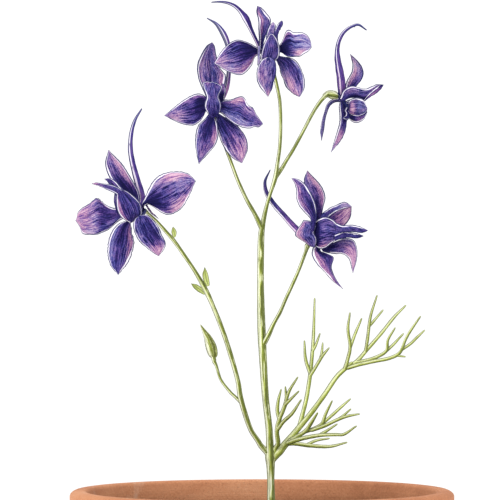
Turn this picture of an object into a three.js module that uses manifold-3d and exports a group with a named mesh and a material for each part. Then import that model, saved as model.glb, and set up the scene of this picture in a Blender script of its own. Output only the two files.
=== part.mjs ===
// A larkspur plant growing in a plain terracotta pot. Millimetres, +Z up.
// The origin is the centre of the pot's base, on the surface that the pot stands on, and -Y faces the viewer.
// The plant has one upright stem, four side branches, five spurred flowers, one bud, three bracts and one divided leaf.
import * as THREE from "three";
import { mergeVertices } from "three/addons/utils/BufferGeometryUtils.js";
import Module from "manifold-3d";

const wasm = await Module();
wasm.setup();

// ---- driving dimensions ----
const POT_HEIGHT = 88;
const POT_BASE_R = 33; // outer radius on the ground
const POT_BODY_R = 45.5; // outer radius just under the collar
const POT_RIM_R = 50; // outer radius of the collar
const POT_MOUTH_R = 45.2; // inner radius at the mouth
const POT_COLLAR_H = 21;
const POT_WALL = 4.4;
const POT_FLOOR = 6;
const DRAIN_R = 6;
const POT_FACETS = 40;
const COMPOST_TOP = 80; // height of the compost at the wall
const COMPOST_CROWN = 1.2; // how much it rises towards the stem
const FIT_GAP = 0.35; // clearance between neighbouring pieces
const STEM_X = 2.5; // the stem's foot, off the pot's axis
const STEM_HOLE_R = 1.7;
const STEM_HOLE_FLOOR = 69;
const SEPAL_T = 0.5; // thickness of sepals and petals
const BRACT_T = 0.4;
const BLADE_ACROSS = 4; // facets across a blade
const SPUR_SIDES = 7;
const STEM_SIDES = 8;
const LEAF_SIDES = 5;

// ---- materials ----
const mat = (name, color, roughness) => {
  const m = new THREE.MeshStandardMaterial({ color, roughness, metalness: 0 });
  m.name = name;
  return m;
};
const sepalMat = mat("sepal", 0x4b3a8c, 0.6);
const petalMat = mat("petal", 0x3a2c74, 0.55);
const stamenMat = mat("stamen", 0x8f8a4a, 0.7);
const stemMat = mat("stem", 0x8d9a4c, 0.65);
const leafMat = mat("leaf", 0x93a046, 0.65);
const budMat = mat("bud", 0xa3a765, 0.65);
const clayMat = mat("terracotta", 0xb5653f, 0.85);
const compostMat = mat("compost", 0x2e2118, 0.95);

// ---- control tables ----
// Blades: one row for each step from base to tip, holding the left edge, the middle and the right edge as x, y, z.
// Tubes: one row for each step, holding the centre as x, y, z, and the radius.
// A flower's rows are measured from its centre.
const FLOWERS = {
  a: {
    centre: [-31.4, -19, 161.1],
    blades: {
      upper: [
        [-1.62, 1.8, 0.54, -0.8, 2.19, 0.68, 0.04, 1.8, 0.8],
        [-2.88, 2.38, 2.25, -1.4, 2.92, 2.58, 0.11, 2.17, 2.89],
        [-4.2, 2.93, 3.92, -2.33, 3.54, 4.42, -0.41, 2.54, 4.91],
        [-5.67, 3.41, 5.44, -3.61, 4.03, 6.09, -1.49, 2.88, 6.71],
        [-7.09, 3.8, 7.02, -4.87, 4.4, 7.78, -2.59, 3.2, 8.51],
        [-8.15, 4.07, 8.85, -5.96, 4.63, 9.59, -3.71, 3.52, 10.3],
        [-8.82, 4.28, 10.85, -6.92, 4.74, 11.43, -4.97, 3.78, 11.98],
        [-8.62, 4.45, 12.94, -7.55, 4.71, 13.22, -6.44, 4, 13.48],
        [-8.22, 4.6, 14.89, -7.97, 4.4, 14.95, -7.73, 4.2, 15],
      ],
      lat_l: [
        [-2.09, 0.6, -2.02, -2.08, 0.21, -1.01, -2.09, 0.6, 0.02],
        [-3.09, 0.91, -2.36, -3.11, 0.47, -1.21, -3.17, 1.09, -0.05],
        [-4.09, 1.22, -2.69, -4.15, 0.75, -1.41, -4.25, 1.56, -0.12],
        [-5.04, 1.51, -3.13, -5.16, 1.04, -1.63, -5.33, 2.01, -0.11],
        [-5.84, 1.79, -3.8, -6.09, 1.32, -1.9, -6.4, 2.43, 0.01],
        [-6.57, 2.04, -4.56, -6.97, 1.58, -2.12, -7.43, 2.81, 0.33],
        [-7.35, 2.25, -5.26, -7.83, 1.82, -2.2, -8.37, 3.15, 0.87],
        [-8.23, 2.43, -5.83, -8.68, 2.04, -2.15, -9.2, 3.44, 1.54],
        [-9.2, 2.59, -6.22, -9.56, 2.22, -1.98, -9.99, 3.66, 2.28],
        [-10.19, 2.75, -6.57, -10.54, 2.38, -1.94, -10.95, 3.78, 2.72],
        [-11.21, 2.86, -6.84, -11.48, 2.5, -2.36, -11.82, 3.85, 2.14],
        [-12.25, 2.93, -6.89, -12.38, 2.59, -2.75, -12.58, 3.88, 1.41],
        [-13.29, 2.96, -6.8, -13.36, 2.65, -2.98, -13.49, 3.86, 0.85],
        [-14.33, 2.95, -6.7, -14.34, 2.7, -3.2, -14.41, 3.81, 0.32],
        [-14.88, 2.9, -5.92, -15.02, 2.73, -3.14, -15.21, 3.73, -0.35],
        [-15.18, 2.83, -4.92, -15.52, 2.76, -3.05, -15.89, 3.61, -1.17],
        [-15.76, 2.75, -4.06, -15.86, 2.81, -3.13, -16, 3.49, -2.19],
        [-16.3, 2.65, -3.43, -16.34, 3, -3.18, -16.38, 3.35, -2.93],
      ],
      lat_r: [
        [0.82, 0.6, 1.19, 0.98, 0.21, 0.83, 1.13, 0.6, 0.48],
        [1.63, 0.94, 3.4, 2.48, 0.09, 1.92, 3.3, 0.53, 0.47],
        [2.66, 1.17, 5.5, 3.98, -0.01, 2.33, 5.27, 0.4, -0.82],
        [4.08, 1.23, 7.36, 5.77, -0.19, 2.82, 7.43, 0.16, -1.69],
        [6.01, 1, 8.67, 7.85, -0.5, 3.82, 9.65, -0.2, -1],
        [8.26, 0.44, 9.33, 9.84, -0.94, 4.92, 11.39, -0.66, 0.55],
        [10.61, -0.31, 9.32, 11.6, -1.51, 5.93, 12.56, -1.31, 2.58],
        [12.83, -1.21, 8.56, 13.21, -2.15, 6.62, 13.57, -2.11, 4.69],
        [14.42, -2.2, 7.1, 14.47, -2.6, 6.85, 14.52, -3, 6.61],
      ],
      low_l: [
        [-3.07, 0.9, -3.19, -2.55, 0.51, -3.3, -2.05, 0.9, -3.4],
        [-5.06, 0.71, -3.93, -3.5, 0.2, -4.6, -1.97, 0.97, -5.26],
        [-6.58, 0.51, -5.39, -4.11, -0.05, -6.25, -1.7, 0.99, -7.1],
        [-7.53, 0.26, -7.29, -4.38, -0.29, -8.1, -1.28, 0.93, -8.91],
        [-8.06, -0.02, -9.35, -4.78, -0.55, -10.05, -1.56, 0.73, -10.75],
        [-8.1, -0.33, -11.48, -5.08, -0.82, -12, -2.12, 0.36, -12.53],
        [-7.69, -0.71, -13.57, -5.3, -1.1, -13.88, -2.95, -0.09, -14.19],
        [-6.72, -1.16, -15.46, -5.39, -1.37, -15.55, -4.09, -0.6, -15.64],
        [-5.52, -1.65, -17.02, -5.29, -1.4, -17.04, -5.05, -1.15, -17.06],
      ],
      low_r: [
        [-0.06, -5, -2.24, 0.2, -5.35, -2.08, 0.44, -5, -1.9],
        [-1.2, -4.85, -3.37, 0.51, -5.32, -2.62, 2.18, -4.64, -1.85],
        [-1.37, -4.71, -5.02, 1.14, -5.23, -3.95, 3.62, -4.32, -2.88],
        [-0.91, -4.6, -6.62, 1.89, -5.12, -5.49, 4.65, -4.06, -4.34],
        [-0.12, -4.5, -8.09, 2.72, -5, -7, 5.51, -3.9, -5.91],
        [1, -4.41, -9.32, 3.66, -4.87, -8.43, 6.29, -3.86, -7.54],
        [2.27, -4.37, -10.41, 4.58, -4.74, -9.82, 6.86, -3.87, -9.22],
        [3.63, -4.37, -11.37, 4.96, -4.58, -11.13, 6.27, -3.92, -10.89],
        [4.83, -4.4, -12.27, 5.07, -4.2, -12.22, 5.3, -4, -12.18],
      ],
      hood: [
        [-2.2, -1, -3.77, -1.88, -2.13, -3.68, -1.63, -1, -3.56],
        [-3.31, -1.33, -3.22, -1.79, -3.2, -2.98, -0.38, -1.33, -2.7],
        [-4.31, -1.61, -2.47, -1.73, -3.93, -2.11, 0.71, -1.61, -1.7],
        [-5.08, -1.77, -1.5, -2.07, -4.33, -0.88, 0.78, -1.77, -0.21],
        [-5.58, -1.8, -0.35, -2.58, -4.39, 0.39, 0.26, -1.8, 1.2],
        [-5.76, -1.67, 0.89, -3.15, -4.09, 1.6, -0.68, -1.67, 2.37],
        [-5.81, -1.41, 2.14, -3.73, -3.44, 2.75, -1.79, -1.41, 3.41],
        [-5.69, -1.03, 3.4, -4.33, -2.43, 3.81, -3.05, -1.03, 4.26],
        [-5.35, -0.6, 4.58, -4.88, -0.6, 4.73, -4.42, -0.6, 4.89],
      ],
      fork_l: [
        [-4.14, -2.2, 1.77, -3.58, -2.33, 2.61, -3.02, -2.2, 3.45],
        [-4.92, -1.77, 2.63, -4.41, -1.99, 3.47, -3.92, -1.77, 4.32],
        [-5.76, -1.35, 3.44, -5.32, -1.62, 4.26, -4.91, -1.35, 5.08],
        [-6.76, -0.93, 4.03, -6.39, -1.22, 4.83, -6.03, -0.93, 5.63],
        [-7.83, -0.5, 4.51, -7.52, -0.8, 5.25, -7.23, -0.5, 6],
        [-8.88, -0.07, 5, -8.67, -0.35, 5.58, -8.47, -0.07, 6.16],
        [-9.96, 0.35, 5.47, -9.82, 0.12, 5.92, -9.71, 0.35, 6.37],
        [-11.06, 0.77, 5.87, -11, 0.61, 6.19, -10.95, 0.77, 6.52],
        [-12.2, 1.2, 6.06, -12.17, 1.2, 6.23, -12.14, 1.2, 6.4],
      ],
      fork_r: [
        [-4.4, -2, 2.38, -3.69, -2.13, 3.02, -2.98, -2, 3.66],
        [-5.02, -1.51, 2.98, -4.33, -1.73, 3.65, -3.65, -1.51, 4.33],
        [-5.64, -1.02, 3.57, -4.97, -1.29, 4.29, -4.32, -1.02, 5.01],
        [-6.22, -0.54, 4.2, -5.57, -0.83, 4.96, -4.95, -0.54, 5.72],
        [-6.77, -0.05, 4.86, -6.15, -0.35, 5.66, -5.55, -0.05, 6.46],
        [-7.3, 0.44, 5.54, -6.78, 0.16, 6.31, -6.27, 0.44, 7.08],
        [-7.8, 0.92, 6.24, -7.44, 0.69, 6.9, -7.1, 0.92, 7.57],
        [-8.35, 1.41, 6.9, -8.19, 1.25, 7.27, -8.04, 1.41, 7.64],
        [-9.05, 1.9, 7.34, -8.98, 1.9, 7.5, -8.91, 1.9, 7.65],
      ],
    },
    tubes: {
      spur: [
        [-0.08, 1.6, -0.23, 1],
        [0.61, 3.42, 1.85, 1],
        [0.18, 4.87, 4.23, 0.95],
        [-0.58, 6.03, 6.71, 0.87],
        [-1.32, 6.94, 9.3, 0.8],
        [-1.98, 7.75, 11.95, 0.74],
        [-2.45, 8.44, 14.67, 0.68],
        [-2.49, 8.97, 17.46, 0.6],
        [-2.12, 9.37, 20.25, 0.52],
        [-1.26, 9.64, 22.94, 0.39],
        [0.2, 9.8, 25.37, 0.2],
      ],
      stamens: [
        [-0.95, 0.7, -1, 0.55],
        [-1.42, -0.4, -0.76, 0.6],
        [-1.93, -1.3, -0.51, 0.75],
        [-2.43, -1.7, -0.26, 0.6],
      ],
    },
  },
  b: {
    centre: [-12.5, -7, 187.1],
    blades: {
      upper: [
        [-1.48, 1.6, 1.83, -0.19, 2.29, 1.86, 1.1, 1.6, 1.83],
        [-2.45, 2.28, 3.76, -0.23, 3.51, 3.81, 1.82, 2.44, 3.8],
        [-3.26, 2.9, 5.76, -0.3, 4.48, 5.76, 2.63, 3.19, 5.72],
        [-3.91, 3.41, 7.81, -0.41, 5.18, 7.7, 3.27, 3.81, 7.71],
        [-4.29, 3.77, 9.93, -0.69, 5.59, 9.61, 2.68, 4.23, 9.59],
        [-4.27, 4, 12.06, -1.09, 5.69, 11.49, 1.29, 4.41, 11.11],
        [-3.12, 4.06, 13.83, -1.06, 5.5, 13.38, 0.72, 4.44, 13.09],
        [-1.75, 3.99, 15.46, -0.71, 5.02, 15.24, 0.19, 4.33, 15.08],
        [-0.58, 3.85, 17.1, -0.34, 4, 17.06, -0.1, 4.15, 17.02],
      ],
      lat_l: [
        [-1.99, 0.6, -0.84, -1.7, 0.25, 0.56, -1.42, 0.6, 2],
        [-2.74, 0.65, -2.3, -2.64, 0.29, 0.47, -2.56, 1.07, 3.29],
        [-3.69, 0.65, -3.62, -3.94, 0.33, 0.01, -4.21, 1.42, 3.69],
        [-5.1, 0.53, -4.43, -5.46, 0.28, -0.64, -5.85, 1.6, 3.2],
        [-6.71, 0.3, -4.52, -7.02, 0.1, -1.1, -7.35, 1.5, 2.37],
        [-8.29, -0.03, -4.12, -8.5, -0.22, -1.41, -8.74, 1.07, 1.35],
        [-9.81, -0.56, -3.56, -9.94, -0.68, -1.67, -10.09, 0.44, 0.27],
        [-11.25, -1.24, -2.84, -11.31, -1.22, -1.87, -11.39, -0.34, -0.86],
        [-12.64, -2, -2.29, -12.66, -1.6, -2.03, -12.68, -1.2, -1.77],
      ],
      lat_r: [
        [1.5, 0.8, 1.02, 1.5, 0.41, -0.09, 1.5, 0.8, -1.17],
        [2.11, 0.87, 1.78, 2.17, 0.21, 0.09, 2.21, 0.63, -1.56],
        [2.99, 0.92, 2.18, 2.91, 0.05, 0.02, 2.83, 0.46, -2.09],
        [3.95, 0.96, 2.17, 3.66, -0.11, -0.3, 3.37, 0.29, -2.7],
        [4.9, 0.99, 2.35, 4.44, -0.25, -0.48, 3.97, 0.12, -3.25],
        [5.81, 0.99, 2.69, 5.21, -0.39, -0.57, 4.61, -0.06, -3.75],
        [6.74, 0.97, 2.96, 6.01, -0.52, -0.66, 5.28, -0.24, -4.21],
        [7.67, 0.92, 2.83, 6.83, -0.66, -0.93, 5.99, -0.44, -4.62],
        [8.27, 0.77, 2.07, 7.5, -0.8, -1.46, 6.74, -0.58, -4.93],
        [8.68, 0.59, 1.18, 8.1, -0.93, -2.01, 7.52, -0.71, -5.14],
        [9.31, 0.38, 0.47, 8.81, -1.07, -2.44, 8.31, -0.86, -5.29],
        [10.11, 0.16, -0.06, 9.61, -1.21, -2.75, 9.12, -1.02, -5.37],
        [10.61, -0.08, -0.89, 10.25, -1.35, -3.07, 9.89, -1.21, -5.2],
        [11.05, -0.34, -1.76, 10.85, -1.48, -3.4, 10.65, -1.41, -4.99],
        [11.68, -0.6, -2.51, 11.56, -1.59, -3.83, 11.45, -1.61, -5.12],
        [12.22, -0.87, -3.32, 12.18, -1.67, -4.04, 12.14, -1.83, -4.73],
        [12.75, -1.15, -3.91, 12.73, -1.6, -4.17, 12.72, -2.05, -4.43],
      ],
      low_l: [
        [-1.01, 1.15, -1.18, -0.63, 0.76, -1.46, -0.26, 1.15, -1.7],
        [-2.15, 1.05, -2.62, -0.75, 0.28, -3, 0.63, 0.79, -3.33],
        [-3.49, 0.91, -3.87, -1.2, -0.14, -4.53, 1.07, 0.43, -5.14],
        [-4.36, 0.69, -5.47, -1.57, -0.53, -6.26, 1.2, 0.02, -6.99],
        [-4.75, 0.35, -7.27, -1.95, -0.92, -8.06, 0.82, -0.4, -8.8],
        [-4.79, -0.14, -9.11, -2.43, -1.32, -9.78, -0.09, -0.83, -10.41],
        [-4.62, -0.7, -10.95, -2.96, -1.71, -11.39, -1.32, -1.32, -11.79],
        [-4.27, -1.31, -12.76, -3.4, -2.07, -12.98, -2.55, -1.87, -13.17],
        [-4.03, -1.95, -14.48, -3.78, -2.2, -14.55, -3.54, -2.45, -14.61],
      ],
      low_r: [
        [0.74, 1.55, -1.79, 1.14, 0.73, -1.69, 1.52, 1.55, -1.53],
        [0.5, 1.88, -3.66, 1.89, 0.52, -3.17, 3.26, 1.88, -2.58],
        [0.77, 2.07, -5.52, 2.9, 0.37, -4.63, 5, 2.07, -3.64],
        [1.38, 2.09, -7.31, 3.99, 0.23, -6.18, 6.57, 2.09, -4.95],
        [2.11, 1.92, -9.07, 4.95, 0.03, -7.88, 7.77, 1.92, -6.59],
        [3.03, 1.54, -10.73, 5.79, -0.22, -9.66, 8.54, 1.54, -8.49],
        [4.16, 0.97, -12.27, 6.49, -0.52, -11.43, 8.83, 0.97, -10.52],
        [5.59, 0.21, -13.5, 6.92, -0.8, -13.01, 8.24, 0.21, -12.47],
        [7.09, -0.8, -14.4, 7.32, -0.8, -14.31, 7.55, -0.8, -14.22],
      ],
      hood: [
        [-0.55, -0.8, -2.49, 0, -1.75, -2.63, 0.48, -0.8, -2.49],
        [-1.24, -1.08, -1.78, -0.02, -2.55, -1.77, 1.11, -1.08, -1.89],
        [-1.83, -1.33, -0.99, -0.04, -3.16, -0.91, 1.6, -1.33, -1.16],
        [-2.3, -1.53, -0.12, -0.08, -3.59, -0.04, 1.84, -1.53, -0.32],
        [-2.34, -1.66, 0.86, -0.14, -3.84, 0.84, 1.9, -1.66, 0.55],
        [-2.01, -1.7, 1.8, -0.19, -3.89, 1.72, 1.76, -1.7, 1.42],
        [-1.78, -1.66, 2.74, -0.24, -3.74, 2.61, 1.44, -1.66, 2.24],
        [-2.15, -1.53, 3.67, -0.25, -3.4, 3.51, 1.33, -1.53, 3.1],
        [-2.53, -1.33, 4.61, -0.25, -2.86, 4.42, 1.75, -1.33, 3.88],
        [-2.78, -1.08, 5.58, -0.28, -2.11, 5.33, 2.16, -1.08, 4.67],
        [-2.9, -0.8, 6.59, -0.32, -0.8, 6.28, 2.26, -0.8, 5.56],
      ],
    },
    tubes: {
      spur: [
        [0.74, 2.2, 1.98, 0.85],
        [2.24, 3.73, 2.81, 0.65],
        [3.05, 5.07, 4.52, 0.62],
        [3.53, 6.43, 6.35, 0.61],
        [3.74, 7.73, 8.26, 0.6],
        [3.92, 8.87, 10.29, 0.6],
        [4.08, 9.81, 12.41, 0.6],
        [4, 10.65, 14.58, 0.63],
        [3.62, 11.39, 16.75, 0.69],
        [2.89, 11.91, 18.9, 0.8],
        [1.79, 12.37, 20.89, 0.68],
        [0.34, 12.9, 22.61, 0.4],
        [-1.61, 13.2, 23.81, 0.16],
      ],
      stamens: [
        [-0.05, 0.9, -0.91, 0.5],
        [-0.04, -0.1, -0.56, 0.55],
        [-0.06, -1, -0.18, 0.7],
        [-0.05, -1.6, 0.16, 0.55],
      ],
    },
  },
  c: {
    centre: [2.1, -1, 201.3],
    blades: {
      upper: [
        [-2.93, 1.6, 1.13, -2.41, 1.99, 1.28, -1.89, 1.6, 1.39],
        [-2.94, 1.47, 2.57, -2.29, 2.22, 2.83, -1.65, 1.67, 3.03],
        [-2.96, 1.38, 4, -2.1, 2.38, 4.36, -1.24, 1.77, 4.63],
        [-2.99, 1.38, 5.44, -1.82, 2.53, 5.86, -0.66, 1.91, 6.18],
        [-3.04, 1.5, 6.89, -1.52, 2.7, 7.35, -0.01, 2.1, 7.7],
        [-3.07, 1.77, 8.35, -1.42, 2.88, 8.88, 0.23, 2.32, 9.31],
        [-3.23, 2.13, 9.8, -1.98, 3.08, 10.27, -0.74, 2.63, 10.66],
        [-3.55, 2.55, 11.22, -2.71, 3.25, 11.58, -1.87, 3, 11.88],
        [-3.53, 3, 12.58, -3.29, 3.2, 12.68, -3.06, 3.4, 12.78],
      ],
      lat_l: [
        [-2.05, 0.8, 0.15, -2.05, 0.5, 0.71, -2.05, 0.8, 1.3],
        [-3.84, 0.33, -0.7, -3.86, 0.06, 0.65, -3.89, 0.79, 2.06],
        [-4.6, -0.18, -2.55, -5.13, -0.37, 0.18, -5.65, 0.69, 2.97],
        [-5.69, -0.75, -4.22, -6.6, -0.84, -0.32, -7.51, 0.45, 3.65],
        [-7.26, -1.38, -5.43, -8.35, -1.4, -1.03, -9.45, -0.03, 3.44],
        [-9.21, -2.02, -5.37, -10.16, -2.05, -1.56, -11.11, -0.78, 2.33],
        [-11.05, -2.81, -4.68, -11.78, -2.79, -1.93, -12.51, -1.68, 0.88],
        [-12.77, -3.7, -3.75, -13.19, -3.57, -2.3, -13.61, -2.69, -0.82],
        [-14.36, -4.65, -2.95, -14.43, -4.2, -2.69, -14.5, -3.75, -2.43],
      ],
      lat_r: [
        [1.93, 0.8, 2, 1.93, 0.45, 1.33, 1.93, 0.8, 0.7],
        [2.62, 0.9, 2.65, 2.59, 0.3, 1.55, 2.57, 0.67, 0.5],
        [3.14, 0.98, 3.45, 3.16, 0.18, 1.82, 3.19, 0.55, 0.26],
        [3.52, 1.05, 4.32, 3.61, 0.07, 2.05, 3.72, 0.41, -0.14],
        [3.86, 1.09, 5.21, 4.06, -0.05, 2.31, 4.28, 0.27, -0.51],
        [4.3, 1.1, 6.05, 4.6, -0.16, 2.63, 4.92, 0.12, -0.69],
        [5.01, 1.07, 6.3, 5.29, -0.29, 2.71, 5.58, -0.06, -0.78],
        [5.8, 0.99, 5.8, 6.02, -0.42, 2.47, 6.25, -0.24, -0.77],
        [6.73, 0.8, 5.61, 6.81, -0.57, 2.4, 6.91, -0.37, -0.73],
        [7.67, 0.59, 5.7, 7.61, -0.73, 2.46, 7.57, -0.53, -0.7],
        [8.6, 0.34, 5.57, 8.39, -0.9, 2.51, 8.19, -0.73, -0.47],
        [9.42, 0.07, 5.09, 9.07, -1.08, 2.46, 8.73, -0.95, -0.1],
        [10.04, -0.23, 4.37, 9.66, -1.27, 2.27, 9.3, -1.19, 0.23],
        [10.47, -0.54, 3.51, 10.16, -1.44, 2.02, 9.87, -1.45, 0.57],
        [10.66, -0.87, 2.57, 10.48, -1.59, 1.79, 10.31, -1.72, 1.04],
        [10.76, -1.2, 1.85, 10.7, -1.6, 1.59, 10.64, -2, 1.32],
      ],
      low_l: [
        [-0.85, -4.7, -1.13, -0.54, -5.05, -1.11, -0.23, -4.7, -1.07],
        [-2.08, -4.43, -1.7, -0.58, -4.9, -1.65, 0.94, -4.22, -1.54],
        [-2.98, -4.16, -2.93, -0.73, -4.68, -2.92, 1.52, -3.77, -2.83],
        [-3.44, -3.9, -4.39, -0.96, -4.42, -4.37, 1.53, -3.37, -4.27],
        [-3.5, -3.65, -5.93, -1.06, -4.15, -5.86, 1.39, -3.05, -5.71],
        [-3.24, -3.39, -7.44, -1.09, -3.85, -7.32, 1.07, -2.84, -7.12],
        [-2.55, -3.16, -8.81, -0.94, -3.54, -8.7, 0.68, -2.66, -8.52],
        [-1.62, -2.97, -10.04, -0.73, -3.18, -9.98, 0.16, -2.52, -9.88],
        [-0.81, -2.8, -11.19, -0.56, -2.6, -11.16, -0.31, -2.4, -11.13],
      ],
      low_r: [
        [1.1, 1.16, -0.45, 1.47, 0.38, -0.36, 1.85, 1.16, -0.19],
        [1.71, 1.46, -1.95, 2.71, 0.17, -1.36, 3.74, 1.46, -0.64],
        [2.34, 1.65, -3.45, 3.97, 0.04, -2.3, 5.62, 1.65, -0.99],
        [2.85, 1.68, -5, 4.99, -0.09, -3.66, 7.16, 1.68, -2.15],
        [3.35, 1.55, -6.56, 5.77, -0.24, -5.24, 8.23, 1.55, -3.77],
        [3.99, 1.23, -8.07, 6.36, -0.45, -6.93, 8.77, 1.23, -5.64],
        [4.94, 0.73, -9.41, 6.97, -0.67, -8.56, 9.02, 0.73, -7.58],
        [6.18, 0.08, -10.49, 7.41, -0.89, -10.03, 8.66, 0.08, -9.49],
        [7.42, -0.8, -11.28, 7.65, -0.8, -11.19, 7.88, -0.8, -11.1],
      ],
      hood: [
        [-1.2, -0.9, -2.11, -0.04, -2.03, -2.1, 1.14, -0.9, -1.98],
        [-2.1, -1.17, -1.66, -0.14, -3.03, -1.58, 1.84, -1.17, -1.31],
        [-2.49, -1.39, -0.81, -0.09, -3.72, -0.77, 2.34, -1.39, -0.49],
        [-2.29, -1.55, 0.17, 0.09, -4.1, 0.19, 2.49, -1.55, 0.47],
        [-2.09, -1.6, 1.16, 0.18, -4.19, 1.16, 2.48, -1.6, 1.44],
        [-1.81, -1.55, 2.13, 0.23, -3.96, 2.14, 2.3, -1.55, 2.41],
        [-1.46, -1.39, 3.09, 0.25, -3.42, 3.11, 1.99, -1.39, 3.34],
        [-1.02, -1.17, 4.01, 0.25, -2.56, 4.04, 1.54, -1.17, 4.23],
        [-0.5, -0.9, 4.89, 0.24, -0.9, 4.97, 0.98, -0.9, 5.05],
      ],
      fork_l: [
        [-1.02, -1.1, 3.07, -0.27, -1.23, 3.06, 0.49, -1.1, 3.07],
        [-0.98, -0.94, 3.81, -0.24, -1.15, 3.79, 0.5, -0.94, 3.79],
        [-0.93, -0.78, 4.56, -0.21, -1.04, 4.52, 0.51, -0.78, 4.51],
        [-0.81, -0.61, 5.3, -0.13, -0.91, 5.25, 0.56, -0.61, 5.23],
        [-0.64, -0.45, 6.02, 0.03, -0.75, 5.97, 0.7, -0.45, 5.94],
        [-0.4, -0.29, 6.73, 0.25, -0.57, 6.67, 0.91, -0.29, 6.63],
        [-0.13, -0.12, 7.43, 0.55, -0.36, 7.34, 1.24, -0.12, 7.27],
        [0.23, 0.04, 8.08, 0.78, -0.12, 7.99, 1.34, 0.04, 7.92],
        [0.61, 0.2, 8.5, 0.86, 0.2, 8.46, 1.11, 0.2, 8.43],
      ],
      fork_r: [
        [0.1, -1.1, 3.07, 0.89, -1.23, 3.06, 1.68, -1.1, 3.07],
        [0.24, -0.94, 3.91, 0.87, -1.15, 3.88, 1.51, -0.94, 3.87],
        [0.38, -0.78, 4.74, 0.85, -1.04, 4.69, 1.32, -0.78, 4.67],
        [0.59, -0.61, 5.57, 0.95, -0.91, 5.51, 1.31, -0.61, 5.49],
        [0.89, -0.45, 6.36, 1.27, -0.75, 6.28, 1.65, -0.45, 6.23],
        [1.25, -0.29, 7.13, 1.7, -0.57, 6.99, 2.14, -0.29, 6.89],
        [1.66, -0.12, 7.88, 2.2, -0.36, 7.65, 2.74, -0.12, 7.45],
        [2.22, 0.04, 8.51, 2.73, -0.12, 8.28, 3.24, 0.04, 8.08],
        [2.76, 0.2, 8.95, 2.99, 0.2, 8.85, 3.22, 0.2, 8.76],
      ],
    },
    tubes: {
      spur: [
        [-2.2, 2.2, 0.64, 0.75],
        [-2.78, 2.72, 1.94, 0.58],
        [-3.37, 3.28, 3.23, 0.5],
        [-3.97, 3.89, 4.5, 0.5],
        [-4.57, 4.47, 5.78, 0.55],
        [-5.16, 5, 7.08, 0.61],
        [-5.7, 5.52, 8.4, 0.81],
        [-6.35, 5.99, 9.68, 0.89],
        [-7.17, 6.42, 10.88, 0.7],
        [-8.11, 6.88, 11.98, 0.54],
        [-9.22, 7.33, 12.93, 0.49],
        [-10.54, 7.68, 13.59, 0.41],
        [-12, 7.93, 13.96, 0.33],
        [-13.5, 8.14, 14.07, 0.24],
        [-15.01, 8.3, 14, 0.16],
      ],
      stamens: [
        [0.13, 0.7, 0.67, 0.45],
        [0.08, -0.2, 0.57, 0.5],
        [0.02, -1.2, 0.47, 0.7],
        [-0.04, -1.9, 0.33, 0.5],
      ],
    },
  },
  d: {
    centre: [22, 15, 190.2],
    blades: {
      upper: [
        [0.03, 1, 1.78, 0.94, 1.39, 1.87, 1.82, 1, 1.94],
        [0.04, 2.04, 3.15, 1.42, 2.55, 3.21, 2.76, 1.78, 3.21],
        [0.28, 2.99, 4.5, 2.05, 3.55, 4.49, 3.77, 2.51, 4.42],
        [0.83, 3.79, 5.76, 2.77, 4.34, 5.76, 4.67, 3.12, 5.69],
        [1.57, 4.38, 6.9, 3.3, 4.9, 7.1, 4.98, 3.62, 7.21],
        [1.97, 4.7, 8.18, 3.29, 5.19, 8.48, 4.55, 4.01, 8.7],
        [2.01, 4.86, 9.52, 2.87, 5.25, 9.79, 3.69, 4.24, 9.99],
        [1.76, 4.89, 10.82, 2.21, 5.09, 10.99, 2.63, 4.33, 11.11],
        [1.21, 4.85, 12.03, 1.44, 4.6, 12.11, 1.68, 4.35, 12.18],
      ],
      lat_r: [
        [-1.31, -2.1, 0.28, -0.92, -2.32, -0.28, -0.52, -2.1, -0.82],
        [-0.77, -1.7, 1.89, 0.01, -1.86, 0.96, 0.8, -1.29, 0.06],
        [0.45, -1.07, 3.06, 1.39, -1.13, 1.69, 2.36, -0.3, 0.36],
        [2.08, -0.31, 3.48, 2.99, -0.27, 1.77, 3.92, 0.76, 0.11],
        [3.73, 0.6, 3.08, 4.57, 0.7, 1.43, 5.44, 1.8, -0.19],
        [5.39, 1.67, 2.79, 6.05, 1.75, 1.76, 6.74, 2.77, 0.77],
        [6.99, 2.78, 3.47, 7.49, 2.89, 2.6, 8.03, 3.78, 1.75],
        [8.59, 3.92, 4.13, 8.91, 4.1, 3.47, 9.25, 4.82, 2.83],
        [10.21, 5.1, 4.25, 10.33, 5.5, 4.03, 10.45, 5.9, 3.82],
      ],
      lat_l: [
        [0.12, 2.6, -0.38, 0.13, 3.03, -1.16, 0.12, 2.6, -1.97],
        [0.94, 3.56, -0.03, 0.75, 4.2, -1.45, 0.53, 3.41, -2.92],
        [1.8, 4.55, 0.18, 1.45, 5.29, -1.79, 1.05, 4.26, -3.82],
        [2.68, 5.58, 0.23, 2.21, 6.37, -2.17, 1.69, 5.18, -4.65],
        [3.53, 6.68, 0.06, 3.1, 7.45, -2.51, 2.6, 6.22, -5.16],
        [4.3, 7.81, -0.33, 4.02, 8.54, -2.72, 3.69, 7.4, -5.19],
        [4.94, 9.04, -0.89, 4.74, 9.63, -2.65, 4.5, 8.66, -4.47],
        [5.27, 10.33, -1.63, 5.14, 10.69, -2.53, 4.98, 9.99, -3.46],
        [5.51, 11.65, -2.18, 5.47, 11.5, -2.44, 5.42, 11.35, -2.69],
      ],
      low_r: [
        [-1.43, -0.2, -0.54, -0.67, -0.42, -0.42, 0.1, -0.2, -0.28],
        [-1.69, -0.38, -2.25, -0.62, -0.81, -2.2, 0.47, -0.53, -2.13],
        [-1.52, -0.63, -3.97, -0.52, -1.22, -4.02, 0.51, -0.92, -4.03],
        [-1.49, -1.01, -5.71, -0.54, -1.7, -5.83, 0.43, -1.41, -5.92],
        [-1.87, -1.57, -7.42, -0.86, -2.3, -7.63, 0.17, -2.02, -7.8],
        [-2.38, -2.35, -9.1, -1.43, -3.02, -9.36, -0.44, -2.76, -9.6],
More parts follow.
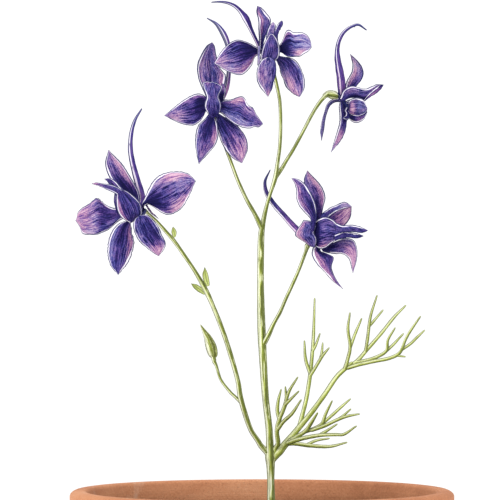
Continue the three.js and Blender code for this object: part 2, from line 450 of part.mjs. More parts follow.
        [-2.9, -3.28, -10.78, -2.15, -3.86, -11.03, -1.38, -3.66, -11.27],
        [-3.4, -4.34, -12.46, -3, -4.77, -12.61, -2.58, -4.67, -12.75],
        [-4.1, -5.45, -14.07, -3.86, -5.6, -14.16, -3.63, -5.75, -14.24],
      ],
      low_l: [
        [-1.97, 1.6, 0.43, -1.59, 1.82, -0.09, -1.23, 1.6, -0.63],
        [-3.55, 2.7, 0.04, -3.15, 2.54, -0.38, -2.77, 1.67, -0.82],
        [-4.71, 3.75, -1.08, -4.34, 3.24, -1.41, -3.98, 1.83, -1.78],
        [-5.29, 4.78, -2.6, -4.93, 3.93, -2.88, -4.6, 2.1, -3.2],
        [-5.77, 5.65, -4.17, -5.38, 4.65, -4.41, -5.02, 2.65, -4.69],
        [-6.17, 6.29, -5.77, -5.72, 5.38, -5.97, -5.29, 3.54, -6.2],
        [-6.44, 6.99, -7.4, -5.95, 6.13, -7.55, -5.49, 4.49, -7.73],
        [-6.36, 7.73, -9.05, -6.06, 6.88, -9.14, -5.78, 5.48, -9.24],
        [-6.32, 8.5, -10.64, -6.09, 7.5, -10.72, -5.85, 6.5, -10.79],
      ],
      hood_n: [
        [0.86, -1.5, -1.06, 0.84, -2.54, -2.37, 0.86, -1.5, -3.59],
        [1.22, -1.59, -0.23, 1.2, -3.31, -2.32, 1.27, -1.59, -4.28],
        [2.03, -1.65, 0.16, 1.95, -3.79, -2.3, 1.98, -1.65, -4.61],
        [2.93, -1.64, 0.3, 2.78, -4, -2.3, 2.77, -1.64, -4.72],
        [3.84, -1.55, 0.2, 3.63, -3.94, -2.33, 3.56, -1.55, -4.67],
        [4.66, -1.37, -0.19, 4.43, -3.6, -2.41, 4.34, -1.37, -4.46],
        [5.26, -1.1, -0.87, 5.08, -2.97, -2.52, 5.02, -1.1, -4.03],
        [5.58, -0.77, -1.72, 5.49, -2.05, -2.59, 5.48, -0.77, -3.37],
        [5.77, -0.4, -2.1, 5.74, -0.4, -2.6, 5.71, -0.4, -3.11],
      ],
      hood_l: [
        [0.81, -1.5, -3.54, 0.79, -2.06, -4.22, 0.81, -1.5, -4.86],
        [1.4, -1.52, -3.8, 1.35, -2.45, -4.74, 1.34, -1.52, -5.61],
        [2, -1.51, -4.05, 2.02, -2.67, -5.13, 2.09, -1.51, -6.13],
        [2.64, -1.46, -4.18, 2.78, -2.74, -5.29, 2.98, -1.46, -6.31],
        [3.29, -1.35, -4.2, 3.54, -2.64, -5.19, 3.87, -1.35, -6.09],
        [3.93, -1.18, -4.11, 4.26, -2.39, -4.89, 4.65, -1.18, -5.58],
        [4.56, -0.96, -3.9, 4.86, -1.97, -4.41, 5.22, -0.96, -4.86],
        [4.95, -0.69, -3.33, 5.23, -1.39, -3.76, 5.56, -0.69, -4.14],
        [5.23, -0.4, -2.62, 5.53, -0.4, -3.03, 5.84, -0.4, -3.43],
      ],
      hood_f: [
        [0.17, -1.7, -1.18, 0.88, -1.66, -1.1, 1.59, -1.7, -1.02],
        [0.28, -1.8, -1.74, 0.97, -1.73, -1.69, 1.67, -1.8, -1.65],
        [0.14, -1.9, -2.29, 0.93, -1.81, -2.28, 1.71, -1.9, -2.29],
        [-0.17, -2, -2.77, 0.77, -1.9, -2.84, 1.71, -2, -2.93],
        [-0.19, -2.1, -3.32, 0.75, -2, -3.44, 1.69, -2.1, -3.56],
        [0.04, -2.2, -3.84, 0.85, -2.11, -4.02, 1.66, -2.2, -4.2],
        [-0.12, -2.3, -4.37, 0.65, -2.22, -4.57, 1.42, -2.3, -4.78],
        [-0.51, -2.4, -4.79, 0.24, -2.35, -5.01, 0.98, -2.4, -5.24],
        [-0.9, -2.5, -5.21, -0.19, -2.5, -5.45, 0.52, -2.5, -5.68],
      ],
    },
    tubes: {
      spur: [
        [-0.77, 0.7, 1.24, 1],
        [-0.97, 0.69, 3.67, 1.13],
        [-1.23, 0.82, 6.09, 1.08],
        [-1.63, 1.05, 8.48, 0.96],
        [-1.99, 1.38, 10.86, 0.81],
        [-2.03, 1.86, 13.24, 0.61],
        [-1.54, 2.38, 15.56, 0.52],
        [-0.43, 2.98, 17.63, 0.48],
        [1.35, 3.65, 19.14, 0.41],
        [3.55, 4.24, 19.89, 0.33],
        [5.53, 4.7, 18.69, 0.18],
      ],
      stamens: [
        [2.52, -0.6, -2.24, 0.42],
        [3, -0.6, -2.51, 0.5],
        [3.68, -0.6, -2.88, 0.6],
        [4.32, -0.5, -3.19, 0.42],
      ],
    },
  },
  e: {
    centre: [13.8, -12, 154.3],
    blades: {
      upper: [
        [-1.3, -3.3, 0.71, -0.95, -3.69, 0.83, -0.59, -3.3, 0.96],
        [-1.21, -2.96, 2.62, -0.67, -3.45, 2.8, -0.11, -2.65, 3],
        [-1.68, -2.58, 4.43, -0.79, -3.09, 4.74, 0.13, -2, 5.07],
        [-3.03, -2.14, 5.78, -1.52, -2.62, 6.46, 0.02, -1.34, 7.15],
        [-4.26, -1.6, 7.24, -2.42, -2.05, 8.19, -0.56, -0.7, 9.16],
        [-4.96, -0.93, 9.02, -3.24, -1.35, 10.01, -1.5, -0.1, 11.03],
        [-4.98, -0.21, 10.93, -3.8, -0.54, 11.86, -2.59, 0.54, 12.81],
        [-5.35, 0.54, 12.82, -4.76, 0.39, 13.48, -4.16, 1.21, 14.16],
        [-6.36, 1.3, 14.36, -6.19, 1.6, 14.55, -6.02, 1.9, 14.74],
      ],
      cap: [
        [-1.54, -2.4, -2.98, -0.96, -2.92, -3.08, -0.37, -2.4, -3.18],
        [-2.46, -2.57, -2.25, -1.25, -3.43, -2.33, -0.02, -2.57, -2.4],
        [-3.43, -2.7, -1.6, -1.64, -3.77, -1.59, 0.17, -2.7, -1.57],
        [-4.41, -2.79, -0.96, -2.21, -3.97, -0.85, 0.02, -2.79, -0.73],
        [-5.27, -2.8, -0.19, -2.83, -3.99, -0.08, -0.36, -2.8, 0.04],
        [-5.05, -2.74, 0.9, -2.77, -3.85, 0.88, -0.46, -2.74, 0.88],
        [-4.44, -2.6, 1.9, -2.32, -3.54, 1.79, -0.17, -2.6, 1.68],
        [-3.77, -2.42, 2.86, -1.96, -3.06, 2.69, -0.12, -2.42, 2.52],
        [-3.13, -2.2, 3.84, -1.77, -2.2, 3.58, -0.41, -2.2, 3.33],
      ],
      lat_l: [
        [0.45, 1.6, 2.02, 0.97, 1.95, 2.28, 1.48, 1.6, 2.53],
        [0.03, 2.46, 3.88, 0.83, 2.88, 4.19, 1.6, 2.15, 4.49],
        [-0.44, 3.26, 5.73, 0.71, 3.69, 6.1, 1.83, 2.69, 6.45],
        [-0.97, 3.98, 7.57, 0.69, 4.37, 7.97, 2.32, 3.18, 8.36],
        [-1.58, 4.55, 9.38, 0.44, 4.9, 9.86, 2.42, 3.65, 10.31],
        [-2.33, 4.94, 11.14, -0.28, 5.27, 11.66, 1.75, 4.12, 12.15],
        [-2.88, 5.25, 12.97, -1.12, 5.5, 13.37, 0.62, 4.5, 13.76],
        [-2.88, 5.49, 14.87, -1.8, 5.58, 15.03, -0.74, 4.82, 15.18],
        [-2.34, 5.7, 16.58, -2.09, 5.4, 16.61, -1.85, 5.1, 16.64],
      ],
      lat_r: [
        [1.98, 2.4, 1.92, 2.58, 2.96, 1.64, 3.17, 2.4, 1.35],
        [1.87, 3.28, 3.38, 3.1, 4.34, 2.7, 4.29, 3.54, 2],
        [2.06, 4.12, 4.83, 3.83, 5.52, 3.41, 5.54, 4.6, 1.97],
        [3.01, 4.86, 5.96, 4.93, 6.48, 3.93, 6.79, 5.53, 1.89],
        [4.19, 5.53, 6.84, 6.03, 7.19, 4.77, 7.81, 6.28, 2.68],
        [5.41, 6.11, 7.69, 7.04, 7.66, 5.69, 8.62, 6.79, 3.68],
        [6.72, 6.54, 8.37, 7.97, 7.87, 6.62, 9.17, 7.17, 4.84],
        [8.13, 6.88, 8.18, 8.75, 7.85, 7.15, 9.33, 7.44, 6.11],
        [9.24, 7.15, 7.6, 9.37, 7.4, 7.38, 9.5, 7.65, 7.17],
      ],
      low_r: [
        [2.01, 1, -3.08, 1.87, 0.44, -3.64, 1.75, 1, -4.21],
        [3.92, 0.97, -2.18, 3.47, -0.17, -3.41, 3.05, 0.55, -4.64],
        [5.87, 0.83, -1.34, 5.1, -0.71, -3.12, 4.39, 0.06, -4.89],
        [7.9, 0.54, -0.88, 6.79, -1.27, -2.94, 5.75, -0.53, -4.99],
        [9.82, 0, -1.61, 8.42, -1.89, -3.35, 7.09, -1.2, -5.08],
        [10.54, -0.84, -3.57, 9.33, -2.6, -4.72, 8.18, -1.94, -5.87],
        [10.54, -1.85, -5.67, 9.61, -3.37, -6.38, 8.73, -2.85, -7.09],
        [10.09, -2.99, -7.73, 9.55, -4.14, -8.07, 9.04, -3.89, -8.41],
        [9.61, -4.2, -9.6, 9.39, -4.6, -9.73, 9.17, -5, -9.86],
      ],
      low_l: [
        [-0.96, -0.8, -3.9, 0.14, -1.23, -4.05, 1.25, -0.8, -4.21],
        [-0.96, -1.86, -5.53, 0.88, -2.42, -5.11, 2.74, -1.55, -4.7],
        [-0.19, -2.85, -6.97, 1.96, -3.46, -6.17, 4.15, -2.28, -5.37],
        [0.83, -3.74, -8.24, 2.56, -4.32, -7.51, 4.32, -2.94, -6.78],
        [1.95, -4.45, -9.43, 2.94, -5, -8.86, 3.98, -3.55, -8.3],
        [3.04, -4.95, -10.65, 3.69, -5.47, -10.22, 4.38, -4.13, -9.81],
        [4.19, -5.34, -11.81, 4.59, -5.75, -11.51, 5.03, -4.59, -11.23],
        [5.47, -5.64, -12.83, 5.66, -5.84, -12.68, 5.88, -4.97, -12.54],
        [6.58, -5.9, -13.95, 6.78, -5.6, -13.81, 6.99, -5.3, -13.67],
      ],
      hood: [
        [0.12, -0.9, -2.98, 0.13, -2.03, 0.18, 0.17, -0.9, 3.34],
        [0.78, -1.26, -3.51, 0.72, -3, 0.25, 0.71, -1.26, 4.03],
        [1.63, -1.59, -3.59, 1.53, -3.75, 0.39, 1.51, -1.59, 4.39],
        [2.45, -1.86, -3.37, 2.36, -4.3, 0.59, 2.37, -1.86, 4.56],
        [3.13, -2.05, -2.85, 3.12, -4.63, 0.74, 3.22, -2.05, 4.35],
        [3.8, -2.15, -2.32, 3.86, -4.74, 0.81, 4.02, -2.15, 3.97],
        [4.54, -2.15, -1.87, 4.57, -4.62, 0.77, 4.72, -2.15, 3.44],
        [5.3, -2.06, -1.46, 5.29, -4.27, 0.69, 5.39, -2.06, 2.86],
        [6.09, -1.89, -1.13, 6.05, -3.7, 0.59, 6.1, -1.89, 2.32],
        [6.94, -1.66, -0.96, 6.9, -2.88, 0.52, 6.92, -1.66, 2.01],
        [7.81, -1.4, -0.87, 7.81, -1.4, 0.54, 7.81, -1.4, 1.95],
      ],
      fork_u: [
        [5.33, -1.9, -0.21, 5.53, -2.12, 1.35, 5.74, -1.9, 2.92],
        [6.23, -2.09, 0.32, 6.37, -2.45, 1.29, 6.53, -2.09, 2.27],
        [7.21, -2.28, 0.65, 7.34, -2.72, 1.44, 7.5, -2.28, 2.24],
        [8.25, -2.46, 0.77, 8.35, -2.95, 1.6, 8.49, -2.46, 2.45],
        [9.29, -2.65, 0.73, 9.38, -3.15, 1.62, 9.49, -2.65, 2.53],
        [10.32, -2.84, 0.59, 10.39, -3.3, 1.47, 10.49, -2.84, 2.35],
        [11.35, -3.03, 0.48, 11.38, -3.42, 1.25, 11.44, -3.03, 2.02],
        [12.38, -3.21, 0.61, 12.36, -3.48, 1.1, 12.36, -3.21, 1.59],
        [13.27, -3.4, 0.95, 13.26, -3.4, 1.14, 13.26, -3.4, 1.34],
      ],
      fork_d: [
        [5.04, -1.3, -1.75, 5.11, -1.52, -0.85, 5.19, -1.3, 0.05],
        [5.86, -1.36, -1.28, 5.96, -1.72, -0.5, 6.07, -1.36, 0.28],
        [6.73, -1.43, -0.92, 6.83, -1.87, -0.23, 6.96, -1.43, 0.47],
        [7.65, -1.49, -0.72, 7.74, -1.98, -0.06, 7.85, -1.49, 0.61],
        [8.59, -1.55, -0.74, 8.66, -2.05, -0.07, 8.76, -1.55, 0.61],
        [9.53, -1.61, -0.88, 9.58, -2.08, -0.18, 9.66, -1.61, 0.51],
        [10.47, -1.68, -0.91, 10.5, -2.07, -0.29, 10.55, -1.68, 0.34],
        [11.39, -1.74, -0.73, 11.39, -2.01, -0.33, 11.41, -1.74, 0.06],
        [12.23, -1.8, -0.51, 12.23, -1.8, -0.31, 12.24, -1.8, -0.11],
      ],
    },
    tubes: {
      spur: [
        [-3.24, -3.05, -0.26, 0.98],
        [-4.87, -0.83, 1.3, 0.87],
        [-6.13, 1.73, 2.65, 0.8],
        [-7.17, 4.45, 3.87, 0.77],
        [-8.19, 7.18, 5.08, 0.74],
        [-9.16, 9.98, 6.17, 0.72],
        [-10.12, 12.78, 7.28, 0.71],
        [-11.29, 15.2, 8.9, 0.67],
        [-12.66, 16.84, 11.21, 0.58],
        [-12.97, 18.07, 14.06, 0.4],
        [-11.74, 18.8, 16.83, 0.16],
      ],
      stamens: [
        [1.33, 0.8, -0.3, 0.5],
        [2.6, -0.1, -0.2, 0.6],
        [3.88, -0.5, 0.05, 0.75],
        [4.91, -0.3, 0.21, 0.55],
      ],
    },
  },
};

const STEMS = {
  main_stem: [
    [2.5, 0, 70.32, 1.05],
    [2.5, 0, 75.78, 1.2],
    [2.44, 0, 80.2, 1.12],
    [2.39, 0, 85.4, 1.02],
    [2.29, 0.2, 90.59, 0.92],
    [2.24, 0.3, 94.22, 1.08],
    [2.13, 0.3, 96.56, 1.3],
    [2.06, 0.3, 98.9, 1.02],
    [1.87, 0.3, 103.59, 0.9],
    [0.89, 0.4, 112.32, 0.88],
    [0.21, 0.6, 123.27, 1],
    [-0.15, 0.8, 130.55, 1.05],
    [-0.36, 0.9, 141.5, 0.88],
    [-0.21, 0.9, 153.91, 0.84],
    [0.26, 0.9, 157.5, 0.66],
    [1.36, 0.9, 162.47, 0.5],
    [2.29, 1, 165.47, 0.48],
    [3.47, 1.2, 169.22, 0.6],
    [4.09, 1.3, 173.21, 0.5],
    [4.67, 1.5, 177.74, 0.47],
    [4.85, 1.4, 184.25, 0.46],
    [4.59, 1.5, 189.46, 0.46],
    [3.76, 1.8, 193.64, 0.46],
    [2.72, 1.9, 197.81, 0.55],
    [2.19, 1.9, 200.15, 0.9],
  ],
  branch_b: [
    [-1.07, 0.1, 158.1, 0.58],
    [-2.03, -0.4, 160.02, 0.55],
    [-4.03, -1.6, 163.53, 0.5],
    [-6.39, -2.7, 168.71, 0.46],
    [-8.15, -3.4, 173.46, 0.44],
    [-9.44, -3.1, 176.94, 0.44],
    [-11, -3, 181.51, 0.46],
    [-11.98, -3.6, 184.18, 0.52],
    [-12.49, -4.3, 186.23, 0.8],
  ],
  branch_a: [
    [-0.31, 0, 99.54, 0.7],
    [-1.04, -0.2, 100.75, 0.7],
    [-2.91, -0.9, 103.69, 0.68],
    [-4.78, -2, 109.14, 0.72],
    [-5.66, -2.7, 112.54, 0.72],
    [-6.26, -3.4, 116.46, 0.64],
    [-8.4, -4.9, 124.14, 0.64],
    [-10.33, -6.2, 129.99, 0.64],
    [-12.79, -7.8, 136.21, 0.62],
    [-14.51, -9, 139.99, 0.72],
    [-17.4, -10.4, 145.1, 0.54],
    [-20.53, -12.1, 149.78, 0.52],
    [-22.67, -13.2, 152.81, 0.56],
    [-24.78, -14.2, 155.22, 0.48],
    [-27.12, -14.9, 157.88, 0.4],
    [-28.91, -15, 159.49, 0.4],
    [-30.06, -15, 160.49, 0.62],
  ],
  branch_d: [
    [5.17, 3, 171.68, 0.5],
    [6.36, 4, 173.74, 0.48],
    [8.12, 5.6, 176.55, 0.46],
    [10.78, 8.6, 181.47, 0.45],
    [12.91, 11, 185.57, 0.46],
    [14.84, 13, 188.75, 0.5],
    [16.56, 14.4, 190.81, 0.56],
    [18, 15.2, 191.68, 0.66],
    [19.22, 15.5, 191.64, 0.8],
  ],
  branch_e: [
    [1.61, -0.6, 128.16, 0.6],
    [3.06, -1.4, 131.32, 0.52],
    [4.66, -2.4, 134.24, 0.48],
    [6.1, -3.6, 137.6, 0.46],
    [8.97, -6.4, 143.99, 0.45],
    [10.61, -9.2, 148.26, 0.45],
    [11.33, -11.2, 150.35, 0.5],
    [11.65, -12.3, 151.53, 0.72],
  ],
  bud_stalk: [
    [-6.81, -1.6, 112.14, 0.42],
    [-8.24, -0.8, 113.46, 0.4],
    [-10.7, 1.2, 116.66, 0.38],
    [-11.91, 3, 120.25, 0.42],
    [-12.41, 3.5, 121.23, 0.55],
  ],
  bud: [
    [-12.62, 4, 122.21, 0.55],
    [-12.68, 4.2, 122.83, 1.1],
    [-12.99, 4.5, 124.13, 1.38],
    [-13.47, 4.9, 125.68, 1.36],
    [-14.2, 5.3, 127.5, 0.98],
    [-15.1, 5.7, 129.12, 0.55],
    [-15.96, 6, 130.63, 0.18],
  ],
};

const BRACTS = {
  bract_top: [
    [-22.74, -14.8, 153.58, -22.44, -14.67, 153.73, -22.13, -14.8, 153.88],
    [-22.89, -14.93, 153.92, -22.47, -14.71, 154.07, -22.04, -14.93, 154.22],
    [-23.04, -15.05, 154.25, -22.5, -14.78, 154.41, -21.94, -15.05, 154.56],
    [-23.16, -15.18, 154.6, -22.54, -14.88, 154.76, -21.91, -15.18, 154.91],
    [-23.21, -15.3, 154.97, -22.61, -15, 155.11, -21.99, -15.3, 155.25],
    [-23.2, -15.43, 155.34, -22.67, -15.15, 155.45, -22.13, -15.43, 155.57],
    [-23.13, -15.55, 155.7, -22.73, -15.32, 155.78, -22.31, -15.55, 155.86],
    [-22.98, -15.68, 156.04, -22.77, -15.51, 156.08, -22.55, -15.68, 156.12],
    [-22.94, -15.8, 156.34, -22.8, -15.8, 156.36, -22.65, -15.8, 156.39],
  ],
  bract_right: [
    [-14.28, -10.6, 141.14, -13.9, -10.38, 141.21, -13.51, -10.6, 141.29],
    [-14.64, -10.78, 141.69, -14.1, -10.42, 141.8, -13.55, -10.78, 141.91],
    [-14.98, -10.95, 142.25, -14.29, -10.5, 142.38, -13.59, -10.95, 142.53],
    [-15.2, -11.12, 142.86, -14.45, -10.63, 143, -13.68, -11.12, 143.14],
    [-15.3, -11.3, 143.51, -14.56, -10.8, 143.63, -13.8, -11.3, 143.75],
    [-15.31, -11.47, 144.16, -14.64, -11.01, 144.25, -13.97, -11.47, 144.34],
    [-15.18, -11.65, 144.8, -14.69, -11.26, 144.86, -14.2, -11.65, 144.92],
    [-14.96, -11.82, 145.42, -14.71, -11.56, 145.45, -14.46, -11.82, 145.48],
    [-14.88, -12, 146.02, -14.73, -12, 146.03, -14.58, -12, 146.05],
  ],
  bract_left: [
    [-15.09, -7.6, 138.89, -14.99, -7.38, 139.41, -14.89, -7.6, 139.92],
    [-15.59, -7.52, 139.14, -15.42, -7.17, 139.71, -15.23, -7.52, 140.29],
    [-16.09, -7.45, 139.38, -15.84, -7, 140.01, -15.59, -7.45, 140.65],
    [-16.56, -7.38, 139.68, -16.28, -6.88, 140.32, -15.98, -7.38, 140.97],
    [-17.01, -7.3, 140.01, -16.71, -6.8, 140.63, -16.4, -7.3, 141.25],
    [-17.42, -7.22, 140.38, -17.15, -6.76, 140.92, -16.86, -7.22, 141.48],
    [-17.79, -7.15, 140.8, -17.57, -6.76, 141.21, -17.34, -7.15, 141.62],
    [-18.08, -7.08, 141.27, -17.97, -6.81, 141.48, -17.85, -7.08, 141.69],
    [-18.42, -7, 141.62, -18.35, -7, 141.75, -18.28, -7, 141.88],
  ],
};

// The leaf's rachis and segments, each running into the one that carries it.
const LEAF = [
  [
    [4.79, 0.2, 98.39, 0.56],
    [4.15, -1.2, 100.12, 0.56],
    [3.86, -2.6, 103.25, 0.56],
    [4.59, -4.6, 106.92, 0.51],
    [5.46, -6, 109.05, 0.47],
    [6.22, -7.6, 111.64, 0.43],
    [6.03, -9.2, 114.59, 0.18],
  ],
  [
    [4.54, -4.4, 106.5, 0.46],
    [3.97, -4.6, 108.63, 0.41],
    [4.18, -5, 111.34, 0.33],
    [4.77, -5.2, 113.75, 0.16],
  ],
  [
    [6.02, -7.2, 110.91, 0.37],
    [6.97, -9.6, 114.09, 0.33],
    [8.88, -12, 117.31, 0.16],
  ],
  [
    [5.92, -7, 110.38, 0.37],
    [6.93, -8.8, 111.54, 0.33],
    [9.11, -11.6, 113.81, 0.16],
  ],
  [
    [4.03, -3, 103.84, 0.43],
    [5.52, -5.4, 106.02, 0.43],
    [7.71, -8.4, 108.25, 0.37],
    [9.78, -11.4, 111.51, 0.16],
  ],
  [
    [4.79, 0.5, 98.27, 0.97],
    [5.73, 0.6, 99.51, 0.92],
    [7.29, 0.9, 101.32, 0.82],
    [9.54, 1.6, 104.05, 0.69],
    [12.57, 2.6, 107.6, 0.61],
    [16.24, 3.4, 112.55, 0.56],
    [19.59, 4, 117.4, 0.53],
    [22.32, 4.4, 119.95, 0.51],
  ],
  [
    [9.54, 1.6, 103.94, 0.51],
    [10.29, 3.4, 106.41, 0.49],
    [11.59, 6.6, 111.33, 0.47],
    [12.64, 10.2, 117.31, 0.45],
    [13.19, 13.4, 122.15, 0.41],
    [13.64, 16.6, 127.64, 0.35],
    [14.04, 21.4, 137.04, 0.16],
  ],
  [
    [12.7, 10.6, 117.82, 0.39],
    [11.5, 11.4, 121.68, 0.35],
    [11.23, 12.6, 125.89, 0.16],
  ],
  [
    [13.39, 14.2, 123.77, 0.31],
    [14.2, 15.6, 125.21, 0.29],
    [15.21, 17.4, 127.81, 0.16],
  ],
  [
    [12.69, 10.2, 117.46, 0.41],
    [14.2, 9.6, 119.85, 0.37],
    [15.87, 8.6, 122.66, 0.33],
    [17.24, 7.8, 124.33, 0.16],
  ],
  [
    [15.3, 9, 121.7, 0.31],
    [15.72, 9.4, 123.53, 0.27],
    [15.92, 9.9, 125.4, 0.16],
  ],
  [
    [21.63, 4.2, 119.43, 0.43],
    [22.23, 3, 121.45, 0.41],
    [22.93, 0.8, 125.08, 0.37],
    [22.31, -1.8, 129.9, 0.31],
    [22.7, -4, 133.62, 0.16],
  ],
  [
    [22.81, 1.2, 124.52, 0.33],
    [24.18, 1.8, 128.36, 0.31],
    [25.74, 2.6, 131.97, 0.16],
  ],
  [
    [22.16, 4.4, 119.79, 0.47],
    [24.73, 5.6, 121.27, 0.45],
    [27.34, 7.4, 124.1, 0.43],
    [31.1, 10.2, 128.23, 0.39],
    [34.91, 13.6, 132.77, 0.33],
    [37.67, 16, 135.42, 0.16],
  ],
  [
    [27.15, 7.2, 123.85, 0.37],
    [27.59, 5.2, 127.17, 0.35],
    [28.29, 2.4, 133.07, 0.29],
    [29.74, 0, 138.05, 0.16],
  ],
  [
    [28.04, 3.6, 130.57, 0.29],
    [29.1, 4.2, 131.76, 0.27],
    [31.33, 6, 134.29, 0.16],
  ],
  [
    [24.54, 5.6, 121.01, 0.41],
    [27.25, 4.4, 121.57, 0.39],
    [30.25, 2.6, 122.66, 0.37],
    [32.44, 1.2, 124.26, 0.35],
    [32.75, 0.4, 126.91, 0.29],
    [34.27, -0.6, 129.66, 0.16],
  ],
  [
    [32.19, 1.4, 123.95, 0.33],
    [34.22, 1.4, 125.82, 0.29],
    [36.42, 1.8, 128.16, 0.16],
  ],
  [
    [22.36, 4.2, 119.59, 0.45],
    [25.27, 1.8, 120.55, 0.43],
    [28.89, -1.6, 121.48, 0.41],
    [33.08, -5.4, 122.47, 0.39],
    [35.57, -8, 123.99, 0.36],
    [36.92, -10.2, 127.34, 0.31],
    [38.08, -12, 129.59, 0.29],
    [40.24, -14.4, 132.92, 0.16],
  ],
  [
    [36.06, -8.6, 124.73, 0.31],
    [38.24, -9.4, 126.29, 0.29],
    [39.82, -9.8, 127.85, 0.27],
    [41.35, -10.2, 129.32, 0.16],
  ],
  [
    [34.57, -7, 123.19, 0.27],
    [36.46, -8.2, 122.94, 0.14],
  ],
  [
    [7.13, 0.4, 100.82, 0.51],
    [9.08, -2, 101.98, 0.49],
    [11.34, -4.8, 103.67, 0.46],
    [12.78, -7, 105.89, 0.41],
    [14.01, -9, 107.96, 0.2],
  ],
  [
    [11.17, -4.4, 103.39, 0.43],
    [13.17, -5.2, 104.1, 0.43],
    [15.43, -6.2, 105.44, 0.41],
    [16.34, -7.2, 107.89, 0.35],
    [17.81, -8.6, 111.01, 0.16],
  ],
  [
    [15.13, -6, 105.17, 0.35],
    [18.26, -4.6, 107.77, 0.33],
    [20.3, -3.6, 109.57, 0.29],
    [22.48, -2.6, 111.4, 0.16],
  ],
  [
    [12.76, -5.2, 103.74, 0.39],
    [15.96, -8.4, 105.02, 0.39],
    [19.54, -11.8, 106.88, 0.35],
    [22, -14, 107.84, 0.29],
    [24.41, -16, 108.37, 0.16],
  ],
  [
    [18.99, -11.2, 106.59, 0.29],
    [20.53, -11.4, 107.58, 0.27],
    [22.32, -11.8, 109.14, 0.16],
  ],
  [
    [6.61, 0.2, 100.16, 0.53],
    [8.83, -2.8, 101.09, 0.51],
    [11.6, -6.8, 102.01, 0.47],
    [15.38, -11.8, 102.87, 0.43],
    [18.88, -16.2, 103.18, 0.37],
    [20.81, -18.6, 103.37, 0.31],
    [23.58, -22, 105.39, 0.16],
  ],
  [
    [14.62, -11, 102.78, 0.33],
    [16.4, -12.2, 103.86, 0.31],
    [18.78, -13.8, 105.48, 0.16],
  ],
  [
    [6.09, 0.6, 99.88, 0.51],
    [8.09, 3, 99.97, 0.49],
    [12.67, 8.6, 99.11, 0.45],
    [17.93, 14.6, 98.59, 0.35],
    [22.19, 19.4, 99.3, 0.16],
  ],
  [
    [11.55, 7.4, 99.32, 0.33],
    [14.23, 11, 100.3, 0.29],
    [17.47, 15.2, 100.62, 0.16],
  ],
];

// ---- geometry helpers ----
const V = (x, y, z) => new THREE.Vector3(x, y, z);

// Closed geometry from vertices and triangles, turned so that its faces point outwards.
function closed(points, tris) {
  let volume = 0;
  for (const [a, b, c] of tris)
    volume += points[a].dot(points[b].clone().cross(points[c])) / 6;
  const index = [];
  for (const [a, b, c] of tris) index.push(a, ...(volume < 0 ? [c, b] : [b, c]));
  const g = new THREE.BufferGeometry();
  g.setAttribute(
    "position",
    new THREE.Float32BufferAttribute(points.flatMap((p) => [p.x, p.y, p.z]), 3),
  );
  g.setIndex(index);
  g.computeVertexNormals();
  return g;
}

// A thin curved blade of even thickness through its control rows.
function blade(rows, thickness, across = BLADE_ACROSS) {
  const n = rows.length,
    m = across + 1;
  const mid = rows.map((r) => {
    const L = V(r[0], r[1], r[2]),
      M = V(r[3], r[4], r[5]),
      R = V(r[6], r[7], r[8]);
    return Array.from({ length: m }, (_, j) => {
      const u = (2 * j) / across - 1;
      return V(0, 0, 0)
        .addScaledVector(L, (u * (u - 1)) / 2)
        .addScaledVector(M, 1 - u * u)
        .addScaledVector(R, (u * (u + 1)) / 2);
    });
  });
  const normal = (i, j) => {
    const along = mid[Math.min(i + 1, n - 1)][j].clone().sub(mid[Math.max(i - 1, 0)][j]);
    const side = mid[i][Math.min(j + 1, m - 1)].clone().sub(mid[i][Math.max(j - 1, 0)]);
    return along.cross(side).normalize();
  };
  const points = [];
  for (const side of [1, -1])
    for (let i = 0; i < n; i++)
      for (let j = 0; j < m; j++)
        points.push(mid[i][j].clone().addScaledVector(normal(i, j), (side * thickness) / 2));
  const at = (side, i, j) => side * n * m + i * m + j;
  const tris = [];
  for (let i = 0; i + 1 < n; i++)
    for (let j = 0; j + 1 < m; j++) {
      tris.push([at(0, i, j), at(0, i, j + 1), at(0, i + 1, j + 1)]);
      tris.push([at(0, i, j), at(0, i + 1, j + 1), at(0, i + 1, j)]);
      tris.push([at(1, i, j), at(1, i + 1, j + 1), at(1, i, j + 1)]);
      tris.push([at(1, i, j), at(1, i + 1, j), at(1, i + 1, j + 1)]);
    }
  const rim = [];
  for (let j = 0; j < m; j++) rim.push([0, j]);
  for (let i = 1; i < n; i++) rim.push([i, m - 1]);
  for (let j = m - 2; j >= 0; j--) rim.push([n - 1, j]);
  for (let i = n - 2; i > 0; i--) rim.push([i, 0]);
  rim.forEach(([i, j], k) => {
    const [p, q] = rim[(k + 1) % rim.length];
    tris.push([at(0, i, j), at(1, i, j), at(1, p, q)]);
    tris.push([at(0, i, j), at(1, p, q), at(0, p, q)]);
  });
  return closed(points, tris);
}

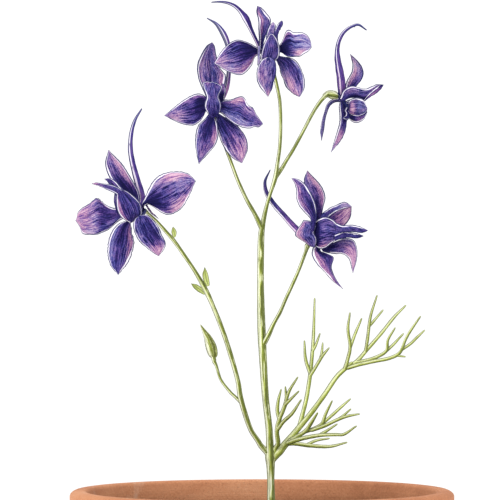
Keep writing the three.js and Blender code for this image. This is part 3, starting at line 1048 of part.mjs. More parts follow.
// A solid round tube of changing radius, closed at both ends by a low cone.
function tube(rows, sides) {
  const c = rows.map((r) => V(r[0], r[1], r[2]));
  const dir = c.map((_, i) =>
    c[Math.min(i + 1, c.length - 1)].clone().sub(c[Math.max(i - 1, 0)]).normalize(),
  );
  let up = Math.abs(dir[0].z) > 0.9 ? V(0, 1, 0) : V(0, 0, 1);
  const points = [];
  rows.forEach((r, i) => {
    up = up.clone().addScaledVector(dir[i], -up.dot(dir[i])).normalize();
    const right = dir[i].clone().cross(up);
    for (let k = 0; k < sides; k++) {
      const a = (2 * Math.PI * k) / sides;
      points.push(
        c[i]
          .clone()
          .addScaledVector(up, r[3] * Math.cos(a))
          .addScaledVector(right, r[3] * Math.sin(a)),
      );
    }
  });
  const last = rows.length - 1;
  const foot = points.push(c[0].clone().addScaledVector(dir[0], -0.3 * rows[0][3])) - 1;
  const tip = points.push(c[last].clone().addScaledVector(dir[last], 0.6 * rows[last][3])) - 1;
  const tris = [];
  for (let k = 0; k < sides; k++) {
    const q = (k + 1) % sides;
    for (let i = 0; i < last; i++) {
      tris.push([i * sides + k, i * sides + q, (i + 1) * sides + q]);
      tris.push([i * sides + k, (i + 1) * sides + q, (i + 1) * sides + k]);
    }
    tris.push([foot, q, k]);
    tris.push([tip, last * sides + k, last * sides + q]);
  }
  return closed(points, tris);
}

function solid(geometry) {
  const g = geometry.index ? geometry.toNonIndexed() : geometry.clone();
  const bare = new THREE.BufferGeometry().setAttribute("position", g.getAttribute("position"));
  const merged = mergeVertices(bare, 1e-3);
  return new wasm.Manifold(
    new wasm.Mesh({
      numProp: 3,
      vertProperties: merged.attributes.position.array,
      triVerts: new Uint32Array(merged.index.array),
    }),
  );
}

function geometryOf(body) {
  const m = body.getMesh();
  const g = new THREE.BufferGeometry();
  g.setAttribute("position", new THREE.Float32BufferAttribute(new Float32Array(m.vertProperties), 3));
  g.setIndex(Array.from(m.triVerts));
  g.computeVertexNormals();
  return g;
}

const joined = (parts) => geometryOf(parts.map(solid).reduce((a, b) => a.add(b)));

// ---- assembly ----
const plant = new THREE.Group();
const add = (group, name, geometry, material) => {
  const mesh = new THREE.Mesh(geometry, material.clone());
  mesh.name = name;
  group.add(mesh);
};

for (const [key, f] of Object.entries(FLOWERS)) {
  const flower = new THREE.Group();
  flower.position.set(...f.centre);
  const b = (name) => blade(f.blades[name], SEPAL_T);
  const name = (piece) => "flower_" + key + "_" + piece;
  // the upper sepal and its spur grew as one organ; flower e shows the swollen throat between them
  const upper = [b("upper"), tube(f.tubes.spur, SPUR_SIDES)];
  if (f.blades.cap) upper.push(b("cap"));
  add(flower, name("upper_sepal"), joined(upper), sepalMat);
  add(flower, name("left_sepal"), b("lat_l"), sepalMat);
  add(flower, name("right_sepal"), b("lat_r"), sepalMat);
  add(flower, name("lower_left_sepal"), b("low_l"), sepalMat);
  add(flower, name("lower_right_sepal"), b("low_r"), sepalMat);
  // the inner petals are fused into one hood, some with a forked tip
  const petals = Object.keys(f.blades).filter((n) => n.startsWith("hood") || n.startsWith("fork"));
  add(flower, name("petals"), petals.length > 1 ? joined(petals.map(b)) : b(petals[0]), petalMat);
  add(flower, name("stamens"), tube(f.tubes.stamens, 6), stamenMat);
  plant.add(flower);
}

for (const n of ["main_stem", "branch_a", "branch_b", "branch_d", "branch_e", "bud_stalk"])
  add(plant, n, tube(STEMS[n], STEM_SIDES), stemMat);
add(plant, "bud", tube(STEMS.bud, STEM_SIDES), budMat);
for (const [n, rows] of Object.entries(BRACTS)) add(plant, n, blade(rows, BRACT_T, 2), leafMat);
add(plant, "leaf", joined(LEAF.map((rows) => tube(rows, LEAF_SIDES))), leafMat);

// The pot: a tapered wall with a collar, a flat floor and one drain hole. The profile runs round the clay, from the hole's lower edge.
const collarZ = POT_HEIGHT - POT_COLLAR_H;
const innerR = (z) => {
  const low = POT_BASE_R - POT_WALL,
    high = POT_MOUTH_R;
  return low + ((high - low) * (z - POT_FLOOR)) / (POT_HEIGHT - POT_FLOOR);
};
const p2 = (x, y) => new THREE.Vector2(x, y);
const potProfile = [
  p2(DRAIN_R, 0),
  p2(POT_BASE_R - 1, 0),
  p2(POT_BASE_R, 1),
  p2(POT_BODY_R, collarZ),
  p2(POT_RIM_R - 1.6, collarZ),
  p2(POT_RIM_R - 0.6, collarZ + 1),
  p2(POT_RIM_R, POT_HEIGHT - 1.5),
  p2(POT_RIM_R - 1.3, POT_HEIGHT),
  p2(POT_MOUTH_R + 0.8, POT_HEIGHT),
  p2(innerR(POT_HEIGHT - 1), POT_HEIGHT - 1),
  p2(innerR(POT_FLOOR + 2), POT_FLOOR + 2),
  p2(innerR(POT_FLOOR) - 2, POT_FLOOR),
  p2(DRAIN_R, POT_FLOOR),
  p2(DRAIN_R, 0),
];
const potGeometry = new THREE.LatheGeometry(potProfile, POT_FACETS);
potGeometry.rotateX(Math.PI / 2);
add(plant, "pot", potGeometry, clayMat);

// The compost fills the pot to below the mouth and has a socket for the foot of the stem.
const cz = POT_FLOOR + FIT_GAP;
const compostProfile = [
  p2(0, cz),
  p2(innerR(POT_FLOOR) - 2.6, cz),
  p2(innerR(POT_FLOOR + 2.4) - 0.5, cz + 2.2),
  p2(innerR(COMPOST_TOP) - 0.5, COMPOST_TOP),
  p2(34, COMPOST_TOP + 0.5 * COMPOST_CROWN),
  p2(14, COMPOST_TOP + COMPOST_CROWN),
  p2(0, COMPOST_TOP + COMPOST_CROWN),
];
const compostGeometry = new THREE.LatheGeometry(compostProfile, 28);
compostGeometry.rotateX(Math.PI / 2);
const socketH = COMPOST_TOP + COMPOST_CROWN + 5 - STEM_HOLE_FLOOR;
const socket = new THREE.CylinderGeometry(STEM_HOLE_R, STEM_HOLE_R, socketH, 12);
socket.rotateX(Math.PI / 2);
socket.translate(STEM_X, 0, STEM_HOLE_FLOOR + socketH / 2);
add(plant, "compost", geometryOf(solid(compostGeometry).subtract(solid(socket))), compostMat);

export default plant;
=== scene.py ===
"""Looks for the potted larkspur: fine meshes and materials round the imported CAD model. Metres, the CAD's own frame."""
import math

import bpy
import numpy as np
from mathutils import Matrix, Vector


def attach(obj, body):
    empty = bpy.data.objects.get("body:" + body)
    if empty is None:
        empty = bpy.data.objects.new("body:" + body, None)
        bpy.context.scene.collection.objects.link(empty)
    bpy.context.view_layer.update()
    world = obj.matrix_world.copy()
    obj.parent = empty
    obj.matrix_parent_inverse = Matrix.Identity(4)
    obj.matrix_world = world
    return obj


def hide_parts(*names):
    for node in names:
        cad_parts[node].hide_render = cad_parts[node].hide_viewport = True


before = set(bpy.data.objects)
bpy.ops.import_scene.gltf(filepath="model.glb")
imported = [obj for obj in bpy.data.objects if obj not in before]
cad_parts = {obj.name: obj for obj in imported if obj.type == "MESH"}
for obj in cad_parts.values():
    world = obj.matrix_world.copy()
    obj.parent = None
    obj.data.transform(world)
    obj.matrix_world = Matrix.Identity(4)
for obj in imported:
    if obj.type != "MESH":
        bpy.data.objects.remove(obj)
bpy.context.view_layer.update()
MM = 0.001

# ------------------------------------------------------------------ control tables, millimetres
# A blade's row holds its left edge, middle and right edge; a tube's row holds its centre and radius.
BLADES = {
    "c_upper": [
     [-0.83, 0.6, 202.43, -0.31, 0.99, 202.58, 0.21, 0.6, 202.69],
     [-0.84, 0.52, 203.25, -0.24, 1.13, 203.47, 0.35, 0.64, 203.63],
     [-0.84, 0.45, 204.07, -0.17, 1.24, 204.35, 0.49, 0.68, 204.56],
     [-0.85, 0.4, 204.89, -0.07, 1.33, 205.23, 0.71, 0.74, 205.48],
     [-0.87, 0.37, 205.71, 0.08, 1.42, 206.09, 1.02, 0.8, 206.37],
     [-0.89, 0.37, 206.54, 0.24, 1.51, 206.95, 1.35, 0.89, 207.26],
     [-0.91, 0.4, 207.36, 0.41, 1.6, 207.8, 1.72, 1, 208.13],
     [-0.94, 0.5, 208.19, 0.58, 1.7, 208.65, 2.09, 1.1, 209],
     [-0.95, 0.64, 209.02, 0.71, 1.8, 209.52, 2.36, 1.22, 209.91],
     [-0.98, 0.82, 209.86, 0.62, 1.91, 210.39, 2.22, 1.36, 210.82],
     [-1.05, 1.02, 210.69, 0.31, 2.02, 211.19, 1.67, 1.53, 211.59],
     [-1.25, 1.24, 211.5, -0.1, 2.13, 211.94, 1.04, 1.73, 212.31],
     [-1.45, 1.48, 212.31, -0.53, 2.23, 212.69, 0.4, 1.94, 213.01],
     [-1.37, 1.74, 213.14, -0.84, 2.3, 213.41, -0.31, 2.17, 213.64],
     [-1.22, 2, 213.95, -1.19, 2.2, 213.98, -1.16, 2.4, 214.01],
    ],
    "c_lat_l": [
     [0.05, -0.2, 201.45, 0.05, -0.5, 202.01, 0.05, -0.2, 202.6],
     [-1.02, -0.47, 201.06, -1.02, -0.76, 202.01, -1.01, -0.2, 203],
     [-1.91, -0.74, 200.37, -1.97, -1, 201.9, -2.04, -0.22, 203.49],
     [-2.33, -1.03, 199.3, -2.68, -1.24, 201.64, -3.03, -0.27, 204.03],
     [-2.72, -1.33, 198.22, -3.4, -1.5, 201.32, -4.08, -0.36, 204.48],
     [-3.4, -1.67, 197.3, -4.27, -1.77, 201.05, -5.14, -0.5, 204.88],
     [-4.2, -2.03, 196.48, -5.23, -2.07, 200.72, -6.26, -0.7, 205.05],
     [-5.16, -2.38, 195.87, -6.25, -2.4, 200.27, -7.35, -1.03, 204.74],
     [-6.28, -2.73, 195.75, -7.3, -2.76, 199.92, -8.33, -1.44, 204.15],
     [-7.38, -3.12, 196.01, -8.3, -3.15, 199.69, -9.23, -1.9, 203.44],
     [-8.43, -3.57, 196.41, -9.23, -3.57, 199.49, -10.04, -2.41, 202.63],
     [-9.47, -4.05, 196.85, -10.1, -4.01, 199.25, -10.75, -2.96, 201.71],
     [-10.44, -4.57, 197.4, -10.9, -4.46, 199.05, -11.37, -3.54, 200.74],
     [-11.38, -5.1, 198, -11.62, -4.89, 198.84, -11.87, -4.14, 199.7],
     [-12.31, -5.65, 198.56, -12.33, -5.2, 198.61, -12.34, -4.75, 198.66],
    ],
    "c_lat_r": [
     [4.03, -0.2, 203.3, 4.03, -0.55, 202.63, 4.03, -0.2, 202],
     [4.72, -0.1, 203.95, 4.69, -0.7, 202.85, 4.67, -0.33, 201.8],
     [5.24, -0.02, 204.75, 5.26, -0.82, 203.12, 5.29, -0.45, 201.56],
     [5.62, 0.05, 205.62, 5.71, -0.93, 203.35, 5.82, -0.59, 201.16],
     [5.96, 0.09, 206.51, 6.16, -1.05, 203.61, 6.38, -0.73, 200.79],
     [6.4, 0.1, 207.35, 6.7, -1.16, 203.93, 7.02, -0.88, 200.61],
     [7.11, 0.07, 207.6, 7.39, -1.29, 204.01, 7.68, -1.06, 200.52],
     [7.9, -0.01, 207.1, 8.12, -1.42, 203.77, 8.35, -1.24, 200.53],
     [8.83, -0.2, 206.91, 8.91, -1.57, 203.7, 9.01, -1.37, 200.57],
     [9.77, -0.41, 207, 9.71, -1.73, 203.76, 9.67, -1.53, 200.6],
     [10.7, -0.66, 206.87, 10.49, -1.9, 203.81, 10.29, -1.73, 200.83],
     [11.52, -0.93, 206.39, 11.17, -2.08, 203.76, 10.83, -1.95, 201.2],
     [12.14, -1.23, 205.67, 11.76, -2.27, 203.57, 11.4, -2.19, 201.53],
     [12.57, -1.54, 204.81, 12.26, -2.44, 203.32, 11.97, -2.45, 201.87],
     [12.76, -1.87, 203.87, 12.58, -2.59, 203.09, 12.41, -2.72, 202.34],
     [12.82, -2.2, 202.94, 12.8, -2.6, 202.89, 12.79, -3, 202.83],
    ],
    "c_low_l": [
     [1.3, -5.7, 200.18, 1.56, -6.05, 200.19, 1.82, -5.7, 200.23],
     [0.59, -5.54, 199.93, 1.54, -5.97, 199.97, 2.51, -5.42, 200.06],
     [-0.14, -5.39, 199.45, 1.51, -5.87, 199.5, 3.17, -5.15, 199.6],
     [-0.67, -5.23, 198.75, 1.43, -5.74, 198.77, 3.53, -4.89, 198.87],
     [-1.06, -5.08, 197.96, 1.29, -5.61, 197.97, 3.65, -4.65, 198.06],
     [-1.3, -4.94, 197.12, 1.16, -5.46, 197.14, 3.63, -4.42, 197.23],
     [-1.41, -4.8, 196.25, 1.09, -5.31, 196.29, 3.59, -4.21, 196.41],
     [-1.4, -4.65, 195.37, 1.04, -5.15, 195.44, 3.49, -4.05, 195.59],
     [-1.3, -4.49, 194.5, 1.01, -4.98, 194.6, 3.32, -3.92, 194.78],
     [-1.07, -4.35, 193.65, 1.02, -4.81, 193.78, 3.11, -3.81, 193.98],
     [-0.69, -4.22, 192.86, 1.1, -4.63, 192.99, 2.89, -3.71, 193.17],
     [-0.2, -4.11, 192.13, 1.22, -4.44, 192.23, 2.65, -3.62, 192.38],
     [0.34, -4, 191.43, 1.34, -4.23, 191.5, 2.35, -3.54, 191.61],
     [0.93, -3.9, 190.77, 1.44, -3.99, 190.81, 1.96, -3.47, 190.87],
     [1.51, -3.8, 190.13, 1.54, -3.6, 190.14, 1.58, -3.4, 190.15],
    ],
    "c_low_r": [
     [3.2, 0.16, 200.85, 3.57, -0.62, 200.94, 3.95, 0.16, 201.11],
     [3.55, 0.35, 199.99, 4.28, -0.76, 200.34, 5.02, 0.35, 200.81],
     [3.9, 0.5, 199.13, 5, -0.85, 199.83, 6.11, 0.5, 200.65],
     [4.27, 0.61, 198.28, 5.73, -0.92, 199.33, 7.21, 0.61, 200.53],
     [4.61, 0.67, 197.41, 6.39, -0.99, 198.64, 8.2, 0.67, 200.03],
     [4.88, 0.69, 196.52, 6.96, -1.07, 197.85, 9.07, 0.69, 199.34],
     [5.15, 0.65, 195.63, 7.45, -1.15, 196.98, 9.8, 0.65, 198.51],
     [5.45, 0.55, 194.74, 7.87, -1.24, 196.06, 10.33, 0.55, 197.53],
     [5.78, 0.39, 193.86, 8.21, -1.35, 195.09, 10.68, 0.39, 196.48],
     [6.22, 0.17, 193.03, 8.55, -1.48, 194.13, 10.92, 0.17, 195.38],
     [6.75, -0.11, 192.25, 8.9, -1.61, 193.2, 11.09, -0.11, 194.28],
     [7.36, -0.44, 191.54, 9.22, -1.74, 192.29, 11.11, -0.44, 193.16],
     [8.08, -0.82, 190.93, 9.46, -1.86, 191.45, 10.87, -0.82, 192.06],
     [8.9, -1.25, 190.5, 9.61, -1.94, 190.76, 10.34, -1.25, 191.07],
     [9.72, -1.8, 190.1, 9.75, -1.8, 190.11, 9.78, -1.8, 190.12],
    ],
    "c_hood": [
     [0.9, -1.9, 199.19, 2.06, -3.03, 199.2, 3.24, -1.9, 199.32],
     [0.28, -2.08, 199.49, 1.99, -3.74, 199.55, 3.71, -2.08, 199.77],
     [-0.28, -2.25, 199.88, 1.93, -4.29, 199.96, 4.16, -2.25, 200.25],
     [-0.39, -2.39, 200.54, 2.02, -4.72, 200.57, 4.44, -2.39, 200.84],
     [-0.25, -2.51, 201.22, 2.14, -5.01, 201.22, 4.57, -2.51, 201.48],
     [-0.11, -2.58, 201.89, 2.24, -5.17, 201.88, 4.61, -2.58, 202.14],
     [0.06, -2.6, 202.56, 2.3, -5.19, 202.55, 4.58, -2.6, 202.8],
     [0.27, -2.58, 203.22, 2.35, -5.07, 203.21, 4.46, -2.58, 203.46],
     [0.52, -2.51, 203.87, 2.39, -4.82, 203.86, 4.29, -2.51, 204.1],
     [0.81, -2.39, 204.51, 2.42, -4.42, 204.51, 4.06, -2.39, 204.73],
     [1.14, -2.25, 205.12, 2.44, -3.89, 205.13, 3.75, -2.25, 205.32],
     [1.52, -2.08, 205.71, 2.44, -3.18, 205.73, 3.36, -2.08, 205.87],
     [1.91, -1.9, 206.3, 2.43, -1.9, 206.35, 2.95, -1.9, 206.4],
    ],
    "c_fork_l": [
     [0.98, -1.1, 204.42, 1.79, -1.23, 204.41, 2.59, -1.1, 204.42],
     [1.02, -1.05, 204.9, 1.87, -1.24, 204.87, 2.73, -1.05, 204.86],
     [1.05, -1, 205.38, 1.96, -1.24, 205.32, 2.87, -1, 205.29],
     [1.09, -0.95, 205.86, 2.04, -1.22, 205.78, 3, -0.95, 205.72],
     [1.15, -0.9, 206.33, 2.14, -1.19, 206.23, 3.13, -0.9, 206.16],
     [1.24, -0.85, 206.81, 2.24, -1.15, 206.69, 3.24, -0.85, 206.61],
     [1.33, -0.8, 207.28, 2.33, -1.1, 207.15, 3.33, -0.8, 207.05],
     [1.47, -0.75, 207.74, 2.43, -1.04, 207.6, 3.4, -0.75, 207.5],
     [1.65, -0.7, 208.18, 2.56, -0.97, 208.05, 3.47, -0.7, 207.95],
     [1.88, -0.65, 208.6, 2.71, -0.88, 208.49, 3.54, -0.65, 208.4],
     [2.16, -0.6, 208.99, 2.83, -0.79, 208.91, 3.51, -0.6, 208.86],
     [2.49, -0.55, 209.34, 2.9, -0.68, 209.29, 3.3, -0.55, 209.26],
     [2.86, -0.5, 209.65, 2.96, -0.5, 209.65, 3.06, -0.5, 209.65],
    ],
    "c_fork_r": [
     [2.47, -0.8, 204.44, 3.33, -0.93, 204.43, 4.21, -0.8, 204.44],
     [2.57, -0.74, 204.96, 3.38, -0.93, 204.92, 4.19, -0.74, 204.91],
     [2.66, -0.68, 205.49, 3.41, -0.92, 205.42, 4.16, -0.68, 205.37],
     [2.77, -0.62, 206.02, 3.46, -0.89, 205.92, 4.15, -0.62, 205.84],
     [2.91, -0.57, 206.54, 3.55, -0.86, 206.41, 4.2, -0.57, 206.31],
     [3.1, -0.51, 207.04, 3.71, -0.81, 206.89, 4.32, -0.51, 206.76],
     [3.32, -0.45, 207.53, 3.91, -0.75, 207.35, 4.5, -0.45, 207.2],
     [3.55, -0.39, 208.02, 4.12, -0.68, 207.8, 4.7, -0.39, 207.62],
     [3.77, -0.33, 208.51, 4.34, -0.6, 208.26, 4.92, -0.33, 208.04],
     [4, -0.28, 208.99, 4.58, -0.51, 208.7, 5.17, -0.28, 208.44],
     [4.3, -0.22, 209.44, 4.84, -0.41, 209.13, 5.39, -0.22, 208.85],
     [4.7, -0.16, 209.79, 5.09, -0.29, 209.54, 5.47, -0.16, 209.31],
     [5.15, -0.1, 210.09, 5.29, -0.1, 209.93, 5.43, -0.1, 209.78],
    ],
    "b_upper": [
     [-13.98, -5.4, 188.93, -12.69, -4.71, 188.96, -11.4, -5.4, 188.93],
     [-14.47, -5.06, 189.88, -12.71, -4.07, 189.93, -11.04, -4.98, 189.92],
     [-14.94, -4.72, 190.85, -12.73, -3.49, 190.91, -10.68, -4.56, 190.9],
     [-15.36, -4.4, 191.83, -12.76, -2.98, 191.88, -10.26, -4.17, 191.87],
     [-15.75, -4.1, 192.83, -12.8, -2.52, 192.86, -9.87, -3.81, 192.84],
     [-16.09, -3.83, 193.85, -12.85, -2.14, 193.83, -9.52, -3.48, 193.82],
     [-16.4, -3.59, 194.87, -12.91, -1.82, 194.79, -9.22, -3.19, 194.83],
     [-16.62, -3.4, 195.92, -13.01, -1.57, 195.75, -9.24, -2.95, 195.87],
     [-16.76, -3.23, 196.97, -13.17, -1.41, 196.7, -9.84, -2.77, 196.71],
     [-16.82, -3.09, 198.04, -13.36, -1.32, 197.64, -10.6, -2.66, 197.42],
     [-16.71, -3, 199.1, -13.53, -1.31, 198.58, -11.22, -2.59, 198.24],
     [-16.38, -2.95, 200.1, -13.63, -1.37, 199.53, -11.56, -2.56, 199.22],
     [-15.92, -2.94, 201.06, -13.61, -1.5, 200.48, -11.79, -2.56, 200.23],
     [-15.39, -2.96, 201.97, -13.49, -1.71, 201.41, -11.99, -2.61, 201.25],
     [-14.75, -3.01, 202.82, -13.32, -1.98, 202.34, -12.15, -2.67, 202.27],
     [-14.03, -3.08, 203.59, -13.14, -2.34, 203.26, -12.28, -2.76, 203.29],
     [-13.12, -3.15, 204.13, -12.97, -3, 204.16, -12.82, -2.85, 204.17],
    ],
    "b_lat_l": [
     [-14.49, -6.4, 186.26, -14.2, -6.75, 187.66, -13.92, -6.4, 189.1],
     [-14.93, -6.37, 185.43, -14.71, -6.74, 187.65, -14.5, -6.12, 189.9],
     [-15.35, -6.34, 184.6, -15.31, -6.71, 187.53, -15.28, -5.87, 190.5],
     [-15.86, -6.34, 183.81, -16.03, -6.68, 187.27, -16.22, -5.66, 190.78],
     [-16.56, -6.37, 183.2, -16.87, -6.68, 186.93, -17.2, -5.5, 190.73],
     [-17.38, -6.44, 182.75, -17.74, -6.7, 186.55, -18.13, -5.41, 190.41],
     [-18.28, -6.57, 182.53, -18.63, -6.78, 186.22, -19.01, -5.39, 189.97],
     [-19.21, -6.7, 182.58, -19.52, -6.9, 186, -19.85, -5.5, 189.47],
     [-20.12, -6.86, 182.79, -20.38, -7.07, 185.82, -20.66, -5.72, 188.9],
     [-21.01, -7.1, 183.04, -21.21, -7.28, 185.64, -21.44, -6.01, 188.3],
     [-21.88, -7.39, 183.36, -22.03, -7.54, 185.49, -22.2, -6.36, 187.68],
     [-22.73, -7.74, 183.74, -22.83, -7.83, 185.37, -22.96, -6.77, 187.05],
     [-23.55, -8.14, 184.15, -23.62, -8.14, 185.26, -23.7, -7.22, 186.4],
     [-24.35, -8.56, 184.6, -24.39, -8.44, 185.16, -24.43, -7.7, 185.74],
     [-25.15, -9, 185.02, -25.16, -8.6, 185.07, -25.17, -8.2, 185.12],
    ],
    "b_lat_r": [
     [-11, -6.2, 188.12, -11, -6.59, 187.01, -11, -6.2, 185.93],
     [-10.39, -6.13, 188.88, -10.33, -6.79, 187.19, -10.29, -6.37, 185.54],
     [-9.51, -6.08, 189.28, -9.59, -6.95, 187.12, -9.67, -6.54, 185.01],
     [-8.55, -6.04, 189.27, -8.84, -7.11, 186.8, -9.13, -6.71, 184.4],
     [-7.6, -6.01, 189.45, -8.06, -7.25, 186.62, -8.53, -6.88, 183.85],
     [-6.69, -6.01, 189.79, -7.29, -7.39, 186.53, -7.89, -7.06, 183.35],
     [-5.76, -6.03, 190.06, -6.49, -7.52, 186.44, -7.22, -7.24, 182.89],
     [-4.83, -6.08, 189.93, -5.67, -7.66, 186.17, -6.51, -7.44, 182.48],
     [-4.23, -6.23, 189.17, -5, -7.8, 185.64, -5.76, -7.58, 182.17],
     [-3.82, -6.41, 188.28, -4.4, -7.93, 185.09, -4.98, -7.71, 181.96],
     [-3.19, -6.62, 187.57, -3.69, -8.07, 184.66, -4.19, -7.86, 181.81],
     [-2.39, -6.84, 187.04, -2.89, -8.21, 184.35, -3.38, -8.02, 181.73],
     [-1.89, -7.08, 186.21, -2.25, -8.35, 184.03, -2.61, -8.21, 181.9],
     [-1.45, -7.34, 185.34, -1.65, -8.48, 183.7, -1.85, -8.41, 182.11],
     [-0.82, -7.6, 184.59, -0.94, -8.59, 183.27, -1.05, -8.61, 181.98],
     [-0.28, -7.87, 183.78, -0.32, -8.67, 183.06, -0.36, -8.83, 182.37],
     [0.23, -8.15, 182.98, 0.23, -8.6, 182.93, 0.23, -9.05, 182.88],
    ],
    "b_low_l": [
     [-13.51, -5.85, 185.92, -13.13, -6.24, 185.64, -12.76, -5.85, 185.4],
     [-14.15, -5.9, 185.09, -13.17, -6.53, 184.77, -12.21, -6.05, 184.49],
     [-14.84, -5.97, 184.29, -13.3, -6.78, 183.88, -11.78, -6.26, 183.52],
     [-15.62, -6.05, 183.59, -13.56, -7.02, 183.02, -11.52, -6.47, 182.49],
     [-16.32, -6.15, 182.82, -13.83, -7.25, 182.1, -11.36, -6.69, 181.44],
     [-16.77, -6.27, 181.87, -14.02, -7.47, 181.1, -11.29, -6.92, 180.38],
     [-17.07, -6.43, 180.87, -14.21, -7.7, 180.06, -11.38, -7.17, 179.32],
     [-17.25, -6.65, 179.83, -14.45, -7.92, 179.04, -11.68, -7.4, 178.3],
     [-17.3, -6.92, 178.78, -14.71, -8.15, 178.04, -12.14, -7.63, 177.34],
     [-17.28, -7.21, 177.72, -15.01, -8.37, 177.09, -12.76, -7.89, 176.49],
     [-17.19, -7.53, 176.67, -15.32, -8.6, 176.17, -13.48, -8.17, 175.71],
     [-17.03, -7.87, 175.63, -15.59, -8.82, 175.26, -14.17, -8.47, 174.92],
     [-16.83, -8.22, 174.6, -15.84, -9.02, 174.35, -14.87, -8.79, 174.12],
     [-16.56, -8.58, 173.58, -16.07, -9.2, 173.45, -15.58, -9.12, 173.34],
     [-16.32, -8.95, 172.57, -16.28, -9.2, 172.55, -16.25, -9.45, 172.54],
    ],
    "b_low_r": [
     [-11.76, -5.45, 185.31, -11.36, -6.27, 185.41, -10.98, -5.45, 185.57],
     [-11.91, -5.25, 184.24, -10.94, -6.41, 184.57, -9.99, -5.25, 184.97],
     [-12.01, -5.09, 183.17, -10.49, -6.51, 183.72, -8.99, -5.09, 184.37],
     [-11.87, -4.97, 182.1, -9.92, -6.59, 182.89, -7.98, -4.97, 183.78],
     [-11.57, -4.91, 181.07, -9.29, -6.67, 182.04, -7.03, -4.91, 183.12],
     [-11.21, -4.9, 180.05, -8.66, -6.75, 181.15, -6.14, -4.9, 182.36],
     [-10.82, -4.96, 179.03, -8.09, -6.85, 180.2, -5.37, -4.96, 181.49],
     [-10.39, -5.08, 178.03, -7.55, -6.97, 179.22, -4.73, -5.08, 180.51],
     [-9.89, -5.27, 177.07, -7.06, -7.11, 178.21, -4.24, -5.27, 179.45],
     [-9.32, -5.53, 176.14, -6.6, -7.26, 177.19, -3.89, -5.53, 178.33],
     [-8.68, -5.85, 175.26, -6.18, -7.43, 176.18, -3.69, -5.85, 177.17],
     [-7.98, -6.23, 174.42, -5.86, -7.6, 175.18, -3.75, -6.23, 176],
     [-7.14, -6.67, 173.74, -5.64, -7.77, 174.29, -4.14, -6.67, 174.9],
     [-6.17, -7.16, 173.25, -5.42, -7.89, 173.53, -4.67, -7.16, 173.85],
     [-5.21, -7.8, 172.78, -5.18, -7.8, 172.79, -5.15, -7.8, 172.8],
    ],
    "b_hood": [
     [-13.54, -7.8, 184.97, -12.5, -8.75, 184.52, -11.48, -7.8, 185.12],
     [-13.93, -8, 185.5, -12.51, -9.35, 185.13, -11.16, -8, 185.6],
     [-14.3, -8.19, 186.05, -12.53, -9.84, 185.74, -10.88, -8.19, 186.1],
     [-14.63, -8.36, 186.62, -12.55, -10.23, 186.36, -10.7, -8.36, 186.65],
     [-14.84, -8.5, 187.24, -12.58, -10.54, 186.98, -10.6, -8.5, 187.21],
     [-14.82, -8.61, 187.9, -12.62, -10.76, 187.59, -10.61, -8.61, 187.79],
     [-14.69, -8.68, 188.56, -12.65, -10.87, 188.22, -10.71, -8.68, 188.36],
     [-14.42, -8.7, 189.16, -12.69, -10.89, 188.84, -10.87, -8.7, 188.91],
     [-14.32, -8.68, 189.81, -12.73, -10.8, 189.48, -11.1, -8.68, 189.44],
     [-14.53, -8.61, 190.45, -12.75, -10.62, 190.11, -11.21, -8.61, 190.01],
     [-14.76, -8.5, 191.08, -12.75, -10.33, 190.75, -11.02, -8.5, 190.56],
     [-14.99, -8.36, 191.71, -12.75, -9.95, 191.4, -10.75, -8.36, 191.08],
     [-15.18, -8.19, 192.36, -12.76, -9.46, 192.05, -10.45, -8.19, 191.58],
     [-15.3, -8, 193.02, -12.79, -8.85, 192.7, -10.24, -8, 192.12],
     [-15.4, -7.8, 193.69, -12.82, -7.8, 193.38, -10.19, -7.8, 192.71],
    ],
    "a_upper": [
     [-33.02, -17.2, 161.64, -32.2, -16.81, 161.78, -31.36, -17.2, 161.9],
     [-33.74, -16.86, 162.62, -32.54, -16.37, 162.86, -31.31, -16.99, 163.1],
     [-34.47, -16.54, 163.59, -32.9, -15.98, 163.95, -31.3, -16.77, 164.29],
     [-35.21, -16.23, 164.55, -33.41, -15.63, 165.02, -31.57, -16.56, 165.46],
     [-36.01, -15.93, 165.46, -34.08, -15.31, 166.01, -32.1, -16.36, 166.54],
     [-36.86, -15.65, 166.33, -34.82, -15.03, 166.96, -32.73, -16.17, 167.56],
     [-37.7, -15.4, 167.2, -35.57, -14.8, 167.9, -33.38, -15.99, 168.58],
     [-38.49, -15.2, 168.12, -36.27, -14.6, 168.88, -33.99, -15.8, 169.61],
     [-39.14, -15.04, 169.14, -36.91, -14.45, 169.91, -34.62, -15.61, 170.64],
     [-39.68, -14.9, 170.23, -37.51, -14.35, 170.95, -35.28, -15.44, 171.65],
     [-40.09, -14.77, 171.36, -38.06, -14.28, 172.01, -35.99, -15.29, 172.62],
     [-40.27, -14.66, 172.55, -38.55, -14.26, 173.05, -36.78, -15.15, 173.53],
     [-40.1, -14.57, 173.75, -38.88, -14.28, 174.07, -37.63, -15.03, 174.38],
     [-39.74, -14.48, 174.9, -39.13, -14.35, 175.06, -38.5, -14.91, 175.2],
     [-39.41, -14.4, 176.04, -39.37, -14.6, 176.05, -39.33, -14.8, 176.05],
    ],
    "a_lat_l": [
     [-33.49, -18.4, 159.08, -33.48, -18.79, 160.09, -33.49, -18.4, 161.12],
     [-34.49, -18.09, 158.74, -34.51, -18.53, 159.89, -34.57, -17.91, 161.05],
     [-35.49, -17.78, 158.41, -35.55, -18.25, 159.69, -35.65, -17.44, 160.98],
     [-36.44, -17.49, 157.97, -36.56, -17.96, 159.47, -36.73, -16.99, 160.99],
     [-37.24, -17.21, 157.3, -37.49, -17.68, 159.2, -37.8, -16.57, 161.11],
     [-37.97, -16.96, 156.54, -38.37, -17.42, 158.98, -38.83, -16.19, 161.43],
     [-38.75, -16.75, 155.84, -39.23, -17.18, 158.9, -39.77, -15.85, 161.97],
     [-39.63, -16.57, 155.27, -40.08, -16.96, 158.95, -40.6, -15.56, 162.64],
     [-40.6, -16.41, 154.88, -40.96, -16.78, 159.12, -41.39, -15.34, 163.38],
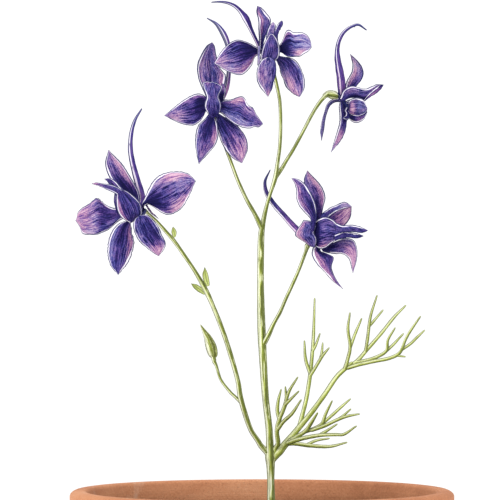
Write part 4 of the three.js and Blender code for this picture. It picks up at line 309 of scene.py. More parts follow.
     [-41.59, -16.25, 154.53, -41.94, -16.62, 159.16, -42.35, -15.22, 163.82],
     [-42.61, -16.14, 154.26, -42.88, -16.5, 158.74, -43.22, -15.15, 163.24],
     [-43.65, -16.07, 154.21, -43.78, -16.41, 158.35, -43.98, -15.12, 162.51],
     [-44.69, -16.04, 154.3, -44.76, -16.35, 158.12, -44.89, -15.14, 161.95],
     [-45.73, -16.05, 154.4, -45.74, -16.3, 157.9, -45.81, -15.19, 161.42],
     [-46.28, -16.1, 155.18, -46.42, -16.27, 157.96, -46.61, -15.27, 160.75],
     [-46.58, -16.17, 156.18, -46.92, -16.24, 158.05, -47.29, -15.39, 159.93],
     [-47.16, -16.25, 157.04, -47.26, -16.19, 157.97, -47.4, -15.51, 158.91],
     [-47.72, -16.35, 157.89, -47.74, -16, 157.92, -47.76, -15.65, 157.96],
    ],
    "a_lat_r": [
     [-30.58, -18.4, 162.29, -30.42, -18.79, 161.93, -30.27, -18.4, 161.58],
     [-30.12, -18.2, 163.55, -29.55, -18.87, 162.76, -29, -18.44, 161.99],
     [-29.65, -18.02, 164.81, -28.73, -18.92, 163.08, -27.83, -18.48, 161.36],
     [-29.09, -17.88, 166.02, -27.88, -18.98, 163.32, -26.71, -18.55, 160.63],
     [-28.38, -17.79, 167.16, -26.95, -19.05, 163.53, -25.56, -18.65, 159.94],
     [-27.55, -17.77, 168.21, -25.91, -19.16, 163.81, -24.31, -18.8, 159.44],
     [-26.56, -17.81, 169.11, -24.75, -19.3, 164.32, -22.98, -19, 159.56],
     [-25.39, -18, 169.77, -23.55, -19.5, 164.92, -21.75, -19.2, 160.1],
     [-24.12, -18.29, 170.22, -22.37, -19.73, 165.53, -20.66, -19.44, 160.88],
     [-22.8, -18.65, 170.47, -21.3, -20.02, 166.18, -19.82, -19.74, 161.93],
     [-21.46, -19.08, 170.49, -20.29, -20.34, 166.77, -19.16, -20.11, 163.09],
     [-20.12, -19.56, 170.29, -19.31, -20.69, 167.27, -18.52, -20.53, 164.27],
     [-18.86, -20.08, 169.84, -18.4, -21.06, 167.65, -17.96, -20.99, 165.48],
     [-17.83, -20.63, 168.98, -17.63, -21.41, 167.84, -17.45, -21.49, 166.72],
     [-16.94, -21.2, 167.99, -16.93, -21.6, 167.95, -16.92, -22, 167.91],
    ],
    "a_low_l": [
     [-34.47, -18.1, 157.91, -33.95, -18.49, 157.8, -33.45, -18.1, 157.7],
     [-35.64, -18.21, 157.57, -34.51, -18.68, 157.1, -33.42, -18.06, 156.64],
     [-36.71, -18.31, 157.01, -35.01, -18.84, 156.28, -33.36, -18.02, 155.57],
     [-37.62, -18.43, 156.2, -35.4, -18.98, 155.35, -33.23, -18.01, 154.51],
     [-38.29, -18.56, 155.19, -35.58, -19.12, 154.34, -32.93, -18.02, 153.49],
     [-38.82, -18.7, 154.09, -35.72, -19.26, 153.27, -32.69, -18.06, 152.45],
     [-39.22, -18.87, 152.94, -35.95, -19.4, 152.16, -32.74, -18.13, 151.39],
     [-39.46, -19.02, 151.75, -36.18, -19.55, 151.05, -32.96, -18.27, 150.35],
     [-39.54, -19.19, 150.53, -36.37, -19.7, 149.93, -33.25, -18.47, 149.32],
     [-39.47, -19.38, 149.32, -36.52, -19.86, 148.82, -33.62, -18.7, 148.33],
     [-39.25, -19.6, 148.12, -36.64, -20.02, 147.75, -34.08, -18.95, 147.37],
     [-38.88, -19.84, 146.95, -36.75, -20.18, 146.72, -34.65, -19.23, 146.48],
     [-38.31, -20.1, 145.88, -36.8, -20.33, 145.77, -35.32, -19.53, 145.66],
     [-37.51, -20.37, 144.96, -36.75, -20.45, 144.91, -36.01, -19.83, 144.86],
     [-36.71, -20.65, 144.06, -36.69, -20.4, 144.06, -36.67, -20.15, 144.05],
    ],
    "a_low_r": [
     [-31.44, -24, 158.88, -31.2, -24.35, 159.02, -30.98, -24, 159.18],
     [-32.22, -23.91, 158.33, -31.08, -24.34, 158.83, -29.97, -23.79, 159.34],
     [-32.67, -23.83, 157.5, -30.81, -24.31, 158.32, -28.98, -23.6, 159.16],
     [-32.79, -23.75, 156.55, -30.44, -24.26, 157.57, -28.13, -23.41, 158.6],
     [-32.68, -23.67, 155.61, -30.05, -24.2, 156.71, -27.47, -23.24, 157.82],
     [-32.4, -23.61, 154.7, -29.62, -24.13, 155.83, -26.89, -23.1, 156.98],
     [-32.01, -23.56, 153.83, -29.17, -24.07, 154.95, -26.38, -22.97, 156.09],
     [-31.52, -23.5, 153.01, -28.68, -24, 154.1, -25.89, -22.9, 155.19],
     [-30.91, -23.44, 152.27, -28.15, -23.93, 153.27, -25.43, -22.87, 154.27],
     [-30.22, -23.4, 151.62, -27.59, -23.86, 152.47, -25, -22.85, 153.33],
     [-29.5, -23.37, 150.99, -27.03, -23.78, 151.69, -24.6, -22.86, 152.39],
     [-28.75, -23.36, 150.4, -26.67, -23.7, 150.89, -24.61, -22.88, 151.37],
     [-27.97, -23.37, 149.85, -26.47, -23.6, 150.14, -24.99, -22.91, 150.42],
     [-27.15, -23.38, 149.36, -26.38, -23.48, 149.49, -25.63, -22.95, 149.62],
     [-26.36, -23.4, 148.87, -26.33, -23.2, 148.88, -26.31, -23, 148.88],
    ],
    "a_hood": [
     [-33.59, -20, 157.33, -33.28, -21.13, 157.42, -33.03, -20, 157.53],
     [-34.24, -20.19, 157.63, -33.23, -21.79, 157.82, -32.32, -20.19, 158.02],
     [-34.86, -20.38, 157.98, -33.17, -22.32, 158.23, -31.6, -20.38, 158.51],
     [-35.44, -20.54, 158.39, -33.1, -22.75, 158.69, -30.91, -20.54, 159.03],
     [-35.96, -20.67, 158.88, -33.2, -23.08, 159.33, -30.6, -20.67, 159.82],
     [-36.39, -20.76, 159.45, -33.42, -23.29, 160.04, -30.6, -20.76, 160.68],
     [-36.73, -20.8, 160.07, -33.68, -23.4, 160.77, -30.78, -20.8, 161.52],
     [-36.98, -20.8, 160.75, -33.98, -23.39, 161.49, -31.14, -20.8, 162.3],
     [-37.11, -20.75, 161.45, -34.29, -23.26, 162.2, -31.64, -20.75, 163],
     [-37.18, -20.64, 162.17, -34.63, -23.02, 162.87, -32.24, -20.64, 163.63],
     [-37.21, -20.5, 162.88, -34.97, -22.66, 163.53, -32.86, -20.5, 164.23],
     [-37.2, -20.31, 163.6, -35.3, -22.19, 164.17, -33.53, -20.31, 164.78],
     [-37.12, -20.09, 164.32, -35.64, -21.59, 164.77, -34.26, -20.09, 165.26],
     [-36.95, -19.85, 165.01, -35.96, -20.86, 165.3, -35.05, -19.85, 165.63],
     [-36.75, -19.6, 165.68, -36.28, -19.6, 165.83, -35.82, -19.6, 165.99],
    ],
    "a_fork_l": [
     [-35.54, -21.2, 162.87, -34.98, -21.33, 163.71, -34.42, -21.2, 164.55],
     [-35.99, -20.96, 163.36, -35.46, -21.14, 164.2, -34.94, -20.96, 165.04],
     [-36.43, -20.71, 163.86, -35.93, -20.94, 164.7, -35.45, -20.71, 165.54],
     [-36.9, -20.47, 164.33, -36.45, -20.73, 165.15, -36.01, -20.47, 165.99],
     [-37.43, -20.23, 164.73, -37.01, -20.51, 165.54, -36.62, -20.23, 166.36],
     [-38.01, -19.99, 165.06, -37.63, -20.28, 165.86, -37.27, -19.99, 166.66],
     [-38.62, -19.74, 165.34, -38.27, -20.04, 166.12, -37.94, -19.74, 166.91],
     [-39.23, -19.5, 165.61, -38.92, -19.8, 166.35, -38.63, -19.5, 167.1],
     [-39.83, -19.26, 165.89, -39.57, -19.55, 166.54, -39.34, -19.26, 167.21],
     [-40.44, -19.01, 166.17, -40.23, -19.29, 166.72, -40.05, -19.01, 167.28],
     [-41.05, -18.77, 166.44, -40.89, -19.02, 166.91, -40.76, -18.77, 167.39],
     [-41.67, -18.53, 166.69, -41.55, -18.75, 167.12, -41.46, -18.53, 167.55],
     [-42.3, -18.29, 166.92, -42.23, -18.46, 167.27, -42.17, -18.29, 167.63],
     [-42.93, -18.04, 167.12, -42.9, -18.16, 167.32, -42.88, -18.04, 167.51],
     [-43.58, -17.8, 167.3, -43.57, -17.8, 167.33, -43.57, -17.8, 167.36],
    ],
    "a_fork_r": [
     [-35.8, -21, 163.48, -35.09, -21.13, 164.12, -34.38, -21, 164.76],
     [-36.16, -20.72, 163.82, -35.45, -20.91, 164.48, -34.76, -20.72, 165.14],
     [-36.51, -20.44, 164.16, -35.82, -20.67, 164.84, -35.15, -20.44, 165.53],
     [-36.86, -20.16, 164.5, -36.19, -20.42, 165.2, -35.53, -20.16, 165.91],
     [-37.21, -19.89, 164.85, -36.55, -20.16, 165.57, -35.9, -19.89, 166.31],
     [-37.54, -19.61, 165.21, -36.89, -19.9, 165.96, -36.26, -19.61, 166.72],
     [-37.86, -19.33, 165.58, -37.22, -19.63, 166.36, -36.6, -19.33, 167.14],
     [-38.17, -19.05, 165.96, -37.55, -19.35, 166.76, -36.95, -19.05, 167.56],
     [-38.48, -18.77, 166.35, -37.9, -19.06, 167.13, -37.35, -18.77, 167.93],
     [-38.77, -18.49, 166.74, -38.27, -18.77, 167.5, -37.78, -18.49, 168.26],
     [-39.06, -18.21, 167.14, -38.64, -18.46, 167.84, -38.25, -18.21, 168.55],
     [-39.34, -17.94, 167.54, -39.04, -18.15, 168.14, -38.76, -17.94, 168.74],
     [-39.67, -17.66, 167.91, -39.48, -17.83, 168.33, -39.3, -17.66, 168.76],
     [-40.02, -17.38, 168.26, -39.93, -17.49, 168.46, -39.84, -17.38, 168.67],
     [-40.39, -17.1, 168.57, -40.38, -17.1, 168.6, -40.37, -17.1, 168.62],
    ],
    "d_upper": [
     [22.03, 16, 191.98, 22.94, 16.39, 192.07, 23.82, 16, 192.14],
     [22.04, 16.6, 192.76, 23.21, 17.08, 192.84, 24.36, 16.45, 192.86],
     [22.06, 17.18, 193.55, 23.49, 17.71, 193.6, 24.89, 16.89, 193.59],
     [22.18, 17.73, 194.32, 23.84, 18.29, 194.34, 25.46, 17.31, 194.29],
     [22.41, 18.24, 195.07, 24.27, 18.8, 195.04, 26.08, 17.7, 194.94],
     [22.73, 18.69, 195.79, 24.68, 19.24, 195.78, 26.58, 18.04, 195.69],
     [23.16, 19.08, 196.44, 25.05, 19.61, 196.52, 26.9, 18.34, 196.53],
     [23.57, 19.38, 197.1, 25.3, 19.9, 197.3, 26.98, 18.62, 197.41],
     [23.84, 19.58, 197.82, 25.34, 20.1, 198.09, 26.79, 18.87, 198.28],
     [24, 19.73, 198.57, 25.25, 20.22, 198.87, 26.45, 19.06, 199.1],
     [24.03, 19.83, 199.33, 25.01, 20.26, 199.62, 25.96, 19.19, 199.84],
     [23.97, 19.88, 200.09, 24.7, 20.23, 200.34, 25.4, 19.27, 200.53],
     [23.81, 19.89, 200.84, 24.31, 20.13, 201.03, 24.79, 19.32, 201.16],
     [23.63, 19.88, 201.58, 23.89, 19.96, 201.68, 24.13, 19.34, 201.75],
     [23.42, 19.85, 202.31, 23.44, 19.6, 202.31, 23.47, 19.35, 202.3],
    ],
    "d_lat_r": [
     [20.69, 12.9, 190.48, 21.08, 12.68, 189.92, 21.48, 12.9, 189.38],
     [20.93, 13.08, 191.42, 21.55, 12.9, 190.67, 22.19, 13.32, 189.94],
     [21.36, 13.38, 192.29, 22.18, 13.24, 191.3, 23.01, 13.84, 190.34],
     [22.04, 13.73, 192.99, 22.96, 13.64, 191.75, 23.91, 14.41, 190.53],
     [22.89, 14.13, 193.48, 23.84, 14.1, 191.99, 24.82, 15, 190.54],
     [23.84, 14.57, 193.7, 24.76, 14.6, 192.02, 25.71, 15.6, 190.39],
     [24.79, 15.04, 193.53, 25.65, 15.13, 191.76, 26.55, 16.23, 190.04],
     [25.73, 15.6, 193.28, 26.57, 15.7, 191.63, 27.44, 16.8, 190.01],
     [26.66, 16.2, 193, 27.42, 16.29, 191.74, 28.21, 17.34, 190.51],
     [27.63, 16.82, 193.06, 28.26, 16.91, 192.07, 28.92, 17.91, 191.11],
     [28.53, 17.45, 193.47, 29.08, 17.55, 192.55, 29.66, 18.48, 191.67],
     [29.44, 18.1, 193.89, 29.9, 18.22, 193.05, 30.39, 19.07, 192.25],
     [30.35, 18.75, 194.28, 30.71, 18.92, 193.56, 31.08, 19.67, 192.87],
     [31.33, 19.42, 194.33, 31.52, 19.66, 193.93, 31.72, 20.28, 193.55],
     [32.3, 20.1, 194.25, 32.33, 20.5, 194.23, 32.36, 20.9, 194.22],
    ],
    "d_lat_l": [
     [22.12, 17.6, 189.82, 22.13, 18.03, 189.04, 22.12, 17.6, 188.23],
     [22.59, 18.15, 190.02, 22.49, 18.71, 188.88, 22.35, 18.06, 187.69],
     [23.06, 18.7, 190.21, 22.84, 19.36, 188.71, 22.59, 18.52, 187.15],
     [23.55, 19.26, 190.34, 23.24, 19.98, 188.51, 22.89, 19.01, 186.63],
     [24.05, 19.84, 190.41, 23.66, 20.6, 188.3, 23.22, 19.51, 186.13],
     [24.55, 20.43, 190.43, 24.1, 21.21, 188.08, 23.59, 20.04, 185.66],
     [25.05, 21.05, 190.39, 24.57, 21.83, 187.86, 24.04, 20.61, 185.27],
     [25.53, 21.68, 190.26, 25.1, 22.45, 187.69, 24.6, 21.22, 185.04],
     [25.98, 22.32, 190.06, 25.63, 23.07, 187.55, 25.22, 21.89, 184.96],
     [26.4, 22.98, 189.8, 26.15, 23.69, 187.46, 25.84, 22.58, 185.06],
     [26.78, 23.68, 189.49, 26.57, 24.32, 187.51, 26.32, 23.3, 185.46],
     [27.07, 24.4, 189.12, 26.88, 24.94, 187.59, 26.65, 24.04, 186.01],
     [27.24, 25.14, 188.68, 27.09, 25.55, 187.66, 26.91, 24.8, 186.6],
     [27.35, 25.89, 188.22, 27.27, 26.12, 187.72, 27.17, 25.57, 187.19],
     [27.48, 26.65, 187.8, 27.47, 26.5, 187.76, 27.46, 26.35, 187.73],
    ],
    "d_low_r": [
     [20.57, 14.8, 189.66, 21.33, 14.58, 189.78, 22.1, 14.8, 189.92],
     [20.35, 14.7, 188.69, 21.33, 14.35, 188.77, 22.34, 14.61, 188.87],
     [20.33, 14.59, 187.71, 21.4, 14.13, 187.74, 22.49, 14.42, 187.8],
     [20.45, 14.45, 186.72, 21.47, 13.9, 186.7, 22.51, 14.2, 186.72],
     [20.51, 14.28, 185.73, 21.5, 13.65, 185.66, 22.5, 13.96, 185.63],
     [20.53, 14.06, 184.73, 21.48, 13.37, 184.63, 22.46, 13.67, 184.55],
     [20.39, 13.78, 183.75, 21.36, 13.06, 183.59, 22.35, 13.34, 183.47],
     [20.13, 13.43, 182.78, 21.14, 12.7, 182.57, 22.17, 12.98, 182.4],
     [19.83, 13, 181.83, 20.84, 12.3, 181.57, 21.87, 12.57, 181.35],
     [19.54, 12.52, 180.86, 20.48, 11.86, 180.59, 21.44, 12.12, 180.35],
     [19.25, 12, 179.9, 20.07, 11.39, 179.64, 20.91, 11.61, 179.4],
     [18.95, 11.43, 178.94, 19.62, 10.88, 178.71, 20.3, 11.06, 178.49],
     [18.67, 10.82, 177.98, 19.13, 10.36, 177.81, 19.6, 10.48, 177.66],
     [18.4, 10.19, 177.01, 18.63, 9.84, 176.93, 18.86, 9.87, 176.85],
     [18.11, 9.55, 176.05, 18.14, 9.4, 176.04, 18.17, 9.25, 176.03],
    ],
    "d_low_l": [
     [20.03, 16.6, 190.63, 20.41, 16.82, 190.11, 20.77, 16.6, 189.57],
     [19.11, 17.24, 190.46, 19.5, 17.24, 190, 19.88, 16.63, 189.51],
     [18.25, 17.85, 190.12, 18.65, 17.64, 189.72, 19.02, 16.69, 189.29],
     [17.57, 18.46, 189.49, 17.95, 18.04, 189.14, 18.31, 16.77, 188.76],
     [17.08, 19.05, 188.71, 17.45, 18.44, 188.39, 17.8, 16.9, 188.03],
     [16.78, 19.64, 187.82, 17.14, 18.83, 187.53, 17.48, 17.06, 187.21],
     [16.5, 20.22, 186.93, 16.86, 19.24, 186.67, 17.2, 17.26, 186.36],
     [16.23, 20.65, 186.03, 16.62, 19.65, 185.79, 16.98, 17.65, 185.51],
     [15.99, 21.01, 185.12, 16.41, 20.06, 184.9, 16.81, 18.15, 184.65],
     [15.79, 21.39, 184.2, 16.24, 20.49, 184, 16.68, 18.68, 183.78],
     [15.62, 21.79, 183.27, 16.1, 20.92, 183.1, 16.57, 19.22, 182.91],
     [15.54, 22.2, 182.33, 16, 21.35, 182.19, 16.44, 19.77, 182.04],
     [15.61, 22.63, 181.38, 15.94, 21.77, 181.29, 16.27, 20.34, 181.18],
     [15.77, 23.06, 180.45, 15.93, 22.18, 180.39, 16.08, 20.92, 180.32],
     [15.9, 23.5, 179.52, 15.91, 22.5, 179.48, 15.93, 21.5, 179.45],
    ],
    "d_hood_n": [
     [22.86, 13.5, 189.14, 22.84, 12.46, 187.83, 22.86, 13.5, 186.61],
     [23.03, 13.45, 189.63, 23.02, 11.97, 187.86, 23.08, 13.45, 186.2],
     [23.32, 13.4, 190.05, 23.29, 11.6, 187.88, 23.36, 13.4, 185.85],
     [23.78, 13.36, 190.29, 23.72, 11.32, 187.89, 23.76, 13.36, 185.65],
     [24.28, 13.35, 190.42, 24.18, 11.12, 187.9, 24.2, 13.35, 185.54],
     [24.8, 13.35, 190.5, 24.66, 11.01, 187.9, 24.65, 13.35, 185.48],
     [25.32, 13.39, 190.49, 25.15, 10.99, 187.9, 25.11, 13.39, 185.48],
     [25.84, 13.45, 190.4, 25.63, 11.06, 187.87, 25.56, 13.45, 185.53],
     [26.33, 13.54, 190.22, 26.1, 11.22, 187.83, 26.01, 13.54, 185.62],
     [26.76, 13.67, 189.93, 26.54, 11.48, 187.78, 26.44, 13.67, 185.79],
     [27.11, 13.82, 189.54, 26.91, 11.82, 187.71, 26.84, 13.82, 186.03],
     [27.38, 13.99, 189.1, 27.23, 12.26, 187.65, 27.18, 13.99, 186.33],
     [27.55, 14.18, 188.61, 27.45, 12.79, 187.61, 27.43, 14.18, 186.72],
     [27.65, 14.39, 188.14, 27.59, 13.46, 187.6, 27.59, 14.39, 187.12],
     [27.77, 14.6, 188.1, 27.74, 14.6, 187.6, 27.72, 14.6, 187.09],
    ],
    "d_hood_l": [
     [22.81, 13.5, 186.66, 22.79, 12.94, 185.98, 22.81, 13.5, 185.34],
     [23.15, 13.49, 186.51, 23.11, 12.69, 185.68, 23.11, 13.49, 184.91],
     [23.49, 13.48, 186.36, 23.43, 12.51, 185.39, 23.43, 13.48, 184.49],
     [23.83, 13.49, 186.22, 23.81, 12.38, 185.16, 23.86, 13.49, 184.19],
     [24.18, 13.5, 186.1, 24.23, 12.3, 185, 24.34, 13.5, 183.98],
     [24.55, 13.53, 186.04, 24.66, 12.26, 184.92, 24.85, 13.53, 183.89],
     [24.92, 13.58, 186, 25.11, 12.28, 184.93, 25.37, 13.58, 183.95],
     [25.29, 13.65, 186, 25.54, 12.36, 185.01, 25.87, 13.65, 184.11],
     [25.66, 13.74, 186.04, 25.96, 12.48, 185.16, 26.34, 13.74, 184.37],
     [26.03, 13.85, 186.12, 26.35, 12.66, 185.37, 26.75, 13.85, 184.71],
     [26.38, 13.97, 186.23, 26.7, 12.89, 185.63, 27.09, 13.97, 185.11],
     [26.72, 14.11, 186.4, 26.99, 13.18, 185.96, 27.32, 14.11, 185.58],
     [26.91, 14.27, 186.77, 27.19, 13.52, 186.34, 27.52, 14.27, 185.96],
     [27.07, 14.43, 187.18, 27.35, 13.93, 186.75, 27.67, 14.43, 186.36],
     [27.23, 14.6, 187.58, 27.53, 14.6, 187.17, 27.83, 14.6, 186.76],
    ],
    "d_hood_f": [
     [22.17, 13.3, 189.02, 22.88, 13.34, 189.1, 23.59, 13.3, 189.18],
     [22.23, 13.24, 188.7, 22.94, 13.3, 188.76, 23.64, 13.24, 188.82],
     [22.28, 13.19, 188.38, 22.98, 13.26, 188.42, 23.67, 13.19, 188.46],
     [22.22, 13.13, 188.06, 22.96, 13.21, 188.08, 23.7, 13.13, 188.09],
     [22.05, 13.07, 187.78, 22.88, 13.16, 187.76, 23.71, 13.07, 187.73],
     [21.87, 13.01, 187.5, 22.79, 13.11, 187.44, 23.71, 13.01, 187.36],
     [21.75, 12.96, 187.2, 22.73, 13.06, 187.1, 23.7, 12.96, 187],
     [21.81, 12.9, 186.88, 22.75, 13, 186.76, 23.69, 12.9, 186.64],
     [21.95, 12.84, 186.59, 22.82, 12.94, 186.44, 23.68, 12.84, 186.27],
     [22.05, 12.79, 186.28, 22.85, 12.88, 186.1, 23.65, 12.79, 185.91],
     [21.97, 12.73, 185.97, 22.75, 12.81, 185.77, 23.52, 12.73, 185.57],
     [21.78, 12.67, 185.7, 22.54, 12.74, 185.49, 23.31, 12.67, 185.28],
     [21.55, 12.61, 185.47, 22.3, 12.67, 185.25, 23.05, 12.61, 185.02],
     [21.32, 12.56, 185.24, 22.05, 12.6, 185.01, 22.78, 12.56, 184.77],
     [21.1, 12.5, 184.99, 21.81, 12.5, 184.75, 22.52, 12.5, 184.52],
    ],
    "e_upper": [
     [12.5, -15.3, 155.01, 12.85, -15.69, 155.13, 13.21, -15.3, 155.26],
     [12.54, -15.11, 156.1, 13.01, -15.57, 156.26, 13.49, -14.93, 156.42],
     [12.59, -14.91, 157.19, 13.16, -15.4, 157.39, 13.75, -14.56, 157.59],
     [12.4, -14.69, 158.26, 13.13, -15.2, 158.51, 13.89, -14.18, 158.77],
     [11.75, -14.46, 159.13, 12.83, -14.97, 159.54, 13.94, -13.81, 159.97],
     [10.96, -14.21, 159.88, 12.4, -14.7, 160.51, 13.86, -13.43, 161.16],
     [10.23, -13.94, 160.69, 11.91, -14.39, 161.5, 13.62, -13.05, 162.33],
     [9.54, -13.6, 161.54, 11.38, -14.05, 162.49, 13.24, -12.7, 163.46],
     [9.07, -13.22, 162.53, 10.89, -13.66, 163.52, 12.74, -12.36, 164.54],
     [8.79, -12.83, 163.59, 10.46, -13.24, 164.57, 12.16, -12.01, 165.59],
     [8.79, -12.42, 164.68, 10.16, -12.78, 165.64, 11.55, -11.65, 166.62],
     [8.77, -12, 165.78, 9.79, -12.29, 166.66, 10.83, -11.27, 167.56],
     [8.54, -11.57, 166.85, 9.21, -11.75, 167.57, 9.89, -10.89, 168.31],
     [8.13, -11.14, 167.88, 8.46, -11.16, 168.31, 8.8, -10.5, 168.76],
     [7.59, -10.7, 168.82, 7.61, -10.4, 168.85, 7.63, -10.1, 168.88],
    ],
    "e_cap": [
     [12.26, -14.4, 151.32, 12.84, -14.92, 151.22, 13.43, -14.4, 151.12],
     [11.7, -14.5, 151.74, 12.67, -15.23, 151.65, 13.66, -14.5, 151.56],
     [11.21, -14.59, 152.15, 12.5, -15.49, 152.08, 13.83, -14.59, 152.01],
     [10.66, -14.67, 152.53, 12.29, -15.69, 152.51, 13.96, -14.67, 152.49],
     [10.08, -14.73, 152.87, 12, -15.85, 152.92, 13.95, -14.73, 152.98],
     [9.53, -14.78, 153.25, 11.67, -15.95, 153.35, 13.85, -14.78, 153.46],
     [8.99, -14.8, 153.64, 11.32, -16, 153.77, 13.68, -14.8, 153.92],
     [8.53, -14.8, 154.11, 10.97, -15.99, 154.22, 13.44, -14.8, 154.34],
     [8.53, -14.77, 154.75, 10.9, -15.93, 154.78, 13.31, -14.77, 154.81],
     [8.83, -14.72, 155.35, 11.08, -15.82, 155.32, 13.36, -14.72, 155.3],
     [9.17, -14.65, 155.92, 11.33, -15.65, 155.84, 13.52, -14.65, 155.76],
     [9.56, -14.55, 156.47, 11.62, -15.42, 156.34, 13.71, -14.55, 156.21],
     [9.94, -14.45, 157.02, 11.81, -15.14, 156.86, 13.71, -14.45, 156.7],
     [10.3, -14.33, 157.58, 11.92, -14.79, 157.37, 13.55, -14.33, 157.17],
     [10.67, -14.2, 158.14, 12.03, -14.2, 157.88, 13.39, -14.2, 157.63],
    ],
    "e_lat_l": [
     [14.25, -10.4, 156.32, 14.77, -10.05, 156.58, 15.28, -10.4, 156.83],
     [14.01, -9.9, 157.38, 14.69, -9.5, 157.67, 15.35, -10.09, 157.95],
     [13.77, -9.42, 158.44, 14.6, -9, 158.76, 15.42, -9.77, 159.07],
     [13.5, -8.96, 159.5, 14.53, -8.53, 159.86, 15.53, -9.46, 160.19],
     [13.21, -8.52, 160.56, 14.5, -8.1, 160.93, 15.76, -9.17, 161.3],
     [12.91, -8.12, 161.61, 14.49, -7.72, 162, 16.05, -8.89, 162.38],
     [12.58, -7.74, 162.65, 14.44, -7.39, 163.08, 16.26, -8.63, 163.49],
     [12.22, -7.45, 163.68, 14.24, -7.1, 164.16, 16.22, -8.35, 164.61],
     [11.8, -7.22, 164.69, 13.86, -6.87, 165.2, 15.9, -8.07, 165.69],
     [11.36, -7.01, 165.69, 13.4, -6.69, 166.21, 15.41, -7.82, 166.7],
     [11.02, -6.83, 166.73, 12.92, -6.55, 167.19, 14.79, -7.6, 167.63],
     [10.85, -6.68, 167.81, 12.45, -6.46, 168.15, 14.03, -7.4, 168.46],
     [10.86, -6.54, 168.9, 12.06, -6.42, 169.1, 13.25, -7.23, 169.27],
     [11.22, -6.42, 169.93, 11.85, -6.43, 170.02, 12.48, -7.06, 170.09],
     [11.68, -6.3, 170.91, 11.71, -6.6, 170.91, 11.73, -6.9, 170.91],
    ],
    "e_lat_r": [
     [15.78, -9.6, 156.22, 16.38, -9.04, 155.94, 16.97, -9.6, 155.65],
     [15.73, -9.1, 157.06, 16.68, -8.22, 156.55, 17.6, -8.94, 156.03],
     [15.66, -8.6, 157.89, 16.98, -7.48, 157.14, 18.26, -8.31, 156.37],
     [15.72, -8.12, 158.73, 17.38, -6.8, 157.57, 18.99, -7.69, 156.39],
     [16.08, -7.66, 159.49, 17.91, -6.19, 157.83, 19.69, -7.12, 156.15],
     [16.65, -7.24, 160.12, 18.56, -5.65, 158.13, 20.42, -6.59, 156.12],
     [17.3, -6.85, 160.65, 19.21, -5.18, 158.58, 21.06, -6.11, 156.49],
     [17.99, -6.47, 161.14, 19.83, -4.81, 159.07, 21.61, -5.72, 156.98],
     [18.69, -6.13, 161.63, 20.42, -4.51, 159.59, 22.1, -5.41, 157.53],
     [19.39, -5.82, 162.1, 20.98, -4.3, 160.13, 22.52, -5.15, 158.13],
     [20.12, -5.57, 162.52, 21.51, -4.17, 160.67, 22.85, -4.93, 158.79],
     [20.93, -5.35, 162.76, 22.01, -4.11, 161.14, 23.05, -4.74, 159.49],
     [21.74, -5.17, 162.58, 22.45, -4.13, 161.41, 23.12, -4.59, 160.22],
     [22.46, -5, 162.14, 22.81, -4.23, 161.55, 23.14, -4.47, 160.95],
     [23.15, -4.85, 161.71, 23.17, -4.6, 161.68, 23.2, -4.35, 161.66],
    ],
    "e_low_r": [
     [15.81, -11, 151.22, 15.67, -11.56, 150.66, 15.55, -11, 150.09],
     [16.9, -11.01, 151.74, 16.58, -11.93, 150.79, 16.29, -11.25, 149.84],
     [18, -11.05, 152.24, 17.5, -12.25, 150.93, 17.04, -11.51, 149.61],
     [19.11, -11.12, 152.71, 18.43, -12.56, 151.09, 17.8, -11.79, 149.46],
     [20.23, -11.23, 153.18, 19.37, -12.87, 151.27, 18.58, -12.09, 149.37],
     [21.4, -11.4, 153.43, 20.34, -13.19, 151.37, 19.35, -12.44, 149.31],
     [22.59, -11.64, 153.27, 21.33, -13.53, 151.3, 20.13, -12.82, 149.33],
     [23.62, -12, 152.69, 22.22, -13.89, 150.95, 20.89, -13.2, 149.22],
     [24.14, -12.46, 151.61, 22.82, -14.29, 150.22, 21.56, -13.6, 148.83],
     [24.39, -12.98, 150.43, 23.21, -14.71, 149.36, 22.11, -14.06, 148.28],
     [24.41, -13.55, 149.23, 23.4, -15.14, 148.41, 22.45, -14.58, 147.59],
     [24.23, -14.17, 148.03, 23.4, -15.59, 147.43, 22.61, -15.14, 146.83],
     [23.98, -14.82, 146.86, 23.36, -16.03, 146.47, 22.79, -15.74, 146.07],
     [23.6, -15.5, 145.71, 23.28, -16.44, 145.52, 22.99, -16.36, 145.32],
     [23.23, -16.2, 144.59, 23.19, -16.6, 144.57, 23.15, -17, 144.56],
    ],
    "e_low_l": [
     [12.84, -12.8, 150.4, 13.94, -13.23, 150.25, 15.05, -12.8, 150.09],
     [12.74, -13.41, 149.46, 14.31, -13.93, 149.64, 15.9, -13.23, 149.82],
     [12.92, -14.01, 148.55, 14.82, -14.58, 149.04, 16.74, -13.66, 149.52],
     [13.36, -14.58, 147.73, 15.44, -15.18, 148.44, 17.56, -14.07, 149.15],
     [13.88, -15.12, 146.95, 16.04, -15.72, 147.78, 18.25, -14.47, 148.61],
     [14.47, -15.62, 146.23, 16.32, -16.21, 146.99, 18.2, -14.85, 147.73],
     [15.11, -16.08, 145.55, 16.48, -16.64, 146.22, 17.89, -15.19, 146.89],
     [15.75, -16.45, 144.87, 16.74, -17, 145.44, 17.78, -15.55, 146],
     [16.37, -16.75, 144.17, 17.14, -17.29, 144.65, 17.96, -15.89, 145.13],
     [16.99, -17.01, 143.48, 17.61, -17.52, 143.89, 18.26, -16.2, 144.29],
     [17.65, -17.24, 142.81, 18.12, -17.69, 143.15, 18.63, -16.47, 143.47],
     [18.34, -17.43, 142.19, 18.68, -17.79, 142.44, 19.06, -16.71, 142.69],
     [19.08, -17.6, 141.61, 19.3, -17.84, 141.78, 19.55, -16.92, 141.94],
     [19.83, -17.76, 141.06, 19.95, -17.82, 141.14, 20.08, -17.11, 141.22],
     [20.55, -17.9, 140.47, 20.58, -17.6, 140.49, 20.62, -17.3, 140.51],
    ],
    "e_hood": [
     [13.23, -12.9, 151.53, 13.24, -14.03, 154.45, 13.28, -12.9, 157.38],
